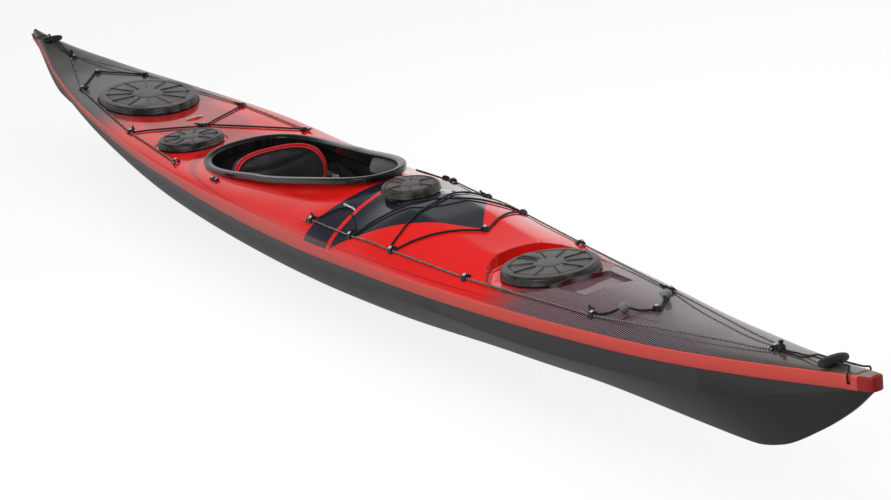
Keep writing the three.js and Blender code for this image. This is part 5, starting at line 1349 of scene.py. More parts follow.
@dataclass
class Shells:
    """The hull and deck shells and the tape over their joint."""

    sections: int = 300
    columns: int = 28
    cavity_sections: int = 110
    closing_share: float = 0.955
    end_radius: float = 0.009
    hole_share: float = 0.978
    hole_radius: float = 0.0034
    tape_wall: float = 0.003
    block_wall: float = 0.007
    block_bend: float = 0.006
    tape_share: float = 0.998
    block_shares: Pairs = ((-1, 0), (0.9705, 0), (0.9735, 0.85), (1, 1))
    tape_section: Pairs = (
        (0, 0), (0, 1), (0.45, 1), (0.8, 0.97), (1, 0.9), (1, 0.5), (1, 0.1), (0.8, 0.03), (0.45, 0),
    )
    hatches: Sequence[Hatch] = ()
    pockets: Sequence[Pocket] = ()

    def places(self, count: int, reach: float) -> Grid:
        """Places along the boat, with extra ones where the ends are rounded."""
        body = FORM.stations(count, reach)
        if reach < 1:
            return body
        turn = self.end_radius / FORM.half_length
        extra = 1 - turn * (1 - np.sin(np.linspace(0, QUARTER, 9)))
        return np.unique(np.concatenate([-extra, body[np.abs(body) < 1 - turn], extra]))

    def deck_ring(self, u: float, inset: float, low: float) -> Grid:
        """A section of the deck from its lower starboard edge over the top to the port one."""
        shares = fine_steps(self.columns, float(FORM.curves["plateau"](u)))
        drawn = 0.0 if inset else end_round(u * FORM.half_length, FORM.half_length, self.end_radius)
        beam = float(FORM.beam(u)) - inset - min(drawn, 0.75 * self.end_radius)
        height = FORM.deck_rise(u, shares) - inset - drawn * (1 - shares)
        half = np.column_stack([beam * shares, height])
        rows = np.vstack([[-beam, low], (half * (-1, 1))[:0:-1], half, [beam, low]])
        return np.column_stack([np.full(len(rows), u * FORM.half_length), rows])

    def hull_ring(self, u: float, inset: float, top: float) -> Grid:
        """A section of the hull from its upper starboard edge under the keel to the port one."""
        drawn = 0.0 if inset else end_round(u * FORM.half_length, FORM.half_length, self.end_radius)
        drawn = min(drawn, 0.75 * self.end_radius)
        half = FORM.hull_half(u, inset + drawn, 22)
        if not inset:
            half[:, 1] = np.minimum(half[:, 1], top)
        rows = np.vstack([half, [float(FORM.beam(u)) - inset - drawn, top]])
        rows = np.vstack([(rows * (-1, 1))[::-1], rows])
        return np.column_stack([np.full(len(rows), u * FORM.half_length), rows])

    def tip_hole(self) -> Piece:
        """The round hole athwart the bow that the handle's cord runs in."""
        x = self.hole_share * FORM.half_length
        middle = Matrix.Translation((x, 0, float(FORM.joint(self.hole_share))))
        athwart = middle @ Matrix.Rotation(QUARTER, 4, "X")
        return cylinder("tip_hole", self.hole_radius, -FORM.half_beam, FORM.half_beam, 24, athwart)

    def build_deck(self) -> Piece:
        """The deck with its cockpit hole, hatch seats and pockets."""
        rings = [self.deck_ring(u, 0, float(FORM.joint(u)) + GAP / 2) for u in self.places(self.sections, 1)]
        deck = dress(loft("deck_shell", np.array(rings)), "deck", "laminate", "deck")
        hollow = FORM.stations(self.cavity_sections, self.closing_share)
        inner = [self.deck_ring(u, FORM.wall, float(FORM.joint(u)) - OVERRUN) for u in hollow]
        self.cut(deck, loft("deck_hollow", np.array(inner)), 1)
        outer = loft("deck_outer", np.array(rings))
        for hatch in self.hatches:
            cup = hatch.recess_cup()
            carve(cup, outer, Carve.KEEP, keep_tool=True)
            self.mark(cup, 1)
            carve(deck, cup, Carve.JOIN)
            self.cut(deck, hatch.recess_space(), 2)
            self.cut(deck, hatch.neck_space(), 1)
        for pocket in self.pockets:
            if pocket.cup:
                carve(pocket.cup, outer, Carve.KEEP, keep_tool=True)
                self.mark(pocket.cup, 1)
                carve(deck, pocket.cup, Carve.JOIN)
            self.cut(deck, pocket.space, 2)
        discard(outer)
        self.cut(deck, COAMING.opening(), 1)
        self.cut(deck, self.tip_hole(), 1)
        self.finish_deck(deck)
        return report(deck, Body.KAYAK, "deck_gelcoat", "deck")

    @staticmethod
    def mark(tool: Piece, slot: int) -> None:
        """Gives all faces of a tool one material slot."""
        dress(tool, "deck", "laminate", "deck")
        tool.data.polygons.foreach_set("material_index", [slot] * len(tool.data.polygons))

    def cut(self, shell: Piece, tool: Piece, slot: int) -> None:
        """Cuts a shell and gives the new faces a slot."""
        self.mark(tool, slot)
        carve(shell, tool, Carve.CUT)

    def finish_deck(self, deck: Piece) -> None:
        """Stores the rise above the deck's edge and the true normals of its outer face."""
        mesh = deck.data
        smooth(deck, 40)
        points = values_of(mesh.vertices, "co", float, 3)
        share = np.clip(points[:, 0] / FORM.half_length, -1, 1)
        rise = mesh.attributes.new("rise", "FLOAT", "POINT")
        rise.data.foreach_set("value", points[:, 2] - FORM.edge(share))
        step = 0.0008
        x, y = points[:, 0], points[:, 1]
        slope_x = (FORM.deck_at(x + step, y) - FORM.deck_at(x - step, y)) / (2 * step)
        slope_y = (FORM.deck_at(x, y + step) - FORM.deck_at(x, y - step)) / (2 * step)
        true = np.column_stack([-slope_x, -slope_y, np.ones(len(x))])
        true /= np.linalg.norm(true, axis=1)[:, None]
        on_skin = np.abs(points[:, 2] - FORM.deck_at(x, y)) < 5e-5
        on_skin &= (np.abs(x) < FORM.half_length - 0.012) & (np.abs(y) < FORM.beam(share) * 0.985)
        corner = values_of(mesh.loops, "vertex_index", int)
        flat = values_of(mesh.polygons, "normal", float, 3)
        face = np.repeat(flat, values_of(mesh.polygons, "loop_total", int), axis=0)
        agree = (face * true[corner]).sum(1) > 0.93
        kept = np.where((on_skin[corner] & agree)[:, None], true[corner], 0)
        mesh.normals_split_custom_set(kept.tolist())

    def build_hull(self, slots: Sequence[Piece]) -> Piece:
        """The hull with its slot for the skeg.

        Args:
            slots: Tools that cut the shell.

        Returns:
            The piece.
        """
        rings = [self.hull_ring(u, 0, float(FORM.joint(u)) - GAP / 2) for u in self.places(self.sections, 1)]
        hull = dress(loft("hull_shell", np.array(rings)), "hull", "laminate")
        hollow = FORM.stations(self.cavity_sections, self.closing_share)
        inner = [self.hull_ring(u, FORM.wall, float(FORM.joint(u)) + OVERRUN) for u in hollow]
        for tool in (loft("hull_hollow", np.array(inner)), *slots, self.tip_hole()):
            self.cut(hull, tool, 1)
        smooth(hull, 24)
        return report(hull, Body.KAYAK, "hull_laminate", "hull")

    def build_tape(self) -> Piece:
        """The tape that laps the joint, and the block that it ends in round the bow."""
        wall = ShareCurve(self.block_shares)
        body = self.places(self.sections, 1)
        bend = self.block_bend
        body = body[(np.abs(body) <= self.tape_share) & (body < 1 - bend / FORM.half_length)]
        port = np.column_stack([body * FORM.half_length, FORM.beam(body)])
        turn = np.linspace(0, QUARTER, 7)
        corner = (FORM.half_length - bend, float(FORM.beam(1.0)) - bend)
        rounding = np.column_stack([corner[0] + bend * np.sin(turn), corner[1] + bend * np.cos(turn)])
        port = np.vstack([port, rounding])
        starboard = port[::-1] * (1, -1)
        stern, half = -FORM.half_length, float(FORM.beam(-1.0))
        outline = np.vstack([port, starboard, [[stern, -half], [stern, half]]])
        shares = np.clip(outline[:, 0] / FORM.half_length, -1, 1)
        inner = offset_outline(outline, GAP)
        unit = offset_outline(outline, GAP + 0.001) - inner
        thick = (self.tape_wall + (self.block_wall - self.tape_wall) * wall(shares)) * 1000
        low, high = FORM.sheer(shares), FORM.edge(shares)
        rise = high - low
        rings = np.stack([
            np.column_stack([inner + unit * (thick * out)[:, None], low + rise * up])
            for out, up in self.tape_section
        ], axis=1)
        tape = dress(loft("seam_tape", rings, looped=True), "tape")
        carve(tape, dress(self.tip_hole(), "tape"), Carve.CUT)
        smooth(tape, 28)
        return report(tape, Body.KAYAK, "seam_tape", "seam_band")


def offset_outline(outline: Grid, distance: float) -> Grid:
    """Moves a closed outline, whichever way it runs, outwards with mitred corners.

    Args:
        outline: Rows of X and Y.
        distance: How far out, or in where it is negative.

    Returns:
        The moved rows.
    """
    ahead = np.roll(outline, -1, axis=0) - outline
    ahead /= np.linalg.norm(ahead, axis=1)[:, None]
    after = outline[:, 0] * np.roll(outline[:, 1], -1) - outline[:, 1] * np.roll(outline[:, 0], -1)
    turn = 1 if after.sum() > 0 else -1
    normal = np.column_stack([ahead[:, 1], -ahead[:, 0]]) * turn
    before = np.roll(normal, 1, axis=0)
    reach = distance / (1 + (normal * before).sum(1))
    return outline + reach[:, None] * (normal + before)


@dataclass
class Coaming:
    """The cockpit rim: a rounded lip on a riser."""

    length: float = 1.010
    width: float = 0.382
    centre: float = -0.115
    mean_height: float = 0.320
    pitch: float = 0.052
    dip: float = 0.010
    roll: float = 0.009
    squareness: float = 2.318
    taper: float = 0.292
    waist: float = 0.326
    lip_width: float = 0.022
    lip_round: float = 0.0052
    riser_wall: float = 0.004
    tuck: float = 0.008
    collar_reach: float = 0.020
    collar_drop: float = 0.0195
    collar_sweep: float = 2.8
    steps: int = 240

    def outline(self, inset: float) -> tuple[Grid, Grid]:
        """The rim's outline, moved inwards, and its heights."""
        angle = np.linspace(0, 2 * math.pi, self.steps, endpoint=False)
        c, s = np.cos(angle), np.sin(angle)
        power = 2 / self.squareness
        x = self.centre + self.length / 2 * np.sign(c) * np.abs(c) ** power
        y = self.width / 2 * np.sign(s) * np.abs(s) ** power * (1 - self.taper * c + self.waist * c * c)
        z = self.mean_height + self.pitch * c + self.dip * np.cos(2 * angle) - self.roll * np.cos(3 * angle)
        return offset_outline(np.column_stack([x, y]), -inset), z

    def opening(self) -> Piece:
        """The prism that cuts the deck for the cockpit."""
        flat, _ = self.outline(self.lip_width - GAP)
        heights = (0, FORM.deck_height + OVERRUN)
        rings = np.array([np.column_stack([flat, np.full(len(flat), z)]) for z in heights])
        return loft("cockpit_opening", rings)

    def foot(self) -> Grid:
        """Heights of the foot of the riser."""
        flat, _ = self.outline(self.lip_width)
        return FORM.deck_at(flat[:, 0], flat[:, 1]) - FORM.wall - self.tuck

    def build(self) -> Piece:
        """The lip and riser in one piece."""
        lip, bend = self.lip_width, self.lip_round
        wall = lip + self.riser_wall
        profile: list[tuple[float, float | None, float]] = []
        for degrees in range(-20, 100, 20):
            a = math.radians(degrees)
            profile.append((bend - bend * math.cos(a), -bend + bend * math.sin(a), 0))
        profile += [
            (0.010, 0.0002, 0), (0.016, 0.0001, 0), (0.0205, -0.0008, 0), (0.0238, -0.0028, 0),
            (wall, -0.007, 0), (wall, -0.014, 0), (wall, None, 0.35), (wall, None, 0.7), (wall, None, 1),
            (lip, None, 1), (lip, None, 0.5), (lip, -0.012, 0), (lip - 0.0012, -0.0085, 0),
            (lip - 0.0034, -0.0066, 0), (0.009, -0.0062, 0), (0.0052, -0.0080, 0), (0.0044, -0.0170, 0),
            (0.0028, -0.0178, 0), (0.0012, -0.0172, 0), (0.0006, -0.0155, 0), (0.0007, -0.0100, 0),
        ]
        foot = self.foot()
        courses = []
        for inset, drop, share in profile:
            flat, z = self.outline(inset)
            height = z + drop if drop is not None else (z - 0.014) * (1 - share) + foot * share
            courses.append(np.column_stack([flat, height]))
        rings = np.stack(courses, axis=1)
        rim = dress(loft("cockpit_rim", rings, looped=True), "coaming")
        smooth(rim, 50)
        return report(rim, Body.KAYAK, "coaming_gloss", "coaming")

    def build_collar(self) -> Piece:
        """The deck's own fillet, which sweeps up to the rim's underside."""
        near, far = self.lip_width - 2 * GAP, -self.collar_reach
        courses = []
        for share in np.linspace(0, 1, 12):
            inset = near + (far - near) * share
            flat, z = self.outline(inset)
            deck = FORM.deck_at(flat[:, 0], flat[:, 1])
            top = np.maximum(z - self.collar_drop, deck)
            height = deck + (top - deck) * (1 - share) ** self.collar_sweep + GAP / 4
            courses.append(np.column_stack([flat, height]))
        for inset in (far, near):
            flat, _ = self.outline(inset)
            courses.append(np.column_stack([flat, FORM.deck_at(flat[:, 0], flat[:, 1]) - 2 * GAP]))
        collar = dress(loft("deck_collar", np.stack(courses, axis=1), looped=True), "deck")
        return report(smooth(collar, 50), Body.KAYAK, "deck_gelcoat")


COAMING = Coaming()


# Hatches


@dataclass
class Hatch:
    """A hatch: its seat in the deck, its bonded rim and its rubber cover."""

    word: str
    x: float
    y: float
    radius: float
    seat_share: float
    pitch: float
    ribs: int
    tab: float
    height: float = 0.028
    across: float = 1.0
    ledge: float = 0.009
    groove_share: float = 0.8
    disc_share: float = 0.29
    neck_inset: float = 0.017
    neck_wall: float = 0.004
    rib_sink: float = 0.0016
    rib_rise: float = 0.0048
    tab_rise: float = 0.0052
    tab_droop: float = 0.0105
    steps: int = 160

    @cached_property
    def frame(self) -> Matrix:
        """Where the hatch sits."""
        place = Matrix.Translation((self.x, self.y, self.seat_share * FORM.deck_height))
        turn = Matrix.Rotation(-self.pitch, 4, "Y")
        return place @ turn @ Matrix.Diagonal((1, self.across, 1, 1))

    def recess_cup(self) -> Piece:
        """The solid cup under the seat."""
        r = self.radius + self.ledge + FORM.wall
        return cylinder("cup", r, -FORM.wall, OVERRUN, self.steps, self.frame)

    def recess_space(self) -> Piece:
        """The space over the seat, with a rounded corner at its floor and a flared wall."""
        r, bend = self.radius + self.ledge, 0.007
        turns = np.linspace(0, QUARTER, 7)
        corner = [(r - bend + bend * math.sin(a), bend - bend * math.cos(a)) for a in turns]
        profile = [(0, 0), *corner, (r + 0.0015, 0.03), (r + 0.004, OVERRUN), (0, OVERRUN)]
        return lathe("seat_space", profile, self.steps, self.frame)

    def neck_space(self) -> Piece:
        """The hole for the rim's neck."""
        r = self.radius - self.neck_inset + self.neck_wall + GAP
        return cylinder("neck_space", r, -OVERRUN, OVERRUN, self.steps, self.frame)

    def build_rim(self) -> Piece:
        """The bonded rim with its rolled lip."""
        inner = self.radius - self.neck_inset
        outer = inner + self.neck_wall
        flange, lip = self.radius - 0.003, outer + 0.006
        profile = [
            (inner, -0.010), (outer, -0.010), (outer, 0.0003), (flange - 0.001, 0.0003), (flange, 0.0010),
            (flange - 0.002, 0.0022), (outer + 0.0015, 0.0036), (outer, 0.0055), (outer, 0.0105),
            (lip - 0.0012, 0.0118), (lip, 0.0130), (lip, 0.0148), (lip - 0.001, 0.0158),
            (inner + 0.001, 0.016), (inner, 0.0152),
        ]
        rim = dress(lathe(self.word + "_hatch_ring", profile, self.steps, self.frame), "black")
        smooth(rim, 40)
        return report(rim, Body.KAYAK, "moulded_black", self.word + "_hatch_rim")

    def cover_profile(self) -> Pairs:
        """Radii and heights of the cover's skin, from the middle out and back underneath."""
        r, h = self.radius, self.height
        groove, disc = r * self.groove_share, r * self.disc_share
        return [
            (0, h + 0.0016), (disc * 0.5, h + 0.0015), (disc - 0.006, h + 0.0013), (disc - 0.003, h + 0.0010),
            (disc - 0.001, h + 0.0002), (disc + 0.001, h - 0.0004), (disc + 0.005, h - 0.0003),
            (groove - 0.006, h), (groove - 0.0025, h - 0.0003), (groove - 0.0012, h - 0.0017),
            (groove + 0.0012, h - 0.0017), (groove + 0.0025, h - 0.0003), (groove + 0.005, h + 0.0002),
            (r - 0.012, h - 0.0002), (r - 0.0075, h - 0.001), (r - 0.004, h - 0.0029),
            (r - 0.0018, h - 0.0062), (r - 0.0008, h - 0.0102), (r - 0.0006, 0.0095), (r + 0.0002, 0.0082),
            (r + 0.0013, 0.0072), (r + 0.0015, 0.0056), (r + 0.0008, 0.0043), (r - 0.0012, 0.0039),
            (r - 0.0027, 0.0043), (r - 0.0027, 0.0163), (0, 0.0163),
        ]

    def build_rib(self) -> Piece:
        """One rib with tapered ends."""
        start, end = self.radius * self.disc_share + 0.003, self.radius * (self.groove_share + 0.06)
        half = 0.0012 + 0.006 * self.radius
        rows = []
        for share, size in ((0, 0.25), (0.03, 0.8), (0.08, 1), (0.92, 1), (0.97, 0.8), (1, 0.25)):
            x, foot = start + (end - start) * share, self.height - self.rib_sink
            wide, tall = half * size, self.rib_rise * size
            turns = [math.radians(degrees) for degrees in range(0, 181, 30)]
            rows.append([[x, wide * math.cos(a), foot + tall * math.sin(a)] for a in turns])
        return loft(self.word + "_rib", np.array(rows))

    def build_tab(self) -> Piece:
        """The wedge that a finger lifts the cover by."""
        r, h = self.radius, self.height
        rows = []
        inner = r * self.disc_share * 1.25
        for share in np.linspace(0, 1, 13):
            reach = inner + (r + 0.0015 - inner) * share
            half = r * (0.03 + 0.17 * share)
            swell = math.sin(math.pi * min(share * 1.06, 1)) ** 0.5
            top = h - 0.0012 + self.tab_rise * swell
            droop = self.tab_droop * max(0.0, (share - 0.86) / 0.14) ** 2
            ring = [[reach * math.cos(w * half / reach), reach * math.sin(w * half / reach),
                     top - droop - 0.0022 * abs(w) ** 4] for w in np.linspace(-1, 1, 11)]
            ring += [[p[0], p[1], h - 0.006 - droop] for p in ring[::-1]]
            rows.append(ring)
        return loft(self.word + "_tab", np.array(rows))

    def build_cover(self) -> Piece:
        """The rubber cover with its ribs, groove, disc and tab."""
        skin = dress(lathe(self.word + "_skin", self.cover_profile(), self.steps), "rubber")
        rib = run_tree(self.build_rib(), JIGS.spokes, Count=self.ribs, Turn=self.tab + math.pi / self.ribs,
                       Finish=FINISHES["rubber"])
        tab = dress(self.build_tab(), "rubber")
        tab.data.transform(Matrix.Rotation(self.tab, 4, "Z"))
        cover = join(self.word + "_cover", [skin, rib, tab])
        cover.data.transform(self.frame)
        smooth(cover, 42)
        # The cover's finish turns how far it faces up into a painted highlight on its top.
        store_upward(cover)
        return report(cover, Body(self.word + "_hatch_cover"), "hatch_rubber", self.word + "_hatch_cover")


HATCHES = (
    Hatch("bow", 1.278438, 0, 0.131, 0.769, 0.043, 10, math.pi, ledge=0.034),
    Hatch("rear", -1.416786, 0, 0.255, 0.737, 0, 12, -math.pi / 4, across=320 / 510),
    Hatch("day", -0.791, -0.109, 0.109, 0.695, 0.012, 9, -math.pi / 5),
    Hatch("pod", 0.546, 0, 0.085, 0.936, -0.03, 6, math.pi, height=0.025),
)


# Deck fittings and cords


@dataclass(frozen=True)
class Place:
    """A fitting's place on the deck and the heading of the cord through it."""

    x: float
    y: float
    heading: float

    @property
    def frame(self) -> Matrix:
        """The fitting's frame on the deck."""
        return FORM.deck_frame(self.x, self.y, self.heading)

    def at(self, along: float, across: float, lift: float) -> Vector:
        """A point along the cord, across it and above the deck."""
        return self.frame @ Vector((along, across, lift))


@dataclass
class Fittings:
    """The moulded eyes that carry the cords, each with its screw."""

    inset: float = 0.046
    tunnel_width: float = 0.016
    tunnel_height: float = 0.009
    wall: float = 0.0036
    length: float = 0.015
    side_shares: dict[str, float] = field(default_factory=lambda: {
        "S1": 0.143, "S2": 0.229, "S3": 0.313, "S4": 0.447, "S5": 0.644,
        "A1": -0.248, "A2": -0.419, "A3": -0.681,
    })
    middle_shares: dict[str, float] = field(default_factory=lambda: {
        "bow": 0.866, "C5": 0.686, "C3": 0.372, "C2": -0.362, "C4": -0.744, "stern": -0.836,
    })

    @cached_property
    def places(self) -> dict[str, Place]:
        """All fittings by name."""
        made = {}
        for name, share in self.side_shares.items():
            x = share * FORM.half_length
            y = float(FORM.beam(share)) - self.inset
            heading = FORM.edge_heading(x)
            made["port_" + name] = Place(x, y, heading)
            made["starboard_" + name] = Place(x, -y, -heading)
        for name, share in self.middle_shares.items():
            made[name] = Place(share * FORM.half_length, 0, QUARTER)
        return made

    def eye(self) -> Piece:
        """One eye: a bridge with rounded edges that spreads into two feet."""
        half, rise = self.tunnel_width / 2, self.tunnel_height
        rings = []
        for degrees in range(-18, 199, 12):
            a = math.radians(degrees)
            spread = max(0.0, 1 - max(0.0, math.sin(a)) * 2.2)
            thick = self.wall * (1 + 0.9 * spread)
            long = self.length / 2 * (1 + 0.35 * spread + 0.12 * max(0.0, math.sin(a)) ** 6)
            inner = Vector((0, half * math.cos(a), rise * math.sin(a)))
            way = Vector((0, math.cos(a), math.sin(a)))
            if degrees < 0 or degrees > 180:
                inner = Vector((0, math.copysign(half, math.cos(a)), -0.0025))
                way = Vector((0, math.copysign(1.0, math.cos(a)), 0))
            ring = []
            for share, out in ((-1, 0.25), (-1, 0.7), (-0.82, 1), (0.82, 1), (1, 0.7), (1, 0.25), (0.85, 0),
                               (-0.85, 0)):
                ring.append(list(inner + way * thick * out + Vector((long * share, 0, 0))))
            rings.append(ring)
        return smooth(loft("eye", np.array(rings)), 60)

    def screw(self) -> Piece:
        """A domed screw head with a hexagonal socket and its washer."""
        head = lathe("screw", (
            (0, -0.0006), (0.0052, -0.0006), (0.0054, 0.0001), (0.0044, 0.0004), (0.0042, 0.0008),
            (0.0034, 0.0021), (0.0024, 0.0026), (0, 0.0027),
        ), 18)
        carve(head, cylinder("socket", 0.0016, 0.0012, 0.004, 6), Carve.CUT)
        return smooth(head, 40)

    def build(self) -> list[Piece]:
        """All eyes in one piece and their screws in another."""
        shape = self.eye()
        eyes = []
        for name, place in self.places.items():
            mesh = shape.data.copy()
            mesh.transform(place.frame)
            eyes.append(dress(placed(name, mesh), "black"))
        discard(shape)
        eyes_piece = smooth(join("deck_eyes", eyes), 60)
        screw = self.screw()
        top = self.tunnel_height + self.wall
        up = Vector((0, 0, 1))
        spots = [(place.at(0, 0, top), place.frame.to_3x3() @ up) for place in self.places.values()]
        screws = spread_piece("deck_screws", screw, spots, FINISHES["steel"])
        discard(screw)
        return [report(eyes_piece, Body.KAYAK, "moulded_black"), report(screws, Body.KAYAK, "stainless")]


FITTINGS = Fittings()


@dataclass(frozen=True)
class Stop:
    """A fitting that a cord passes: the way it runs there, its place to the side and its rise before."""

    name: str
    way: int
    side: float = 0.0
    over: float = 0.0


@dataclass
class Cord:
    """A cord through fittings, with a knot and a cut tail at each end."""

    name: str
    node: str
    stops: Sequence[Stop]
    radius: float
    finish: str
    spacing: float
    tunnel_reach: float = 0.0105
    knot_reach: float = 0.0136
    knot_spread: float = 3.2

    @property
    def lift(self) -> float:
        """Height of the cord's middle above the deck."""
        return self.radius + CORD_GAP

    def stop_points(self, stop: Stop) -> list[Vector]:
        """Three points of the cord, through a fitting."""
        place = FITTINGS.places[stop.name]
        return [place.at(along * stop.way, stop.side, self.lift)
                for along in (-self.tunnel_reach, 0, self.tunnel_reach)]

    def across(self, start: Vector, end: Vector, over: float) -> list[Vector]:
        """Points of the taut cord between two fittings, without its ends."""
        count = 2 * math.ceil((end - start).length / (2 * self.spacing))
        points = []
        for i in range(1, count):
            t = i / count
            point = start.lerp(end, t)
            normal = FORM.deck_normal(point.x, point.y)
            low = float(FORM.deck_at(point.x, point.y)) + self.lift / normal.z
            hump = over * max(0.0, 1 - abs(t - 0.5) * 5)
            points.append(Vector((point.x, point.y, max(point.z, low) + hump)))
        return points

    def route(self) -> list[Vector]:
        """The cord's points from its first fitting to its last."""
        points: list[Vector] = []
        for stop in self.stops:
            here = self.stop_points(stop)
            if points:
                points += self.across(points[-1], here[0], stop.over)
            points += here
        return points

    def knot(self, stop: Stop, way: int) -> list[Vector]:
        """The points of a simple knot beyond a fitting, from the cord's side to its tail."""
        place = FITTINGS.places[stop.name]
        side = stop.side * self.knot_spread
        size = self.radius * 1.25
        middle = self.lift + self.radius * 0.9
        reach = self.knot_reach
        points = [place.at(way * (reach - 2.6 * size), side * 0.9, self.lift)]
        for i in range(1, 12):
            a = math.tau * i / 8
            ring = size * (1.0 if i % 2 else 1.55)
            points.append(place.at(way * (reach + ring * math.cos(a) * 0.9), side + ring * math.sin(a),
                                   middle + size * 0.75 * math.sin(1.5 * a)))
        lean = math.copysign(1.0, side or 1.0)
        points.append(place.at(way * (reach + 2.7 * size), side + lean * 1.2 * size, middle + 1.0 * size))
        points.append(place.at(way * (reach + 3.6 * size), side + lean * 2.0 * size, middle + 1.7 * size))
        return points

    def build(self, detour: Callable[[list[Vector]], list[Vector]] | None = None) -> Piece:
        """The cord and its knots in one piece.

        Args:
            detour: Changes the route's points, or none to leave them.

        Returns:
            The piece.
        """
        route = self.route()
        if detour:
            route = detour(route)
        first, last = self.stops[0], self.stops[-1]
        start, end = self.knot(first, -first.way), self.knot(last, last.way)
        points = smooth_path([*start[::-1], *route, *end], 0.0022 if self.spacing < 0.1 else 0.003)
        made = cord_piece(self.name, points, self.radius, FINISHES[self.finish], 10)
        return report(smooth(made, 60), Body.KAYAK, "deck_cord", self.node)


def cord_list() -> list[Cord]:
    """The cords of the deck."""
    hump = 0.0075

    def outer(name: str, way: int) -> Stop:
        return Stop(name, way, STRAND if name.startswith("port") else -STRAND)

    def inner(name: str, way: int, over: float = 0.0) -> Stop:
        return Stop(name, way, -STRAND if name.startswith("port") else STRAND, over)

    def perimeter(names: Sequence[str], tip: str, way: int) -> list[Stop]:
        stops = [outer("starboard_" + name, way) for name in names]
        return [*stops, Stop(tip, 1), *(outer("port_" + name, -way) for name in reversed(names))]

    lines = (
        ("fore_line", "foredeck_line", perimeter(("S1", "S2", "S3", "S4", "S5"), "bow", 1)),
        ("aft_line", "aft_deck_line", perimeter(("A1", "A2", "A3"), "stern", -1)),
    )
    bungees = (
        ("fore_bungee", "foredeck_bungee", [
            inner("port_S2", 1), inner("starboard_S3", 1), Stop("C3", 1), inner("port_S3", -1),
            inner("starboard_S2", -1, hump),
        ]),
        ("stern_cross_bungee", "stern_bungee", [
            inner("starboard_A3", -1), Stop("C4", 1), inner("port_A3", 1),
        ]),
        ("long_aft_bungee", "aft_bungee_long", [
            inner("starboard_A2", 1), Stop("C2", 1, -STRAND), inner("port_A1", 1),
        ]),
        ("short_aft_bungee", "aft_bungee_short", [inner("port_A2", 1), Stop("C2", -1, STRAND)]),
    )
    return [*(Cord(*row, *LINE) for row in lines), *(Cord(*row, *BUNGEE) for row in bungees)]


def nearest_leg(points: Sequence[Vector], spot: Vector) -> int:
    """Number of the leg of a route that passes nearest to a spot."""
    def apart(leg: int) -> float:
        return (points[leg] - spot).length + (points[leg + 1] - spot).length

    return min(range(len(points) - 1), key=apart)


@dataclass
class FloatBungee:
    """The bow bungee with its two round floats, which lets a paddle slip under it."""

    radius: float = 0.0135
    bore: float = 0.0034
    reach: float = 0.0105
    clearing: float = 0.03

    def cord(self) -> Cord:
        """The bungee's run."""
        return Cord("bow_cross_bungee", "bow_bungee", [
            Stop("starboard_S5", 1, STRAND), Stop("C5", 1), Stop("port_S5", -1, -STRAND),
        ], *BUNGEE)

    def centres(self) -> dict[Side, Vector]:
        """Middle of each float, by side."""
        made = {}
        for side in Side:
            inner = FITTINGS.places["C5"].at(self.reach * side.value, 0, 0)
            outer = FITTINGS.places[side.word + "_S5"].at(self.reach, -STRAND * side.value, 0)
            spot = inner.lerp(outer, 0.5)
            lift = FORM.deck_normal(spot.x, spot.y) * (self.radius + CORD_GAP)
            made[side] = FORM.on_deck(spot.x, spot.y) + lift
        return made

    def build(self) -> None:
        """The bungee through its floats, and the floats."""
        centres = self.centres()

        def through_floats(route: list[Vector]) -> list[Vector]:
            made = [p for p in route if min((c.xy - p.xy).length for c in centres.values()) > self.clearing]
            for side in (Side.STARBOARD, Side.PORT):
                made.insert(nearest_leg(made, centres[side]) + 1, centres[side])
            return made

        self.cord().build(through_floats)
        r, bore = self.radius, self.bore
        turns = [math.radians(degrees) for degrees in range(-72, 73, 6)]
        profile = [(bore, -r + 0.0006), (bore + 0.0008, -r + 0.0002),
                   *((r * math.cos(a), r * math.sin(a)) for a in turns),
                   (bore + 0.0008, r - 0.0002), (bore, r - 0.0006)]
        for side, centre in centres.items():
            way = (FITTINGS.places["C5"].at(0, 0, 0) - centre).normalized()
            ball = dress(lathe(side.word + "_float_ball", profile, 48, facing(centre, way)), "float")
            report(smooth(ball, 50), Body.KAYAK, "float_grey", side.word + "_deck_float")


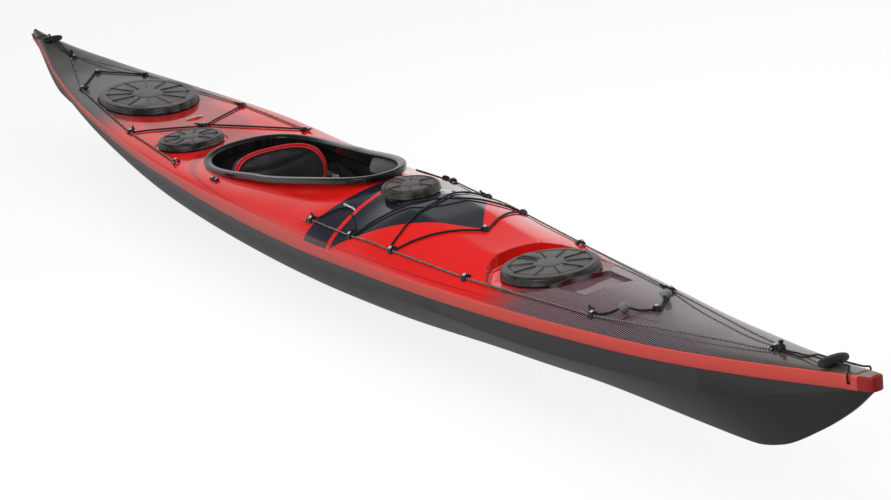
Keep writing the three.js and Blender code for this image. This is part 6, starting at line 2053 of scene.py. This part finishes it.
@dataclass
class Handle:
    """A carrying handle at one end: its cord lock, its cord and the toggle on it."""

    word: str
    body: Body
    ahead: int
    toggle_share: float
    lock_offset: float = 0.024
    strand: float = 0.007
    run: float = 0.062
    radius: float = 0.0022
    lock_radius: float = 0.009
    width: float = 0.080
    length: float = 0.036
    height: float = 0.022

    @property
    def lock_x(self) -> float:
        """Place of the cord lock."""
        return FITTINGS.places[self.word].x + self.ahead * self.lock_offset

    @property
    def frame(self) -> Matrix:
        """The toggle's frame."""
        return FORM.deck_frame(self.toggle_share * FORM.half_length, 0, 0, 2 * GAP)

    def strand_point(self, along: float, side: float = 1) -> Vector:
        """A point of a strand where it runs straight through the toggle."""
        return self.frame @ Vector((along * self.ahead, side * self.strand, self.height / 2))

    def tip(self) -> list[Vector]:
        """Points of the cord round the boat's end, on the port side."""
        clear = self.radius + 3 * GAP
        if self.ahead > 0:
            shells = Shells()
            x = shells.hole_share * FORM.half_length
            side = float(FORM.beam(shells.hole_share)) + GAP + shells.block_wall + clear
            z = float(FORM.joint(shells.hole_share))
            return [
                FORM.on_deck(x - 0.009, side * 0.62, 2 * clear),
                Vector((x - GAP, side, float(FORM.edge(shells.hole_share)) + clear)),
                Vector((x, side + GAP, z + 2 * clear)), Vector((x, side, z + GAP)),
                Vector((x, side - clear, z)), Vector((x, STRAND, z)),
            ]
        end = -FORM.half_length - clear - GAP
        ledge = float(FORM.edge(-1.0)) + clear

        def beside(u: float, rise: float) -> Vector:
            height = float(FORM.edge(u)) + rise * clear
            return Vector((u * FORM.half_length, float(FORM.beam(u)) + clear, height))

        corner = beside(-1.0, 1.2)
        corner.x = -FORM.half_length - self.radius / 2
        return [
            FORM.on_deck(-0.958 * FORM.half_length, float(FORM.beam(-0.958)) * 0.75, 2 * clear),
            beside(-0.969, 3), beside(-0.98, 1.4), corner,
            Vector((end, float(FORM.beam(-1.0)) * 0.7, ledge + GAP)),
            Vector((end, float(FORM.beam(-1.0)) * 0.3, ledge + GAP)),
        ]

    def build_cord(self) -> Piece:
        """The handle's cord from the lock round the tip and back."""
        lift = self.radius + CORD_GAP
        start = FORM.on_deck(self.lock_x + self.ahead * (self.lock_radius + GAP), STRAND, lift)
        near_x = self.strand_point(-self.run).x - self.ahead * self.length
        near = FORM.on_deck(near_x, self.strand, lift)
        middle = FORM.clear_middle(start, near, lift)
        root = FORM.on_deck(self.lock_x + self.ahead * 0.004, 0.002, lift + 0.002)
        straight = [self.strand_point(share * self.run) for share in (-1, -0.9, -0.3, 0.3, 0.9, 1)]
        half = [root, start, middle, near, *straight, *self.tip()]
        other = [Vector((p.x, -p.y, p.z)) for p in reversed(half)]
        points = smooth_path([*half, *other], 0.003)
        made = cord_piece(self.word + "_handle_loop", points, self.radius, FINISHES["bungee"], 10)
        return report(smooth(made, 60), Body.KAYAK, "deck_cord", self.word + "_handle_cord")

    def build_lock(self) -> Piece:
        """The sprung cord lock with its ribbed button."""
        r = self.lock_radius
        profile = [
            (0, GAP), (r - 0.002, GAP), (r - 0.0005, 0.0014), (r, 0.003), (r, 0.0125), (r - 0.0008, 0.0148),
            (r - 0.0028, 0.016), (0.0046, 0.0162), (0.0045, 0.0168), (0.0045, 0.0205), (0.0056, 0.0210),
        ]
        for i in range(3):
            low = 0.0214 + 0.0013 * i
            profile += [(0.0060, low), (0.0060, low + 0.0006), (0.0056, low + 0.0009)]
        profile += [(0.0052, 0.0256), (0.0035, 0.0260), (0, 0.0260)]
        lock = lathe(self.word + "_lock", profile, 40, FORM.deck_frame(self.lock_x, 0, 0))
        return report(smooth(dress(lock, "black"), 40), Body.KAYAK, "moulded_black", self.word + "_cord_lock")

    def build_toggle(self) -> Piece:
        """The toggle: a lens-shaped grip with thin rounded ends."""
        rings = []
        for across in np.linspace(-1, 1, 49):
            away = abs(float(across))
            size = max(1 - away**2.8, 0.0) ** 0.5
            long = self.length / 2 * max(size, 0.10)
            tall = self.height / 2 * (0.24 + 0.76 * size)
            y, middle = across * self.width / 2, self.height / 2
            rings.append([[bent(c, 0.85) * long, y, middle + bent(s, 0.85) * tall] for c, s in around(28)])
        toggle = dress(loft(self.word + "_grip", np.array(rings)), "black")
        toggle.data.transform(self.frame)
        for side in (1, -1):
            start, end = self.strand_point(-self.length, side), self.strand_point(self.length, side)
            way = end - start
            bore = cylinder("bore", self.radius + 2 * GAP, 0, way.length, 20, facing(start, way))
            carve(toggle, dress(bore, "black"), Carve.CUT)
        smooth(toggle, 50)
        return report(toggle, self.body, "moulded_black", self.word + "_toggle")

    def build(self) -> None:
        """All three pieces."""
        self.build_cord()
        self.build_lock()
        self.build_toggle()


def rod(name: str, points: Sequence[Vector], radius: float, finish: str) -> Piece:
    """A bent rod with rounded ends."""
    path = smooth_path(points, radius / 2)
    return smooth(cord_piece(name, path, radius, FINISHES[finish], 20), 60)


@dataclass
class SecurityBar:
    """A polished bar over a round recess behind the cockpit."""

    x: float = -1.04584
    y: float = 0.01562
    recess_radius: float = 0.022
    recess_depth: float = 0.008
    radius: float = 0.003
    span: float = 0.062

    @cached_property
    def frame(self) -> Matrix:
        """The recess's frame on the deck."""
        return FORM.deck_frame(self.x, self.y, QUARTER)

    def pocket(self) -> Pocket:
        """The bowl with its cup."""
        radius, low = self.recess_radius + FORM.wall, -self.recess_depth - FORM.wall
        return Pocket(self.recess(), cylinder("bar_cup", radius, low, 0.02, 48, self.frame))

    def recess(self) -> Piece:
        """The space of the recess: a bowl with four lobes."""
        rings = []
        for depth, size in ((-self.recess_depth, 0.35), (-self.recess_depth * 0.93, 0.62),
                            (-self.recess_depth * 0.6, 0.86), (0.0, 1.0), (0.01, 1.06)):
            ring = []
            for a in np.linspace(0, math.tau, 64, endpoint=False):
                reach = self.recess_radius * size * (0.86 + 0.13 * math.cos(4 * a))
                ring.append(list(self.frame @ Vector((reach * math.cos(a), reach * math.sin(a), depth))))
            rings.append(ring)
        return loft("bar_recess", np.array(rings))

    def build(self) -> Piece:
        """The bar, arched over the recess, with its ends sunk towards the deck."""
        seat, half = self.radius + 2 * GAP, self.span / 2

        def point(along: float, rise: float) -> Vector:
            flat = self.frame @ Vector((along, 0, 0))
            return FORM.on_deck(flat.x, flat.y) + FORM.deck_normal(flat.x, flat.y) * (seat + rise)

        rises = ((-1, -0.0006), (-0.78, 0), (-0.5, 0.0010), (0, self.radius / 2), (0.5, 0.0010), (0.78, 0),
                 (1, -0.0006))
        bar = rod("lock_bar", [point(half * share, rise) for share, rise in rises], self.radius, "steel")
        return report(bar, Body.KAYAK, "stainless", "security_bar")


@dataclass
class PaddlePark:
    """A steel staple over a three-cornered recess, with the cord that holds a paddle."""

    radius: float = 0.003
    span: float = 0.062
    rise: float = 0.008
    depth: float = 0.002
    cord_radius: float = 0.002
    knot_radius: float = 0.0032
    knot_side: float = 0.0175
    knot_clear: float = 0.0055
    turns: Pairs = ((-0.4, -1.1), (-0.2, -0.1), (-0.08, 0.9), (0.08, 0.9), (0.2, -0.1), (0.4, -1.1))

    @cached_property
    def spot(self) -> tuple[float, float]:
        """Place of the staple in plan."""
        first, second = FITTINGS.places["starboard_S1"], FITTINGS.places["starboard_S2"]
        return first.x + 0.4 * (second.x - first.x), first.y + 0.28 * FORM.half_beam

    @cached_property
    def frame(self) -> Matrix:
        """The staple's frame on the deck."""
        return FORM.deck_frame(*self.spot, 0)

    def recess(self) -> Piece:
        """The three-cornered recess, with softened corners."""
        corners = [(x * self.span / 2, y * self.span) for x, y in ((-1.25, -0.3), (1.25, -0.3), (0, 0.3))]
        outline = rounded_corners(corners, 0.006)
        return polygon_solid("park_recess", outline, -self.depth, 0.012, self.frame, 0.08)

    def build(self) -> None:
        """The staple and its cord."""
        up = FORM.deck_normal(*self.spot)
        x, y = self.spot
        legs = []
        for side in (-1, 1):
            foot = FORM.on_deck(x + side * self.span / 2, y) + up * 2 * GAP
            bend = self.frame @ Vector((side * (self.span - self.rise) / 2, 0, self.rise))
            legs.append([foot, foot + up * self.rise * 0.5, bend])
        first, second = legs
        path = [*first, first[-1].lerp(second[-1], 0.5), *second[::-1]]
        report(rod("park_staple", path, self.radius, "steel"), Body.KAYAK, "stainless", "paddle_park")
        self.build_cord()

    def build_cord(self) -> Piece:
        """The cord from the first eye under the staple to the second."""
        stop = Stop("starboard_S1", 1, STRAND)
        cord = Cord("park_cord", "paddle_cord", [stop], self.cord_radius, "bungee", 0.06)
        first, second = FITTINGS.places["starboard_S1"], FITTINGS.places["starboard_S2"]
        lift, threaded = cord.lift, cord.stop_points(stop)
        turns = [self.frame @ Vector((x * self.span, y * self.rise, lift)) for x, y in self.turns]
        end = second.at(0, FITTINGS.tunnel_width / 2 + FITTINGS.wall + self.knot_clear + 2 * GAP, lift)
        middles = [FORM.clear_middle(start, goal, lift + CORD_GAP)
                   for start, goal in ((threaded[-1], turns[0]), (turns[-1], end))]
        loop = []
        for i in range(10):
            a = math.tau * i / 8
            size = self.knot_radius * (1 if i % 2 else 1.5)
            height = lift + 0.003 + 0.002 * math.sin(1.5 * a)
            loop.append(second.at(size * math.cos(a), self.knot_side + size * math.sin(a), height))
        path = [*cord.knot(stop, -1)[::-1], first.at(-0.005, STRAND, lift), *threaded, middles[0], *turns,
                middles[1], *loop, second.at(0.009, 0.022, lift + 0.008)]
        made = cord_piece("park_cord", smooth_path(path, 0.002), self.cord_radius, FINISHES["bungee"], 10)
        return report(smooth(made, 60), Body.KAYAK, "deck_cord", "paddle_cord")


def rounded_corners(corners: Pairs, radius: float, steps: int = 6) -> list[tuple[float, float]]:
    """A closed outline with its corners rounded.

    Args:
        corners: Corner points in order.
        radius: Distance from each corner to where its curve starts.
        steps: Points along each curve.

    Returns:
        The points.
    """
    made = []
    count = len(corners)
    for i, corner in enumerate(corners):
        here = Vector(corner)
        before = (Vector(corners[i - 1]) - here).normalized() * radius
        after = (Vector(corners[(i + 1) % count]) - here).normalized() * radius
        for k in range(steps + 1):
            t = k / steps
            made.append(tuple(here + before * (1 - t) ** 2 + after * t**2))
    return made


@dataclass
class BowRecesses:
    """The sharp-edged scoop ahead of the bow hatch and the shallow flat beyond it."""

    depth: float = 0.006

    def pockets(self) -> list[Pocket]:
        """The two recesses."""
        scoop = ((1.405, -0.078), (1.535, -0.060), (1.525, 0.09), (1.42, 0.09))
        flat = ((1.73, -0.095), (1.84, -0.07), (1.835, -0.042), (1.735, -0.06))
        wide = tuple(offset_outline(np.array(scoop), FORM.wall))
        cup = self.wedge("scoop_cup", wide, self.depth + FORM.wall, 1.6 * self.depth + FORM.wall)
        return [Pocket(self.wedge("scoop", scoop, self.depth, 1.6 * self.depth), cup),
                Pocket(self.wedge("flat", flat, 0.0006, 0.0022))]

    def wedge(self, name: str, corners: Pairs, near: float, far: float) -> Piece:
        """A space whose floor slopes from the near depth at its forward end to the far depth aft."""
        places = [x for x, _ in corners]
        aft, length = min(places), max(places) - min(places)
        floor, top = [], []
        for x, y in rounded_corners(corners, 0.005, 3):
            drop = near + (far - near) * (1 - (x - aft) / length)
            deck = float(FORM.deck_at(x, y))
            floor.append((x, y, deck - drop))
            top.append((x, y, deck + 0.03))
        return loft(name, np.array([floor, top]))


@dataclass
class SkegSlider:
    """The slider that works the skeg: its recessed track and its knob."""

    length: float = 0.190
    width: float = 0.024
    thickness: float = 0.005
    sink: float = 0.002
    slot_width: float = 0.006
    end_margin: float = 0.020
    knob_radius: float = 0.012

    @cached_property
    def frame(self) -> Matrix:
        """The track's frame on the deck."""
        x = FITTINGS.places["port_S1"].x - 0.024 - self.length / 2
        y = float(FORM.beam(x / FORM.half_length)) - FITTINGS.inset
        return FORM.deck_frame(x, y, FORM.edge_heading(x))

    @property
    def slot(self) -> float:
        """Length of the slot that the knob runs in."""
        return 2 * (self.length / 2 - self.end_margin)

    def slab(self, length: float, width: float, low: float, high: float, radius: float) -> Piece:
        """A block with rounded corners, in the track's frame."""
        half, side = length / 2, width / 2
        corners = ((-half, -side), (half, -side), (half, side), (-half, side))
        return polygon_solid("slab", rounded_corners(corners, radius), low, high, self.frame)

    def recesses(self) -> list[Piece]:
        """What is cut out of the deck for the track and for the slot."""
        return [
            self.slab(self.length + 2 * GAP, self.width + 2 * GAP, -self.sink - GAP, 0.02, 0.002),
            self.slab(self.slot, self.slot_width, -0.02, 0, 0.001),
        ]

    def build(self) -> None:
        """The track and the knob."""
        top = self.thickness - self.sink
        track = dress(self.slab(self.length, self.width, -self.sink, top, 0.002), "black")
        for tool in (self.slab(self.slot, self.slot_width, -0.02, 0.02, 0.0025),
                     self.slab(self.slot + self.slot_width, self.width / 2, 0, 0.02, 0.005)):
            carve(track, dress(tool, "black"), Carve.CUT)
        track.name = "slider_guide"
        ease_edges(track, 0.0005, 50)
        report(dress(track, "black"), Body.KAYAK, "moulded_black", "skeg_slider_track")
        stem, r = self.slot_width / 2, self.knob_radius
        profile = [(0, -0.010), (stem - 2 * GAP, -0.010), (stem - 2 * GAP, GAP), (stem + GAP, GAP),
                   (stem + GAP, top + GAP), (r - 0.001, top + GAP), (r, top + 0.0012), (r, top + 0.003)]
        for i in range(7):
            a = QUARTER * i / 6
            profile.append((r * math.cos(a) * 0.98 + 0.0002, top + 0.003 + 0.006 * math.sin(a)))
        profile[-1] = (0, top + 0.009)
        at = Matrix.Translation((self.slot / 2 - self.slot_width, 0, 0))
        knob = dress(lathe("slider_knob", profile, 40, self.frame @ at), "black")
        report(smooth(knob, 45), Body.SLIDER, "moulded_black", "skeg_slider")


@dataclass
class Cleat:
    """The moulded cleat beside the cockpit, with two screws."""

    length: float = 0.048
    width: float = 0.015
    height: float = 0.007

    def build(self) -> None:
        """The cleat and its screws."""
        x, y = COAMING.centre - 0.21 * COAMING.length, -0.82 * FORM.half_beam
        frame = FORM.deck_frame(x, y, -FORM.edge_heading(x), 3 * GAP)
        horn = ((0.5, 0.04), (0.5, 0.45), (0.44, 0.9), (0.4, 1), (0.2, 1), (0.15, 0.8), (0.1, 0.6))
        shares = [(-0.5, 0.04), *horn, *((-along, rise) for along, rise in horn[:0:-1])]
        side = self.width / 2
        rings = np.array([[[a * self.length, w, h * self.height] for a, h in shares]
                          for w in (-side, -side * 0.5, side * 0.5, side)])
        cleat = loft("rim_cleat", rings)
        cleat.data.transform(frame)
        ease_edges(cleat, 0.0009, 25)
        report(dress(cleat, "black"), Body.KAYAK, "moulded_black", "coaming_cleat")
        screw = FITTINGS.screw()
        up = frame.to_3x3() @ Vector((0, 0, 1))
        spots = [(frame @ Vector((a * self.length, 0, self.height)), up) for a in (-0.3, 0.3)]
        screws = spread_piece("cleat_screws", screw, spots, FINISHES["steel"], 0.8)
        discard(screw)
        report(screws, Body.KAYAK, "stainless")


# Cockpit outfitting and pieces that keep their packed form


@dataclass
class Backrest:
    """The padded backrest with two rows of red piping."""

    width: float = 0.336
    height: float = 0.205
    thickness: float = 0.036
    wrap: float = 0.075
    end_rise: float = 0.060
    x: float = -0.4275
    bottom: float = 0.0923
    roundness: float = 6.4
    end_share: float = 0.7
    shrink: float = 0.004
    voxel: float = 0.005
    fill: float = 0.7
    piping: Pairs = ((0.0055, 0.0135), (0.0125, 0.0165))
    piping_radius: float = 0.0034
    seam: Span = (0.0185, 0.0178)

    def section(self, across: float) -> tuple[float, float, float, float]:
        """Middle, half thickness, lower and upper height at a share of the half width."""
        away = abs(across)
        thick = self.thickness / 2 * (1 - 0.45 * away * away)
        x = self.x + self.wrap * away * away
        arch = max(1 - away**self.roundness, 0.0) ** (1 / self.roundness)
        low = self.bottom + self.end_rise * away * away
        high = self.bottom + self.height * max(arch, self.end_share)
        return x, thick, low, high

    def pad(self) -> Piece:
        """The pad's closed form, drawn in by a little."""
        rings = []
        for across in map(float, np.linspace(-1, 1, 49)):
            x, thick, low, high = self.section(across * 0.985)
            edge = math.sqrt(max(1 - max(0.0, (abs(across) - 0.9) / 0.1) ** 2, 0.02))
            thick = (thick - self.shrink) * (0.45 + 0.55 * edge)
            low, high = low + self.shrink, high - self.shrink
            y, middle, half = across * (self.width / 2 - self.shrink), (low + high) / 2, (high - low) / 2
            rings.append([[x + bent(c, 0.62) * thick, y, middle + bent(s, 0.42) * half]
                          for c, s in around(40)])
        return loft("back_pad", np.array(rings))

    def crease(self, piece: Piece) -> None:
        """Presses a curved crease into the front and rounds the panel between its seams."""
        for vertex in piece.data.vertices:
            p = vertex.co
            across = p.y / (self.width / 2)
            x, _, low, high = self.section(min(abs(across), 0.985))
            if p.x < x:
                continue
            up = (p.z - low) / max(high - low, 1e-4)
            bow = 0.66 + 0.20 * across * across
            dent = 0.012 * math.exp(-(((up - bow) / 0.045) ** 2)) * max(0.0, 1 - abs(across) ** 4)
            rim = min(up, 1 - up, (1 - abs(across)) * 1.6)
            swell = 0.0025 * min(max(rim / 0.3, 0.0), 1.0)
            vertex.co.x += swell - dent - 0.001

    def build(self) -> None:
        """The pad, its piping and its stitches."""
        pad = self.pad()
        pad = puff(pad, self.voxel)
        self.crease(pad)
        report(smooth(dress(pad, "fabric"), 80), Body.BACKREST, "padding", "backrest")
        rows = [cord_piece("bead", self.piping_path(*row), self.piping_radius, FINISHES["piping"], 10, True)
                for row in self.piping]
        report(smooth(join("backrest_piping", rows), 60), Body.BACKREST, "padding")
        stitch = lathe("stitch", ((0, -0.0016), (0.00035, -0.0012), (0.00035, 0.0012), (0, 0.0016)), 6,
                       Matrix.Rotation(QUARTER, 4, "Y"))
        line = path_piece("backrest_stitches", self.piping_path(*self.seam), True)
        seam = run_tree(line, JIGS.stitches, Stitch=stitch, Spacing=0.005, Finish=FINISHES["webbing"])
        discard(stitch)
        report(seam, Body.BACKREST, "padding")

    def piping_path(self, inset: float, out: float) -> list[Vector]:
        """The line of a row of piping round the front of the pad."""
        points = []
        for i in range(220):
            a = math.tau * i / 220
            c, s = math.cos(a), math.sin(a)
            across = bent(c, 0.42)
            x, thick, low, high = self.section(abs(across) * 0.96)
            z = (low + high) / 2 + bent(s, 0.45) * ((high - low) / 2 - inset)
            bulge = thick / (self.thickness / 2) * (0.62 + 0.38 * (1 - abs(s) ** 6))
            points.append(Vector((x + out * bulge + 0.001, across * (self.width / 2 - inset), z)))
        return points


def puff(piece: Piece, voxel: float, cap: float = 0.005, frames: int = 20) -> Piece:
    """Fills a pad by a short cloth simulation and keeps the result.

    Args:
        piece: The pad, slightly smaller than it ends up.
        voxel: Size of the remeshed faces.
        cap: Most that a point may move.
        frames: Length of the simulation.

    Returns:
        The filled pad.
    """
    add_step(piece, "REMESH", mode="VOXEL", voxel_size=voxel)
    settle(piece)
    start = [v.co.copy() for v in piece.data.vertices]
    cloth = add_step(piece, "CLOTH").settings
    cloth.use_pressure = True
    cloth.uniform_pressure_force = 4
    cloth.effector_weights.gravity = 0
    cloth.quality = 6
    scene = bpy.context.scene
    scene.frame_start, scene.frame_end = 1, frames
    for number in range(1, frames + 1):
        scene.frame_set(number)
    settle(piece)
    scene.frame_set(1)
    for vertex, old in zip(piece.data.vertices, start):
        move = vertex.co - old
        if move.length > cap:
            vertex.co = old + move * (cap / move.length)
    add_step(piece, "SMOOTH", iterations=2)
    add_step(piece, "SUBSURF", levels=1, render_levels=1)
    return settle(piece)


@dataclass(frozen=True)
class HipPads:
    """Two foam pads in fabric on the inner sides of the seat."""

    voxel: float = 0.003
    rounds: int = 12
    ease: float = 0.6
    fill: float = 0.9

    def build(self, frame: dict) -> None:
        """Both pads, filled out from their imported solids."""
        for side in Side:
            pad = welded_copy(frame, side.word + "_hip_pad", side.word + "_hip_cushion")
            add_step(pad, "REMESH", mode="VOXEL", voxel_size=self.voxel)
            add_step(pad, "SMOOTH", iterations=self.rounds, factor=self.ease)
            smooth(dress(settle(pad), "fabric"), 80)
            report(pad, Body.KAYAK, "padding", side.word + "_hip_pad")


@dataclass(frozen=True)
class Kept:
    """A piece, or a pair, that keeps its packed form and gets rounded edges and a finish."""

    stem: str
    finish: str
    slot: str
    edge: float
    paired: bool = False

    def build(self, frame: dict, riders: dict[str, str]) -> None:
        """The piece, or the port one and the starboard one.

        Args:
            riders: Name of each node's body, by node.
        """
        for node in [f"{side.word}_{self.stem}" for side in Side] if self.paired else [self.stem]:
            piece = ease_edges(welded_copy(frame, node, node + "_form", flatten=True), self.edge, 35)
            report(dress(piece, self.finish), Body(riders[node]), self.slot, node)


KEPT = (
    Kept("seat_pan", "black", "moulded_black", 0.0012),
    Kept("skeg_box", "laminate", "laminate", 0.0006),
    Kept("footrest_rail", "anodised", "anodised", 0.0004, True),
    Kept("foot_pedal", "black", "moulded_black", 0.0012, True),
    Kept("ratchet_base", "black", "moulded_black", 0.0007, True),
    Kept("ratchet_lever", "steel", "stainless", 0.0005, True),
    Kept("backrest_strap", "webbing", "webbing", 0.0003, True),
    Kept("thigh_brace", "black", "gloss_black", 0.0015, True),
    Kept("skeg_blade", "gloss", "gloss_black", 0.0014),
    Kept("skeg_pin", "steel", "stainless", 0.0005),
    Kept("skeg_cable_sleeve", "black", "moulded_black", 0.0004),
    *(Kept(stem, "laminate", "laminate", 0.0008)
      for stem in ("front_bulkhead", "cockpit_bulkhead", "rear_bulkhead", "pod_tub")),
)


def skeg_slot() -> Piece:
    """The slot in the hull that the skeg's box stands in."""
    pivot_share, ahead, half_width, length, height = -0.545, 0.042, 0.010, 0.400, 0.150
    front, half = pivot_share * FORM.half_length + ahead + GAP, half_width + GAP
    rear = front - length - 2 * GAP
    top = float(FORM.keel(pivot_share)) + height
    ring = [(rear, -half), (front, -half), (front, half), (rear, half)]
    return loft("skeg_slot", np.array([[[x, y, z] for x, y in ring] for z in (-OVERRUN, top)]))


# Studio


class Studio:
    """The camera, the floor, the backdrop and the lights."""

    lens: float = 91.82
    place: tuple[float, float, float] = (6.035, -2.800, 2.201)
    yaw: float = 152.25
    pitch: float = -18.26
    roll: float = -6.44
    surround: float = 0.5
    floor_half: float = 30
    floor_height: float = -0.0012
    floor_tone: Colour = colour(246, 246, 246)
    floor_shade: Colour = colour(58, 58, 58)

    def camera(self) -> None:
        """Sets the camera at the photograph's angle."""
        data = bpy.data.cameras.new("camera")
        data.lens = self.lens
        data.sensor_width = 36
        data.sensor_fit = "HORIZONTAL"
        data.clip_start, data.clip_end = 0.05, 80
        yaw, pitch, roll = (math.radians(v) for v in (self.yaw, self.pitch, self.roll))
        ahead = Vector((math.cos(pitch) * math.cos(yaw), math.cos(pitch) * math.sin(yaw), math.sin(pitch)))
        right = ahead.cross(Vector((0, 0, 1))).normalized()
        up = right.cross(ahead)
        turned = right * math.cos(roll) + up * math.sin(roll)
        over = up * math.cos(roll) - right * math.sin(roll)
        made = placed("camera", data)
        turn = Matrix((turned, over, -ahead)).transposed().to_4x4()
        made.matrix_world = Matrix.Translation(self.place) @ turn
        bpy.context.scene.camera = made

    @staticmethod
    def light_path(k: Sketch) -> tuple[Socket, Socket, Socket]:
        """Whether a ray is seen straight or through something, is a reflection, and is soft light."""
        path = k.node("ShaderNodeLightPath").outputs
        seen = k.most(path["Is Camera Ray"], path["Is Transmission Ray"])
        return seen, path["Is Glossy Ray"], path["Is Diffuse Ray"]

    def floor(self) -> None:
        """A wide white floor that keeps the boat's shadow, throws little light back up and has a painted
        shadow in its reflection along the boat.
        """
        corners = [(x * self.floor_half, y * self.floor_half, self.floor_height)
                   for x, y in ((-1, -1), (1, -1), (1, 1), (-1, 1))]
        floor = piece_of("studio_floor", corners, [(0, 1, 2, 3)])
        s = Surface("studio_floor", Specular_IOR_Level=0.0, Roughness=0.9)
        k = s.sketch
        seen, glossy, _ = self.light_path(k)
        s.paint(k.mix(seen, self.floor_shade, self.floor_tone))
        white = k.node("ShaderNodeEmission", {"Color": WHITE, "Strength": 1.0})
        # Painted shadow: reflections see the floor darker in a strip along the boat, in place of the boat's
        # shadow there.
        away = k.span(k.ramp(k.math("ABSOLUTE", s.axes()[1]), 0.28, 0.6), 0.3, 0.85)
        share = k.most(k.times(seen, 0.84), k.times(glossy, away))
        both = k.node("ShaderNodeMixShader", {0: share, 1: s.shader.outputs[0], 2: white.outputs[0]})
        k.feed(s.outlet.inputs["Surface"], both.outputs[0])
        floor.data.materials.append(s.material)

    def world(self) -> None:
        """A white surround whose reflection falls off overhead and towards the starboard bow."""
        world = bpy.data.worlds.new("studio")
        world.use_nodes = True
        world.node_tree.nodes.clear()
        k = Sketch(world.node_tree)
        seen, glossy, soft = self.light_path(k)
        ahead, across, height = k.axes(k.node("ShaderNodeTexCoord").outputs["Generated"])
        near = k.ramp(k.minus(k.times(ahead, 0.7), k.times(across, 0.7)), 0.2, 0.8)
        mirror = k.times(k.span(k.ramp(height, 0.16, 0.55), 0.82, 0.10), k.span(near, 1.0, 0.35))
        strength = k.most(k.most(seen, k.times(glossy, mirror)), k.times(soft, self.surround))
        sky = k.node("ShaderNodeBackground", {"Color": WHITE, "Strength": strength})
        k.node("ShaderNodeOutputWorld", {"Surface": sky.outputs[0]})
        bpy.context.scene.world = world

    def lamp(self, name: str, place: tuple[float, float, float], aim: tuple[float, float, float],
             size: tuple[float, float], watts: float, glossy: bool = False) -> None:
        """A soft rectangular lamp."""
        data = bpy.data.lights.new(name, "AREA")
        data.shape = "RECTANGLE"
        data.size, data.size_y = size
        data.energy = watts
        lamp = placed(name, data)
        lamp.visible_glossy = glossy
        lamp.location = place
        lamp.rotation_mode = "QUATERNION"
        lamp.rotation_quaternion = (Vector(aim) - Vector(place)).to_track_quat("-Z", "Y")

    def build(self) -> None:
        """The whole studio."""
        self.camera()
        self.floor()
        self.world()
        self.lamp("over", (0.6, 0.3, 3.6), (0, 0, 0.2), (5.5, 1.6), 106)
        self.lamp("front", (3.4, -4.2, 2.6), (0.4, 0, 0.2), (3.0, 2.0), 90, True)
        self.lamp("window", (1.2, 5.0, 2.4), (0.6, 0, 0.3), (3.2, 0.6), 26, True)
        bpy.context.scene.view_settings.view_transform = "Standard"


def main() -> None:
    """Builds the studio and the boat."""
    logging.basicConfig(level=logging.INFO, format="%(name)s %(message)s")
    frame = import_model()
    Studio().build()
    slider, bar, park = SkegSlider(), SecurityBar(), PaddlePark()
    pockets = [*map(Pocket, slider.recesses()), bar.pocket(), Pocket(park.recess()), *BowRecesses().pockets()]
    shells = Shells(hatches=HATCHES, pockets=pockets)
    shells.build_deck()
    shells.build_hull([skeg_slot()])
    shells.build_tape()
    COAMING.build()
    COAMING.build_collar()
    for hatch in HATCHES:
        hatch.build_rim()
        hatch.build_cover()
    FITTINGS.build()
    for cord in cord_list():
        cord.build()
    FloatBungee().build()
    Handle("bow", Body.BOW_TOGGLE, 1, 0.946).build()
    Handle("stern", Body.STERN_TOGGLE, -1, -0.922).build()
    bar.build()
    park.build()
    slider.build()
    Cleat().build()
    Backrest().build()
    HipPads().build(frame)
    bodies = frame["record"]["behaviour"]["bodies"]
    riders = {node: body for body, nodes in bodies.items() for node in nodes}
    for kept in KEPT:
        kept.build(frame, riders)


if __name__ == "__main__":
    main()
